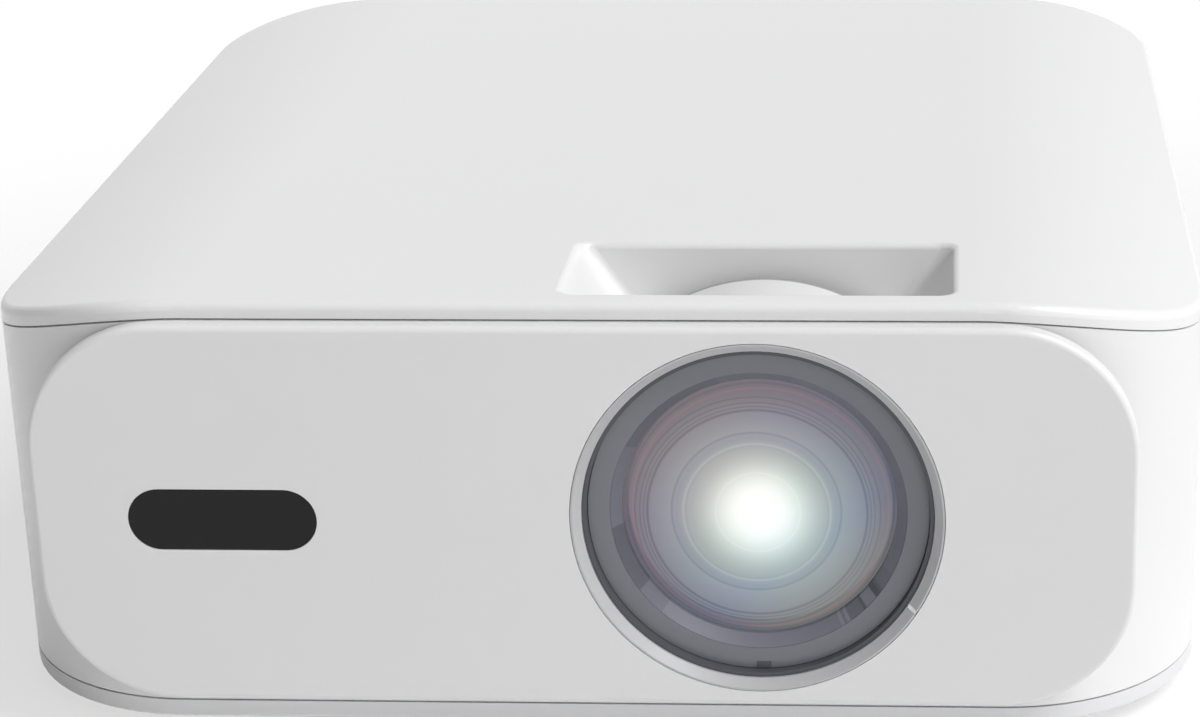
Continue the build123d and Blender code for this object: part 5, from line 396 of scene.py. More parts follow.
@dataclass(frozen=True)
class Rubber:
    """Soft rubber or foam with a dusty, uneven surface. Its grain's depth is in metres."""

    name: str
    colour: Colour
    roughness: float = 0.8
    scale: float = 1400.0
    depth: float = 0.00002
    dust: float = 120.0
    tones: Pair = (0.85, 1.35)
    gloss: Pair = (-0.08, 0.08)
    sheen: float = 0.15
    sheen_roughness: float = 0.5

    def material(self) -> bpy.types.Material:
        """Build the finish.

        Returns:
            The node material.
        """
        graph = Graph(self.name)
        dusty = graph.noise(self.dust, 4.0)
        tint = graph.tint(dusty, *(shade(self.colour, tone) for tone in self.tones))
        graph.join(tint, 0, graph.shader, "Base Color")
        gloss = graph.span(dusty, *(self.roughness + change for change in self.gloss))
        graph.join(gloss, 0, graph.shader, "Roughness")
        graph.bump(graph.noise(self.scale, 2.0), self.depth)
        graph.set(Sheen_Weight=self.sheen, Sheen_Roughness=self.sheen_roughness)
        return graph.material


@dataclass(frozen=True)
class Clear:
    """Coated glass or clear plastic that shows what is behind it, a little smeared."""

    name: str
    colour: Colour
    alpha: float = 0.35
    roughness: float = 0.03
    smear: float = 60.0
    smear_gloss: float = 0.03
    tones: Pair = (0.96, 1.03)
    ior: float = 1.52
    coat: float = 0.4
    coat_roughness: float = 0.02

    def material(self) -> bpy.types.Material:
        """Build the finish.

        Returns:
            The node material.
        """
        graph = Graph(self.name)
        smear = graph.noise(self.smear, 3.0)
        tint = graph.tint(smear, *(shade(self.colour, tone) for tone in self.tones))
        graph.join(tint, 0, graph.shader, "Base Color")
        gloss = graph.span(smear, self.roughness, self.roughness + self.smear_gloss)
        graph.join(gloss, 0, graph.shader, "Roughness")
        graph.set(Alpha=self.alpha, IOR=self.ior, Coat_Weight=self.coat, Coat_Roughness=self.coat_roughness)
        return graph.material


@dataclass(frozen=True)
class Board:
    """Circuit board with a solder mask, faint tracks and a slight weave, and its dark components.

    What stands higher than above_face over the board's face, which is in metres along up, is a
    component. The weave's depth is in metres.
    """

    name: str
    colour: Colour
    up: Point = (0.0, 0.0, 1.0)
    face: float = 0.018
    above_face: float = 0.1
    parts: Colour = (0.045, 0.045, 0.048)
    tracks: float = 160.0
    track_width: float = 0.022
    track_block: Pair = (0.9, 0.21)
    track_tones: Pair = (1.12, 1.7)
    gloss: Pair = (0.28, 0.42)
    gloss_scale: float = 300.0
    weave: float = 2200.0
    depth: float = 0.00001

    def solder_mask(self, graph: Graph) -> bpy.types.Node:
        """Add the mask with its tracks, as a pattern of long bricks.

        Args:
            graph: the material's graph.

        Returns:
            The node whose output 0 is the colour.
        """
        mask = graph.node("ShaderNodeTexBrick", offset=0.37, squash=1.0)
        mask.inputs["Scale"].default_value = self.tracks
        mask.inputs["Mortar Size"].default_value = self.track_width
        mask.inputs["Brick Width"].default_value = self.track_block[0]
        mask.inputs["Row Height"].default_value = self.track_block[1]
        mask.inputs["Color1"].default_value = (*self.colour, 1.0)
        mask.inputs["Color2"].default_value = (*shade(self.colour, self.track_tones[0]), 1.0)
        mask.inputs["Mortar"].default_value = (*shade(self.colour, self.track_tones[1]), 1.0)
        graph.join(graph.place, "Object", mask, "Vector")
        return mask

    def material(self) -> bpy.types.Material:
        """Build the finish.

        Returns:
            The node material.
        """
        graph = Graph(self.name)
        height = graph.vector("DOT_PRODUCT", graph.place, "Object", self.up)
        above = graph.scalar("GREATER_THAN", height, "Value", self.face + self.above_face * MM)
        mix = graph.node("ShaderNodeMixRGB")
        mix.inputs["Color2"].default_value = (*self.parts, 1.0)
        graph.join(above, 0, mix, "Fac")
        graph.join(self.solder_mask(graph), 0, mix, "Color1")
        graph.join(mix, 0, graph.shader, "Base Color")
        gloss = graph.span(graph.noise(self.gloss_scale), *self.gloss)
        graph.join(gloss, 0, graph.shader, "Roughness")
        graph.bump(graph.noise(self.weave), self.depth)
        return graph.material


@dataclass(frozen=True)
class PaintedRing:
    """One faint ring painted in the lens, with its middle measured from the lens axis, in mm."""

    middle: Pair
    radius: float
    width: float
    colour: Colour


@dataclass(frozen=True)
class GlowPaintedLens:
    """Front glass that glows with painted light: the lamp seen through it and the rings of the elements
    behind it.

    The opaque glass gives off the painted glow, rings and colour cast as emission. The pattern lies in the
    plane of the glass's rim and is carried along the line of sight to the curved face, so its coordinates
    are the piece's own. rim_y is that plane's place in metres, sight is the line's slope to the side and
    upwards, and the other lengths are in mm.
    """

    name: str
    axis: Point
    rim_y: float
    glass: Colour = (0.02, 0.02, 0.03)
    # middle of the painted glow, in mm from the lens axis
    glow: Pair = (0.0, -1.6)
    sight: Pair = (0.072, 0.426)
    reach: float = 32.0
    lean: Point = (0.62, -0.78, 0.0)
    lean_reach: float = 28.0
    veil: tuple[Stop, ...] = (
        (0.0, (1.00, 1.00, 1.00)),
        (3.8, (0.98, 1.00, 0.97)),
        (7.2, (0.78, 0.86, 0.79)),
        (10.8, (0.48, 0.545, 0.50)),
        (14.2, (0.32, 0.365, 0.35)),
        (18.6, (0.245, 0.275, 0.305)),
        (22.5, (0.19, 0.205, 0.24)),
        (26.0, (0.14, 0.142, 0.17)),
        (31.0, (0.10, 0.10, 0.12)),
    )
    painted_casts: tuple[Stop, ...] = (
        (0.0, (1.22, 1.04, 0.92)),
        (0.3, (1.10, 0.98, 1.00)),
        (0.52, (1.00, 1.00, 1.00)),
        (0.75, (0.96, 1.02, 1.10)),
        (1.0, (1.25, 1.24, 0.96)),
    )
    rings: tuple[PaintedRing, ...] = (
        PaintedRing((-0.7, -1.5), 17.6, 0.45, (-0.060, -0.060, -0.050)),
        PaintedRing((-0.65, -1.6), 16.6, 1.5, (-0.030, -0.028, -0.008)),
        PaintedRing((-0.6, -1.7), 15.3, 0.4, (0.055, 0.055, 0.055)),
        PaintedRing((-0.6, -1.7), 14.8, 0.4, (-0.020, -0.020, -0.020)),
        PaintedRing((-0.4, -1.6), 8.8, 0.4, (0.040, 0.040, 0.035)),
        PaintedRing((-0.55, -1.8), 22.9, 0.5, (-0.070, -0.075, -0.075)),
        PaintedRing((-0.55, -1.8), 23.7, 0.3, (-0.045, -0.050, -0.050)),
        PaintedRing((-0.55, -1.7), 24.5, 0.3, (-0.040, -0.045, -0.045)),
        PaintedRing((-0.5, -1.6), 25.6, 0.3, (-0.035, -0.040, -0.045)),
        PaintedRing((0.2, -0.7), 26.7, 0.45, (0.060, 0.000, 0.008)),
        PaintedRing((0.2, -0.5), 27.7, 0.4, (-0.030, -0.030, -0.020)),
    )

    def seen_from(self, graph: Graph) -> bpy.types.Node:
        """Carry the piece's coordinates along the line of sight to the rim's plane.

        Args:
            graph: the material's graph.

        Returns:
            A node whose output 0 is X and Z in mm from the lens axis.
        """
        shifted = graph.vector("SUBTRACT", graph.place, "Object", (self.axis[0], self.rim_y, self.axis[2]))
        flat = graph.node("ShaderNodeCombineXYZ")
        for socket, row in (("X", (1.0, self.sight[0], 0.0)), ("Y", (0.0, self.sight[1], 1.0))):
            dot = graph.vector("DOT_PRODUCT", shifted, 0, [value / MM for value in row])
            graph.join(dot, "Value", flat, socket)
        return flat

    def painted_ring_light(self, graph: Graph, flat: bpy.types.Node, ring: PaintedRing) -> bpy.types.Node:
        """Give the painted light that one ring adds, falling off to each side of it.

        Args:
            graph: the material's graph.
            flat: node of the coordinates in the rim's plane.
            ring: the ring.

        Returns:
            The node whose output 0 is the colour.
        """
        from_middle = graph.vector("DISTANCE", flat, 0, (*ring.middle, 0.0))
        away = graph.scalar("ABSOLUTE", graph.scalar("SUBTRACT", from_middle, "Value", ring.radius))
        light = graph.node("ShaderNodeVectorMath", operation="SCALE")
        light.inputs[0].default_value = ring.colour
        graph.join(graph.mapped(away, 0, (ring.width, 0.0), kind="SMOOTHSTEP"), 0, light, "Scale")
        return light

    def painted_cast(self, graph: Graph, flat: bpy.types.Node) -> bpy.types.Node:
        """Give the painted colour cast, from pink at the upper left, through blue, to yellow green at the
        lower right.

        Args:
            graph: the material's graph.
            flat: node of the coordinates in the rim's plane.

        Returns:
            The node whose output 0 is the tint.
        """
        across = graph.mapped(graph.vector("DOT_PRODUCT", flat, 0, self.lean), "Value",
                              (-self.lean_reach, self.lean_reach))
        return graph.ramp(across, 0, self.painted_casts)

    def material(self) -> bpy.types.Material:
        """Build the finish.

        Returns:
            The node material.
        """
        graph = Graph(self.name)
        graph.set(Base_Color=(*self.glass, 1.0), Roughness=0.06, IOR=1.5, Coat_Weight=0.2,
                  Coat_Roughness=0.03, Emission_Strength=1.0)
        flat = self.seen_from(graph)
        # painted glow: emission that fades outwards from the glow's middle, tinted by the painted cast,
        # with the painted rings added
        from_painted_glow = graph.vector("DISTANCE", flat, 0, (*self.glow, 0.0))
        near = graph.scalar("DIVIDE", from_painted_glow, "Value", self.reach)
        stops = [(distance / self.reach, colour) for distance, colour in self.veil]
        total = graph.vector("MULTIPLY", graph.ramp(near, 0, stops, Blend.SMOOTH))
        graph.join(self.painted_cast(graph, flat), 0, total, 1)
        for ring in self.rings:
            total = graph.vector("ADD", total)
            graph.join(self.painted_ring_light(graph, flat, ring), 0, total, 1)
        lit = graph.vector("MAXIMUM", total, 0, (0.0, 0.0, 0.0))
        graph.join(lit, 0, graph.shader, "Emission Color")
        return graph.material


@dataclass(frozen=True)
class Lamp:
    """Light-emitting chip with an even, slightly speckled glow."""

    name: str
    colour: Colour
    strength: float = 1.0
    speckle: float = 500.0
    dim: float = 0.92
    roughness: float = 0.3

    def material(self) -> bpy.types.Material:
        """Build the finish.

        Returns:
            The node material.
        """
        graph = Graph(self.name)
        tint = graph.tint(graph.noise(self.speckle), shade(self.colour, self.dim), self.colour)
        graph.join(tint, 0, graph.shader, "Base Color")
        graph.join(tint, 0, graph.shader, "Emission Color")
        graph.set(Emission_Strength=self.strength, Roughness=self.roughness)
        return graph.material


Finish = Moulded | Metal | Rubber | Clear | Board | GlowPaintedLens | Lamp
LENS_AXIS: Point = (0.0364, -0.1352, 0.0519)
SMOOTH_DEPTH = 0.000001

SHELL_WHITE = Moulded("shell_white", (0.79, 0.79, 0.795), 0.3, depth=SMOOTH_DEPTH, mottle=0.006, coat=0.25)
# focus ring, with painted shade along its rounded edges
RING_WHITE = EdgeShadedRing("ring_white", (0.79, 0.79, 0.795), 0.3, depth=SMOOTH_DEPTH, mottle=0.006, coat=0.25)
PANEL_WHITE = Moulded("panel_white", (0.765, 0.765, 0.768), 0.34, depth=SMOOTH_DEPTH, mottle=0.006,
                      coat=0.15)
BASE_GREY = Moulded("base_white", (0.72, 0.72, 0.73), mottle=0.01)
MARK_WHITE = Moulded("mark_white", (0.97, 0.97, 0.97), 0.5, mottle=0.01, specular=0.3)
BEZEL_SILVER = Moulded("bezel_silver", (0.49, 0.49, 0.502), depth=SMOOTH_DEPTH, mottle=0.01, coat=0.08)
BARREL_GREY = Moulded("barrel_grey", (0.19, 0.198, 0.222), 0.3, mottle=0.03)
MOUNT_GREY = Moulded("mount_grey", (0.32, 0.32, 0.33), 0.45, mottle=0.03)
SEAL_GREY = Moulded("seal_grey", (0.085, 0.085, 0.10), 0.5, mottle=0.04)
# retainer ring: its tones paint highlights and shade in sectors round it; the narrow stripes are partly
# ticks and partly painted glints
RETAINER_GREY = TickedShadedRing(
    "retainer_grey", (0.165, 0.17, 0.20), mottle=0.03, specular=0.25, axis=LENS_AXIS,
    tones=((-180.0, 1.0), (-173.0, 0.7), (-145.0, 1.0), (-133.3, 0.6), (-132.3, 1.2), (-56.4, 1.5),
           (-55.5, 1.1), (-53.6, 1.5), (-52.8, 0.95), (-46.0, 0.7), (-44.2, 1.4), (-38.6, 0.6),
           (-36.2, 1.4), (-35.4, 0.8), (-34.6, 1.4), (-33.8, 1.05), (-27.8, 0.8), (-27.0, 1.15),
           (-17.8, 0.85), (-17.0, 1.1), (20.0, 1.05), (75.0, 0.95), (105.0, 0.85), (151.4, 1.02)))
WINDOW_BLACK = Moulded("window_black", (0.006, 0.006, 0.0065), 0.14, depth=SMOOTH_DEPTH, mottle=0.05,
                       specular=0.3)
BLACK_SATIN = Moulded("black_satin", (0.022, 0.022, 0.024), 0.45, mottle=0.08)
DARK_GREY = Moulded("dark_grey", (0.055, 0.056, 0.06), 0.5, mottle=0.06, depth=0.00001)
DRIVE_GREY = Moulded("drive_grey", (0.12, 0.125, 0.135), 0.5, mottle=0.05, depth=0.00001)
ACETAL = Moulded("acetal_white", (0.74, 0.72, 0.66), 0.4)
CONNECTOR_IVORY = Moulded("connector_ivory", (0.70, 0.67, 0.55), 0.45)
SLEEVE_BLUE = Moulded("sleeve_blue", (0.03, 0.055, 0.17), 0.3, mottle=0.04, coat=0.3)
TAPE_YELLOW = Moulded("tape_amber", (0.55, 0.30, 0.05), 0.3, mottle=0.05, coat=0.3)
WIRE_RED = Moulded("wire_red", (0.45, 0.02, 0.02), 0.45, mottle=0.03)
WIRE_BLACK = Moulded("wire_black", (0.02, 0.02, 0.02), 0.5, mottle=0.03)
CHIP_BLACK = Moulded("chip_black", (0.03, 0.03, 0.033), 0.55, mottle=0.08)
LABEL_SILVER = Moulded("label_silver", (0.55, 0.56, 0.58), 0.3)
FERRITE = Moulded("ferrite", (0.06, 0.055, 0.055), 0.6, mottle=0.1)
ALUMINIUM = Metal("aluminium", (0.78, 0.79, 0.81), 0.36, (1.0, 1.0, 14.0))
STEEL = Metal("bright_steel", (0.66, 0.66, 0.68), 0.28, (1.0, 10.0, 1.0))
CHROME = Metal("rod_chrome", (0.82, 0.82, 0.84), 0.1, (8.0, 1.0, 1.0), depth=0.000001)
BRASS = Metal("brass", (0.75, 0.58, 0.28), 0.3, (1.0, 1.0, 9.0))
BLACK_STEEL = Metal("screw_black", (0.09, 0.09, 0.095), 0.35)
MIRROR = Metal("mirror_coat", (0.9, 0.9, 0.92), 0.06, depth=0.0)
FOOT_RUBBER = Rubber("foot_rubber", (0.03, 0.03, 0.032))
BELT_RUBBER = Rubber("belt_rubber", (0.02, 0.02, 0.02), 0.7)
FOAM_BLACK = Rubber("filter_foam", (0.035, 0.036, 0.04), 0.95, 900.0, 0.0002)
CONE_PAPER = Rubber("cone_paper", (0.035, 0.034, 0.036), 0.85, 500.0, 0.0001)
COATED_GLASS = Clear("coated_glass", (0.36, 0.46, 0.62), 0.4)
CLEAR_PLASTIC = Clear("lens_plastic", (0.80, 0.84, 0.88), 0.3, 0.12)
LCD_DARK = Clear("lcd_dark", (0.035, 0.04, 0.055), 0.85, 0.08)
PICKUP_BLUE = Clear("pickup_lens", (0.10, 0.16, 0.55), 0.75)
BOARD_GREEN = Board("board_green", (0.012, 0.085, 0.04))
RECEIVER_GREEN = Board("receiver_green", (0.012, 0.085, 0.04), (0.0, -1.0, 0.0), 0.1328)
# front glass, with a painted glow and painted rings given off as emission
FRONT_GLASS = GlowPaintedLens("front_glass", LENS_AXIS, -0.1302)
LED_YELLOW = Lamp("led_phosphor", (0.95, 0.80, 0.25))

MADE: dict[str, bpy.types.Material] = {}


def material_of(finish: Finish) -> bpy.types.Material:
    """Build a finish's material, once.

    Args:
        finish: the finish.

    Returns:
        Its material.
    """
    if finish.name not in MADE:
        MADE[finish.name] = finish.material()
    return MADE[finish.name]


def dress(finish: Finish, *nodes: str) -> None:
    """Give CAD nodes a finish.

    Args:
        finish: the finish.
        *nodes: names of the nodes.
    """
    for name in nodes:
        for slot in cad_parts[name].material_slots:
            slot.material = material_of(finish)
        log.info("node %s: %s", name, finish.name)


# ---------------------------------------------------------------- bench work
def deselect() -> None:
    """Leave edit mode and deselect every object."""
    if bpy.context.object and bpy.context.object.mode == "EDIT":
        bpy.ops.object.mode_set(mode="OBJECT")
    bpy.ops.object.select_all(action="DESELECT")


def finish_piece(name: str, finish: Finish, body: str, shading: Shading) -> bpy.types.Object:
    """Name, shade, dress and ride the active object, with its place put into its mesh.

    Args:
        name: the piece's name.
        finish: the finish it gets.
        body: CAD body that it moves with.
        shading: how its faces are shaded.

    Returns:
        The finished piece.
    """
    piece = bpy.context.object
    bpy.ops.object.transform_apply(location=True, rotation=True, scale=True)
    piece.name = name
    piece.data.name = name
    if shading is not Shading.FLAT:
        bpy.ops.object.shade_smooth_by_angle(angle=math.radians(shading.value))
    piece.data.materials.clear()
    piece.data.materials.append(material_of(finish))
    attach(piece, body)
    log.info("piece %s on %s", name, body)
    return piece


def middle_of(low: Point, high: Point) -> Point:
    """Return the middle of a box with these corners."""
    return tuple((start + end) / 2 for start, end in zip(low, high))


def way_of(direction: Direction | Point) -> Vector:
    """Return a direction as a vector."""
    return Vector(direction.value if isinstance(direction, Direction) else direction)


def aim(direction: Direction | Point) -> None:
    """Turn the active object from +Z to a direction."""
    turn = Vector((0, 0, 1)).rotation_difference(way_of(direction))
    bpy.context.object.rotation_euler = turn.to_euler()


def turned(centre: Point, direction: Direction | Point, steps: Sequence[Pair], segments: int,
           turning: Turning = Turning.SOLID) -> bpy.types.Object:
    """Turn a piece: a circle is extruded and scaled from step to step, and a ring's is joined up.

    Args:
        centre: place of height 0.
        direction: way that its height runs.
        steps: radius and height pairs, from end to end of a solid or once round a ring's section.
        segments: sides of the circle.
        turning: whether it is a solid or a ring.

    Returns:
        The new object, still at its place and not yet finished.
    """
    deselect()
    radius, height = steps[0]
    bpy.ops.mesh.primitive_circle_add(vertices=segments, radius=radius * MM, fill_type=turning.value,
                                      location=centre)
    piece = bpy.context.object
    bpy.ops.object.mode_set(mode="EDIT")
    bpy.ops.mesh.select_all(action="SELECT")
    bpy.ops.transform.translate(value=(0, 0, height * MM))
    closing = steps[:1] if turning is Turning.RING else ()
    for next_radius, next_height in [*steps[1:], *closing]:
        bpy.ops.mesh.extrude_region_move(
            TRANSFORM_OT_translate={"value": (0, 0, (next_height - height) * MM)})
        factor = next_radius / radius
        bpy.ops.transform.resize(value=(factor, factor, 1))
        radius, height = next_radius, next_height
    bpy.ops.mesh.select_all(action="SELECT")
    if turning is Turning.RING:
        bpy.ops.mesh.remove_doubles(threshold=WELD)
    bpy.ops.mesh.normals_make_consistent(inside=False)
    bpy.ops.object.mode_set(mode="OBJECT")
    aim(direction)
    return piece


def block(centre: Point, size: Point, bevel: float) -> bpy.types.Object:
    """Add a block with bevelled edges.

    Args:
        centre: its middle.
        size: its lengths along X, Y and Z.
        bevel: width of the bevels, or 0 for sharp edges.

    Returns:
        The new object, still at its place and not yet finished.
    """
    deselect()
    bpy.ops.mesh.primitive_cube_add(size=1.0, location=centre)
    piece = bpy.context.object
    piece.scale = [length * MM for length in size]
    bpy.ops.object.transform_apply(location=False, rotation=False, scale=True)
    if bevel:
        bpy.ops.object.mode_set(mode="EDIT")
        bpy.ops.mesh.select_all(action="SELECT")
        bpy.ops.mesh.bevel(offset=bevel * MM, segments=2, affect="EDGES")
        bpy.ops.object.mode_set(mode="OBJECT")
    return piece


def torus(centre: Point, direction: Direction | Point, major: float, minor: float) -> None:
    """Add a torus.

    Args:
        centre: its middle.
        direction: way of its axis.
        major: radius of its middle line.
        minor: radius of its section.
    """
    deselect()
    bpy.ops.mesh.primitive_torus_add(location=centre, major_radius=major * MM, minor_radius=minor * MM,
                                     major_segments=56, minor_segments=12)
    aim(direction)


def copies(piece: bpy.types.Object, body: str, places: Sequence[Point]) -> None:
    """Copy a finished piece from the first place to the others, each copy with its own mesh.

    Args:
        piece: the piece at the first place, finished.
        body: CAD body that the copies move with.
        places: all the places.
    """
    for number, place in enumerate(places[1:], start=2):
        copy = piece.copy()
        copy.data = piece.data.copy()
        copy.data.transform(Matrix.Translation(Vector(place) - Vector(places[0])))
        copy.name = copy.data.name = f"{piece.name}_{number}"
        bpy.context.scene.collection.objects.link(copy)
        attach(copy, body)


@dataclass(frozen=True)
class Screw:
    """Pan-head screw with a cross recess.

    Its underside is sunk below its place. The profile and the recess, which has a length, a width
    and a depth, are in shares of the head's radius and height.
    """

    radius: float
    height: float
    sunk: float = 0.2
    profile: tuple[Pair, ...] = ((1.0, 0.45), (0.86, 0.8), (0.55, 1.0))
    recess: Point = (1.1, 0.26, 1.1)
    segments: int = 28

    def head(self, place: Point, direction: Direction) -> bpy.types.Object:
        """Turn the head.

        Args:
            place: middle of its underside.
            direction: way that it stands out.

        Returns:
            The head, with its place put into its mesh.
        """
        steps = [(self.radius * wide, self.height * high) for wide, high in self.profile]
        head = turned(place, direction, [(self.radius, -self.sunk), *steps], self.segments)
        bpy.ops.object.transform_apply(location=True, rotation=True, scale=True)
        return head

    def cut_recess(self, head: bpy.types.Object, place: Point, direction: Direction) -> None:
        """Cut the cross into the head, one arm at a time.

        Args:
            head: the turned head.
            place: middle of its underside.
            direction: way that it stands out.
        """
        way = way_of(direction)
        side = way.orthogonal().normalized()
        long, wide, deep = self.recess
        for arm in (side, way.cross(side)):
            deselect()
            bpy.ops.mesh.primitive_cube_add(size=1.0, location=Vector(place) + way * self.height * MM)
            cutter = bpy.context.object
            cutter.scale = (self.radius * long * MM, self.radius * wide * MM, self.height * deep * MM)
            cutter.rotation_euler = Matrix((arm, way.cross(arm), way)).transposed().to_euler()
            deselect()
            head.select_set(True)
            bpy.context.view_layer.objects.active = head
            cut = head.modifiers.new("recess", "BOOLEAN")
            cut.object = cutter
            cut.operation = "DIFFERENCE"
            bpy.ops.object.modifier_apply(modifier=cut.name)
            bpy.data.objects.remove(cutter)

    def drive(self, name: str, places: Sequence[Point], direction: Direction) -> None:
        """Put black screws into the housing, modelled once and copied.

        Args:
            name: name of the first screw.
            places: middle of each head's underside.
            direction: way that the heads stand out.
        """
        head = self.head(places[0], direction)
        self.cut_recess(head, places[0], direction)
        screw = finish_piece(name, BLACK_STEEL, "housing", Shading.SOFT)
        copies(screw, "housing", places)


def wire(name: str, points: Sequence[Point], radius: float, finish: Finish) -> None:
    """Run a wire inside the housing: a disc is extruded from point to point, and turned at each.

    Args:
        name: the piece's name.
        points: its corners.
        radius: half its thickness.
        finish: its insulation.
    """
    deselect()
    corners = [Vector(point) for point in points]
    heading = (corners[1] - corners[0]).normalized()
    bpy.ops.mesh.primitive_circle_add(vertices=8, radius=radius * MM, fill_type="NGON", location=points[0])
    piece = bpy.context.object
    aim(tuple(heading))
    bpy.ops.object.transform_apply(location=True, rotation=True, scale=True)
    bpy.ops.object.mode_set(mode="EDIT")
    bpy.ops.mesh.select_all(action="SELECT")
    for here, there, beyond in zip(corners, corners[1:], [*corners[2:], None]):
        bpy.ops.mesh.extrude_region_move(TRANSFORM_OT_translate={"value": there - here})
        if beyond is not None:
            next_heading = (beyond - there).normalized()
            turn = heading.rotation_difference(next_heading)
            bpy.ops.object.mode_set(mode="OBJECT")
            for vertex in piece.data.vertices:
                if vertex.select:
                    vertex.co = there + turn @ (vertex.co - there)
            bpy.ops.object.mode_set(mode="EDIT")
            heading = next_heading
    bpy.ops.mesh.select_all(action="SELECT")
    bpy.ops.mesh.normals_make_consistent(inside=False)
    bpy.ops.object.mode_set(mode="OBJECT")
    finish_piece(name, finish, "housing", Shading.ROUND)


# ---------------------------------------------------------------- sub-assemblies
@dataclass
class Shell:
    """Covers, front panel, bezel and the small pieces that show on them.

    The mark's inner and outer ends are radii round the lens axis. Its back and front are measured
    along Y from LENS_AXIS, and its face lies cone_drop further back at the inner end.
    """

    screw: Screw = Screw(3.0, 1.5)
    screw_places: tuple[Point, ...] = (
        (-0.104, -0.062, 0.006), (0.104, -0.062, 0.006), (-0.104, 0.070, 0.006), (0.104, 0.070, 0.006),
        (-0.045, 0.118, 0.006), (0.045, 0.118, 0.006))
    mark_angle: float = -32.0
    mark_inner: float = 36.62
    mark_outer: float = 38.45
    mark_width: float = 0.86
    mark_back: float = -1.3
    mark_front: float = -3.58
    cone_drop: float = 1.48

    def build(self) -> None:
        """Dress the covers and add the screws and the index mark."""
        dress(SHELL_WHITE, "middle_housing", "top_cover", "tray_door", "eject_button", "exhaust_grille",
              "intake_grille", "power_button")
        dress(PANEL_WHITE, "front_panel")
        dress(BASE_GREY, "bottom_cover")
        dress(BEZEL_SILVER, "lens_bezel")
        dress(WINDOW_BLACK, "ir_window")
        dress(BRASS, "tripod_bush", "bracket_inserts", "foot_nut")
        dress(FOOT_RUBBER, "rubber_feet", "foot_pad")
        dress(DARK_GREY, "foot_screw", "rear_panel")
        self.screw.drive("base_screw", self.screw_places, Direction.DOWN)
        self.index_mark()

    def index_mark(self) -> None:
        """Lay the white index line in the bezel's notch, its face sloped as the cone is."""
        angle = math.radians(self.mark_angle)
        outwards = Vector((math.cos(angle), 0, math.sin(angle)))
        reach = (self.mark_inner + self.mark_outer) / 2
        depth = (self.mark_back + self.mark_front) / 2
        centre = Vector(LENS_AXIS) + outwards * reach * MM + Vector((0, depth * MM, 0))
        size = (self.mark_outer - self.mark_inner, self.mark_back - self.mark_front, self.mark_width)
        mark = block(tuple(centre), size, bevel=0)
        bpy.ops.object.mode_set(mode="EDIT")
        bpy.ops.mesh.select_mode(type="VERT")
        bpy.ops.mesh.select_all(action="DESELECT")
        bpy.ops.object.mode_set(mode="OBJECT")
        for vertex in mark.data.vertices:
            vertex.select = vertex.co.x < 0 and vertex.co.y < 0
        bpy.ops.object.mode_set(mode="EDIT")
        bpy.ops.transform.translate(value=(0, self.cone_drop * MM, 0))
        bpy.ops.object.mode_set(mode="OBJECT")
        mark.rotation_euler = (0, -angle, 0)
        finish_piece("index_mark", MARK_WHITE, "housing", Shading.FLAT)


@dataclass
class LensGroup:
    """Focus ring, barrel and glass. The place of the painted notch shade on the barrel is measured in mm
    from LENS_AXIS.
    """

    seal: tuple[Pair, ...] = ((35.55, 1.2), (36.42, 1.2), (36.42, -1.6), (35.55, -1.6))
    seal_segments: int = 96
    notch_shade_place: Point = (0.6, 0.8, -34.5)
    notch_shade_size: Point = (3.0, 0.3, 1.1)

    def build(self) -> None:
        """Dress the lens group, and add the light seal and a thin dark sheet on the barrel, painted shade
        where a notch shows.
        """
        dress(RING_WHITE, "focus_ring")
        dress(BARREL_GREY, "lens_barrel")
        dress(RETAINER_GREY, "lens_retainer")
        dress(FRONT_GLASS, "front_lens")
        dress(COATED_GLASS, "rear_lens")
        dress(MOUNT_GREY, "lens_mount")
        turned(LENS_AXIS, Direction.FRONT, self.seal, self.seal_segments, Turning.RING)
        finish_piece("light_seal", SEAL_GREY, "housing", Shading.SOFT)
        # painted shade: a thin dark sheet at the barrel's bottom stands in for the shade in a notch
        block(tuple(Vector(LENS_AXIS) + Vector(self.notch_shade_place) * MM), self.notch_shade_size, bevel=0)
        finish_piece("barrel_notch_shade", SEAL_GREY, "lens_cell", Shading.FLAT)


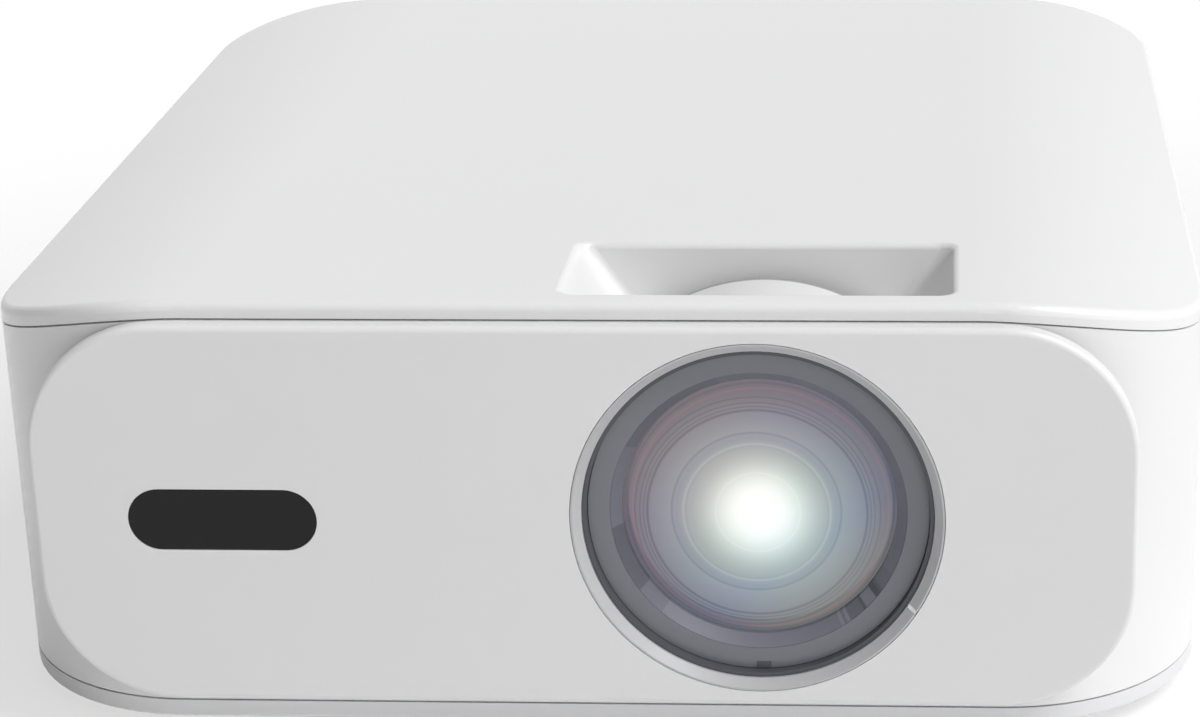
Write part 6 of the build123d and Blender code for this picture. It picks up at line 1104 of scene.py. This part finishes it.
@dataclass
class LightEngine:
    """Optics box with its lamp, heat sink and fan.

    The cable's first corners are X and Z from the fan's corner, and its last ones X from there
    with their own Y and Z.
    """

    lid_screw: Screw = Screw(2.2, 1.2)
    lid_inset: float = 0.006
    emitter: Point = (0.6, 10.5, 10.5)
    emitter_shift: float = 0.0001
    fan_screw: Screw = Screw(2.7, 1.4)
    fan_screw_reach: float = 0.025
    label: tuple[Pair, ...] = ((10.6, -0.02), (10.6, 0.12), (10.3, 0.16))
    cable_radius: float = 0.9
    cable_gap: float = 0.0006
    cable_at_fan: tuple[Pair, ...] = ((-0.001, 0.006), (0.004, 0.004), (0.012, 0.001))
    cable_at_board: tuple[Point, ...] = ((0.012, 0.012, 0.0195), (0.022, 0.022, 0.0195))
    filter_depth: float = 2.2
    filter_margin: float = 3.0

    def build(self) -> None:
        """Dress the engine and the fan, and add their small pieces."""
        dress(BLACK_SATIN, "engine_housing", "engine_lid", "exhaust_fan_frame", "exhaust_impeller")
        dress(MIRROR, "fold_mirror")
        dress(CLEAR_PLASTIC, "front_fresnel", "rear_fresnel")
        dress(COATED_GLASS, "condenser_lens")
        dress(LCD_DARK, "lcd_panel")
        dress(ALUMINIUM, "heatsink", "led_board")
        self.lid_screws()
        self.led_chip()
        self.fan_details()
        self.intake_filter()

    def lid_screws(self) -> None:
        """Put screws round the engine's lid."""
        low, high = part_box("engine_lid")
        xs = (low[0] + self.lid_inset, middle_of(low, high)[0], high[0] - self.lid_inset)
        ys = (low[1] + self.lid_inset, high[1] - self.lid_inset)
        self.lid_screw.drive("lid_screw", [(x, y, high[2]) for x in xs for y in ys], Direction.UP)

    def led_chip(self) -> None:
        """Add the yellow emitter on the lamp's board."""
        low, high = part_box("led_board")
        _, middle_y, middle_z = middle_of(low, high)
        block((high[0] + self.emitter_shift, middle_y, middle_z), self.emitter, bevel=0.1)
        finish_piece("led_emitter", LED_YELLOW, "housing", Shading.FLAT)

    def fan_details(self) -> None:
        """Add the fan's corner screws, hub label and cable."""
        low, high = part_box("exhaust_fan_frame")
        _, middle_y, middle_z = middle_of(low, high)
        reach = (-self.fan_screw_reach, self.fan_screw_reach)
        corners = [(low[0], middle_y + side, middle_z + up) for side in reach for up in reach]
        self.fan_screw.drive("fan_screw", corners, Direction.LEFT)
        hub_low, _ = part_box("exhaust_impeller")
        turned((hub_low[0], middle_y, middle_z), Direction.LEFT, self.label, segments=48)
        finish_piece("fan_hub_label", LABEL_SILVER, "impeller", Shading.SOFT)
        run = [(high[0] + x, high[1] + self.cable_gap, low[2] + z) for x, z in self.cable_at_fan]
        run += [(high[0] + x, y, z) for x, y, z in self.cable_at_board]
        wire("fan_cable", run, self.cable_radius, WIRE_BLACK)

    def intake_filter(self) -> None:
        """Add the dust filter behind the intake grille."""
        low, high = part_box("intake_grille")
        _, middle_y, middle_z = middle_of(low, high)
        width, height = ((high[axis] - low[axis]) / MM - self.filter_margin for axis in (1, 2))
        block((low[0] - self.filter_depth / 2 * MM, middle_y, middle_z), (self.filter_depth, width, height),
              bevel=0.5)
        finish_piece("intake_filter", FOAM_BLACK, "housing", Shading.SOFT)


@dataclass
class DiscDrive:
    """Loader, tray, gear train, traverse and clamp.

    The traverse is tilted down by tilt degrees at rest. Places on its deck are the distance from
    the hinge along it, and the height above it, in metres.
    """

    plate: tuple[Pair, ...] = ((9.0, -0.1), (9.0, 0.5), (8.6, 0.8), (2.6, 0.8), (2.2, 0.3))
    bridge_screw: Screw = Screw(2.0, 1.1)
    bridge_screw_along: Pair = (0.006, 0.042)
    bridge_screw_inset: float = 0.0022
    hinge: Point = (0.026, 0.0403, 0.054)
    tilt: float = 4.0
    turntable_top: Pair = (-0.088, 0.0174)
    ring_radii: Pair = (13.6, 0.55)
    hub: tuple[Pair, ...] = ((5.2, 2.6), (5.2, 3.1), (4.6, 3.3), (1.6, 3.3), (1.3, 3.0))
    lens_place: Pair = (-0.065, 0.0152)
    lens: tuple[Pair, ...] = ((2.5, -0.2), (2.5, 0.1), (2.2, 0.45), (1.5, 0.75), (0.6, 0.9))
    lens_ring: tuple[Pair, ...] = ((3.9, -0.1), (3.9, 0.3), (2.7, 0.3), (2.7, -0.1))

    def build(self) -> None:
        """Dress the drive and add its small pieces."""
        dress(DRIVE_GREY, "loader_chassis", "traverse_frame")
        dress(BLACK_SATIN, "disc_tray", "turntable", "clamp_puck")
        dress(DARK_GREY, "pickup_sled")
        dress(ACETAL, "drive_gear", "pulley_gear", "feed_gear")
        dress(BRASS, "motor_pulley")
        dress(STEEL, "loading_motor", "spindle_motor", "feed_motor", "clamp_bridge")
        dress(CHROME, "guide_rods")
        dress(BELT_RUBBER, "drive_belt")
        self.clamp_details()
        self.turntable_details()
        self.pickup_details()

    def clamp_details(self) -> None:
        """Add the clamp's steel plate and the bridge's screws."""
        low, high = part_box("clamp_puck")
        middle_x, middle_y, _ = middle_of(low, high)
        turned((middle_x, middle_y, high[2]), Direction.UP, self.plate, segments=48)
        finish_piece("puck_plate", STEEL, "clamp_puck", Shading.SOFT)
        low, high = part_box("clamp_bridge")
        ys = (low[1] + self.bridge_screw_inset, high[1] - self.bridge_screw_inset)
        places = [(low[0] + along, y, high[2]) for along in self.bridge_screw_along for y in ys]
        self.bridge_screw.drive("bridge_screw", places, Direction.UP)

    def on_deck(self, place: Pair) -> tuple[Point, Point]:
        """Find a place over the traverse's deck at rest.

        Args:
            place: the place on the deck.

        Returns:
            The place in the frame, and the way square to the deck.
        """
        tilt = math.radians(self.tilt)
        along = Vector((math.cos(tilt), 0, math.sin(tilt)))
        up = Vector((-math.sin(tilt), 0, math.cos(tilt)))
        return tuple(Vector(self.hinge) + along * place[0] + up * place[1]), tuple(up)

    def turntable_details(self) -> None:
        """Add the turntable's rubber ring and the cap of its centring hub."""
        top, up = self.on_deck(self.turntable_top)
        torus(top, up, *self.ring_radii)
        finish_piece("platter_ring", FOOT_RUBBER, "turntable", Shading.ROUND)
        turned(top, up, self.hub, segments=40)
        finish_piece("hub_cap", STEEL, "turntable", Shading.SOFT)

    def pickup_details(self) -> None:
        """Add the pickup's lens and the brass ring round it."""
        place, up = self.on_deck(self.lens_place)
        turned(place, up, self.lens, segments=32)
        finish_piece("pickup_lens", PICKUP_BLUE, "sled", Shading.ROUND)
        turned(place, up, self.lens_ring, segments=40, turning=Turning.RING)
        finish_piece("pickup_ring", BRASS, "sled", Shading.SOFT)


@dataclass(frozen=True)
class Can:
    """Capacitor's can, with a sleeve that is shrunk over its rim and a top with a sunk middle.

    The sleeve starts at foot, stands off by gap and reaches in by lip. The heights from bend to
    sunk are measured from the can's own top.
    """

    radius: float
    height: float
    foot: float = 0.5
    gap: float = 0.02
    wall: float = 0.22
    corner: float = 0.3
    lip: float = 0.9
    bend: float = 0.1
    over: float = 0.22
    lip_height: float = 0.02
    crown: float = 0.12
    sunk: float = 0.03
    sunk_shares: Pair = (0.4, 0.3)
    segments: int = 36

    def sleeve_section(self) -> list[Pair]:
        """Draw the sleeve, up its outside, over the rim and down its inside.

        Returns:
            Its radius and height pairs.
        """
        outer, inner, lip = self.radius + self.wall, self.radius + self.gap, self.radius - self.lip
        return [(outer, self.foot), (outer, self.height + self.bend),
                (outer - self.corner, self.height + self.over), (lip, self.height + self.over),
                (lip, self.height + self.lip_height), (inner, self.height - self.bend), (inner, self.foot)]

    def top_profile(self) -> list[Pair]:
        """Draw the top, from under the sleeve's lip to its sunk middle.

        Returns:
            Its radius and height pairs.
        """
        lip, crown = self.radius - self.lip, self.height + self.crown
        edge, floor = (lip * share for share in self.sunk_shares)
        return [(lip, self.height - self.bend), (lip, crown), (edge, crown),
                (floor, self.height + self.sunk)]


@dataclass
class Electronics:
    """Boards, sockets, speakers and wiring.

    Chips are X, Y, width and depth. Places on the power board are from its middle, and the middle of
    the row of capacitors on the main board is from that board's right front corner.
    """

    board_top: float = 0.018
    chips: tuple[tuple[float, float, float, float], ...] = (
        (-0.045, 0.030, 14, 14), (-0.075, 0.090, 9, 7), (-0.010, 0.108, 10, 8))
    chip_height: float = 1.2
    board_connector: Pair = (0.012, 0.095)
    board_connector_size: Point = (7, 18, 6)
    fan_connector: Pair = (-0.070, 0.024)
    fan_connector_size: Point = (18, 6, 6)
    winding: Point = (17, 24.7, 17)
    winding_middle: float = 0.011
    choke: Point = (0.006, -0.049, 0.0045)
    choke_radii: Pair = (6.0, 3.0)
    bulk_can: Can = Can(9.0, 24.0)
    bulk_place: Pair = (0.0, 0.032)
    output_can: Can = Can(5.0, 16.0)
    output_places: tuple[Pair, ...] = ((-0.007, -0.034), (0.007, -0.034))
    board_can: Can = Can(3.2, 9.0)
    board_can_corner: Pair = (-0.016, 0.030)
    board_can_pitch: float = 0.012
    mains_run: tuple[Point, ...] = (
        (0.064, 0.1187, 0.024), (0.064, 0.110, 0.0215), (0.088, 0.102, 0.0205), (0.088, 0.0940, 0.0195))
    mains_apart: float = 0.012
    mains_radius: float = 1.1
    lamp_run: tuple[Point, ...] = (
        (-0.0628, -0.0425, 0.040), (-0.0628, -0.0300, 0.040), (-0.0628, -0.0245, 0.034),
        (-0.0610, -0.0245, 0.0085), (0.0830, -0.0245, 0.0085), (0.0870, -0.0200, 0.0160),
        (0.0870, -0.0120, 0.0193))
    lamp_stacked: int = 2
    lamp_apart: float = 0.0022
    lamp_radius: float = 0.7
    speaker_x: float = 0.044
    speaker_z: float = 0.056
    surround: tuple[Pair, ...] = ((15.6, -0.9), (14.6, -0.25), (13.4, -0.7), (13.4, -1.4), (15.6, -1.4))
    cone: tuple[Pair, ...] = (
        (13.6, -1.3), (13.6, -1.0), (6.0, -5.0), (5.6, -4.6), (4.2, -3.3), (2.0, -2.7), (0.4, -2.6))
    speaker_segments: int = 56

    def build(self) -> None:
        """Dress the boards and sockets and add their components."""
        dress(BOARD_GREEN, "main_board", "power_board")
        dress(RECEIVER_GREEN, "ir_board")
        dress(STEEL, "hdmi_sockets", "usb_sockets")
        dress(BLACK_SATIN, "audio_jacks", "power_inlet", "key_switches", "speakers")
        self.main_board_parts()
        self.power_board_parts()
        self.board_capacitors()
        self.speaker_cones()
        self.leads()

    def main_board_parts(self) -> None:
        """Add chips and connectors on the main board."""
        for number, (x, y, width, depth) in enumerate(self.chips, start=1):
            size = (width, depth, self.chip_height)
            block((x, y, self.board_top + self.chip_height / 2 * MM), size, bevel=0.15)
            finish_piece(f"chip_{number}", CHIP_BLACK, "housing", Shading.FLAT)
        for name, place, size in (("board_connector", self.board_connector, self.board_connector_size),
                                  ("fan_connector", self.fan_connector, self.fan_connector_size)):
            block((*place, self.board_top + size[2] / 2 * MM), size, bevel=0.4)
            finish_piece(name, CONNECTOR_IVORY, "housing", Shading.FLAT)

    def power_board_parts(self) -> None:
        """Add the transformer's winding, a choke and the capacitors' coverings on the power board."""
        x, y, _ = middle_of(*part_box("power_board"))
        block((x, y, self.board_top + self.winding_middle), self.winding, bevel=0.8)
        finish_piece("transformer_tape", TAPE_YELLOW, "housing", Shading.SOFT)
        side, forward, up = self.choke
        torus((x + side, y + forward, self.board_top + up), Direction.UP, *self.choke_radii)
        finish_piece("choke_coil", FERRITE, "housing", Shading.ROUND)
        bulk = [(x + self.bulk_place[0], y + self.bulk_place[1])]
        self.capacitors("bulk_capacitor", bulk, self.bulk_can, SLEEVE_BLUE)
        outputs = [(x + side, y + forward) for side, forward in self.output_places]
        self.capacitors("output_capacitor", outputs, self.output_can, CHIP_BLACK)

    def board_capacitors(self) -> None:
        """Cover the row of capacitors on the main board."""
        low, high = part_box("main_board")
        side, forward = self.board_can_corner
        row = [(high[0] + side, low[1] + forward + step * self.board_can_pitch) for step in (-1, 0, 1)]
        self.capacitors("board_capacitor", row, self.board_can, CHIP_BLACK)

    def capacitors(self, name: str, places: Sequence[Pair], can: Can, sleeve: Finish) -> None:
        """Put a shrunk sleeve and a bright top on capacitors of one size.

        Args:
            name: first part of the pieces' names.
            places: their middles.
            can: their size.
            sleeve: finish of the sleeve.
        """
        spots = [(x, y, self.board_top) for x, y in places]
        turned(spots[0], Direction.UP, can.sleeve_section(), can.segments, Turning.RING)
        cover = finish_piece(f"{name}_sleeve", sleeve, "housing", Shading.SOFT)
        copies(cover, "housing", spots)
        turned(spots[0], Direction.UP, can.top_profile(), can.segments)
        top = finish_piece(f"{name}_top", ALUMINIUM, "housing", Shading.SOFT)
        copies(top, "housing", spots)

    def leads(self) -> None:
        """Run the mains leads to the power board and the lamp's leads from it along the floor."""
        for name, finish, apart in (("mains_lead_black", WIRE_BLACK, 0.0),
                                    ("mains_lead_red", WIRE_RED, self.mains_apart)):
            wire(name, [(x + apart, y, z) for x, y, z in self.mains_run], self.mains_radius, finish)
        for name, finish, apart in (("lamp_lead_black", WIRE_BLACK, 0.0),
                                    ("lamp_lead_red", WIRE_RED, self.lamp_apart)):
            run = [(x, y, z + apart) for x, y, z in self.lamp_run[:self.lamp_stacked]]
            run += [(x, y + apart, z) for x, y, z in self.lamp_run[self.lamp_stacked:]]
            wire(name, run, self.lamp_radius, finish)

    def speaker_cones(self) -> None:
        """Add the paper cones and their rubber surrounds."""
        _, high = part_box("speakers")
        places = [(side, high[1], self.speaker_z) for side in (-self.speaker_x, self.speaker_x)]
        turned(places[0], Direction.BACK, self.surround, self.speaker_segments, Turning.RING)
        ring = finish_piece("cone_surround", FOOT_RUBBER, "housing", Shading.ROUND)
        copies(ring, "housing", places)
        turned(places[0], Direction.BACK, self.cone, self.speaker_segments)
        cone = finish_piece("speaker_cone", CONE_PAPER, "housing", Shading.ROUND)
        copies(cone, "housing", places)


# ---------------------------------------------------------------- studio
def seen_rays(tree: bpy.types.NodeTree) -> bpy.types.NodeSocket:
    """Tell the rays that show a picture from those that bring light.

    Args:
        tree: node tree of a material or a world.

    Returns:
        The socket that is 1 for camera, glossy and transmission rays.
    """
    path = tree.nodes.new("ShaderNodeLightPath")
    seen = path.outputs["Is Camera Ray"]
    for kind in ("Is Glossy Ray", "Is Transmission Ray"):
        either = tree.nodes.new("ShaderNodeMath")
        either.operation = "MAXIMUM"
        tree.links.new(seen, either.inputs[0])
        tree.links.new(path.outputs[kind], either.inputs[1])
        seen = either.outputs[0]
    return seen


@dataclass
class Studio:
    """Floor, world, lamps and the camera at the photograph's viewpoint.

    Angles of the camera are in radians, focal_px and centre_px are in the photograph's pixels, and
    the floor's reaches are in metres from its middle.
    """

    camera_place: Point = (0.076518, -0.690918, 0.288518)
    pitch: float = 0.3486
    yaw: float = 0.0546
    roll: float = 0.0145
    focal_px: float = 2927.4
    centre_px: float = 803.0
    sensor: float = 36.0
    fill_left: float = 0.08
    fill_right: float = 0.25
    fill_reach: float = 0.8
    key: float = 2.75
    key_softness: float = 36.0
    key_from: Point = (0.56, -0.12, 0.76)
    key_place: Point = (1.0, -0.2, 1.2)
    side: float = 0.62
    side_size: float = 0.35
    side_place: Point = (0.20, -0.62, 0.26)
    floor_size: float = 12.0
    floor_white: float = 0.93
    floor_shown: float = 0.24
    floor_gone: float = 0.42
    floor_veil: float = 0.62

    def build(self) -> None:
        """Build the whole studio."""
        self.floor()
        self.world()
        self.lamps()
        self.camera()

    def floor(self) -> None:
        """Add the pale floor, which keeps the object's shadow and thins out to white for the camera."""
        deselect()
        bpy.ops.mesh.primitive_plane_add(size=self.floor_size, location=(0, 0, 0))
        plane = bpy.context.object
        plane.name = plane.data.name = "studio_floor"
        graph = Graph("floor_paper")
        graph.set(Base_Color=(self.floor_white, self.floor_white, self.floor_white, 1.0), Roughness=0.9,
                  Specular_IOR_Level=0.1)
        far = graph.mapped(graph.vector("LENGTH", graph.place, "Object"), "Value",
                           (self.floor_shown, self.floor_gone), (self.floor_veil, 1.0), "SMOOTHSTEP")
        thin = graph.scalar("MULTIPLY", far)
        graph.tree.links.new(seen_rays(graph.tree), thin.inputs[1])
        clear = graph.node("ShaderNodeBsdfTransparent")
        mix = graph.node("ShaderNodeMixShader")
        graph.join(thin, 0, mix, 0)
        graph.join(graph.shader, 0, mix, 1)
        graph.join(clear, 0, mix, 2)
        graph.join(mix, 0, graph.output, "Surface")
        plane.data.materials.append(graph.material)

    def world(self) -> None:
        """Light the scene softly, less from the left, and show white to the camera, metal and glass."""
        world = bpy.data.worlds.new("studio_world")
        bpy.context.scene.world = world
        world.use_nodes = True
        tree = world.node_tree
        tree.nodes.clear()
        output = tree.nodes.new("ShaderNodeOutputWorld")
        fill = tree.nodes.new("ShaderNodeBackground")
        white = tree.nodes.new("ShaderNodeBackground")
        for background in (fill, white):
            background.inputs["Color"].default_value = (1.0, 1.0, 1.0, 1.0)
            background.inputs["Strength"].default_value = 1.0
        way = tree.nodes.new("ShaderNodeTexCoord")
        sides = tree.nodes.new("ShaderNodeSeparateXYZ")
        tree.links.new(way.outputs["Generated"], sides.inputs[0])
        across = tree.nodes.new("ShaderNodeMapRange")
        for socket, value in (("From Min", -self.fill_reach), ("From Max", self.fill_reach),
                              ("To Min", self.fill_left), ("To Max", self.fill_right)):
            across.inputs[socket].default_value = value
        tree.links.new(sides.outputs["X"], across.inputs["Value"])
        tree.links.new(across.outputs[0], fill.inputs["Strength"])
        mix = tree.nodes.new("ShaderNodeMixShader")
        tree.links.new(seen_rays(tree), mix.inputs[0])
        tree.links.new(fill.outputs[0], mix.inputs[1])
        tree.links.new(white.outputs[0], mix.inputs[2])
        tree.links.new(mix.outputs[0], output.inputs[0])

    def lamps(self) -> None:
        """Add a soft, distant lamp high on the right and a small one in front on that side."""
        deselect()
        bpy.ops.object.light_add(type="SUN", location=self.key_place)
        lamp = bpy.context.object
        lamp.name = lamp.data.name = "key_lamp"
        lamp.data.energy = self.key
        lamp.data.angle = math.radians(self.key_softness)
        lamp.rotation_euler = Vector(self.key_from).to_track_quat("Z", "Y").to_euler()
        deselect()
        bpy.ops.object.light_add(type="AREA", location=self.side_place)
        panel = bpy.context.object
        panel.name = panel.data.name = "side_lamp"
        panel.data.energy = self.side
        panel.data.size = self.side_size
        panel.visible_glossy = False
        towards_lens = Vector(self.side_place) - Vector(LENS_AXIS)
        panel.rotation_euler = towards_lens.to_track_quat("Z", "Y").to_euler()

    def camera(self) -> None:
        """Set the camera at the photograph's viewpoint, with the lens shifted for its crop."""
        forward = Vector((0, math.cos(self.pitch), -math.sin(self.pitch)))
        right = Vector((1, 0, 0))
        down = Vector((0, -math.sin(self.pitch), -math.cos(self.pitch)))
        turn = Matrix.Rotation(self.yaw, 3, "Z")
        forward, right, down = turn @ forward, turn @ right, turn @ down
        rolled_right = math.cos(self.roll) * right + math.sin(self.roll) * down
        rolled_down = math.cos(self.roll) * down - math.sin(self.roll) * right
        data = bpy.data.cameras.new("studio_camera")
        data.sensor_width = self.sensor
        data.lens = self.focal_px * data.sensor_width / IMAGE_WIDTH
        data.shift_x = (IMAGE_WIDTH / 2 - self.centre_px) / IMAGE_WIDTH
        camera = bpy.data.objects.new("studio_camera", data)
        facing = Matrix((rolled_right, -rolled_down, -forward)).transposed()
        camera.matrix_world = Matrix.Translation(self.camera_place) @ facing.to_4x4()
        bpy.context.scene.collection.objects.link(camera)
        bpy.context.scene.camera = camera


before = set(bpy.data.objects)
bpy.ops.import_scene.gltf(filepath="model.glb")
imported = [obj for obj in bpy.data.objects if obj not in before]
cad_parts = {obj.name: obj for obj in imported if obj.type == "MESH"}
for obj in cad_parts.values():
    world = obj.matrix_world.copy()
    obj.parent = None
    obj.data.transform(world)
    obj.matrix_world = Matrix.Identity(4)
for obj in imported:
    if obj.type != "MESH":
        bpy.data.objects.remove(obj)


def main() -> None:
    """Build and dress every sub-assembly, then the studio."""
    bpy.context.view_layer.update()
    for assembly in (Shell(), LensGroup(), LightEngine(), DiscDrive(), Electronics(), Studio()):
        assembly.build()
        log.info("built %s", type(assembly).__name__)
    bpy.context.scene.view_settings.view_transform = "Standard"


if __name__ == "__main__":
    main()
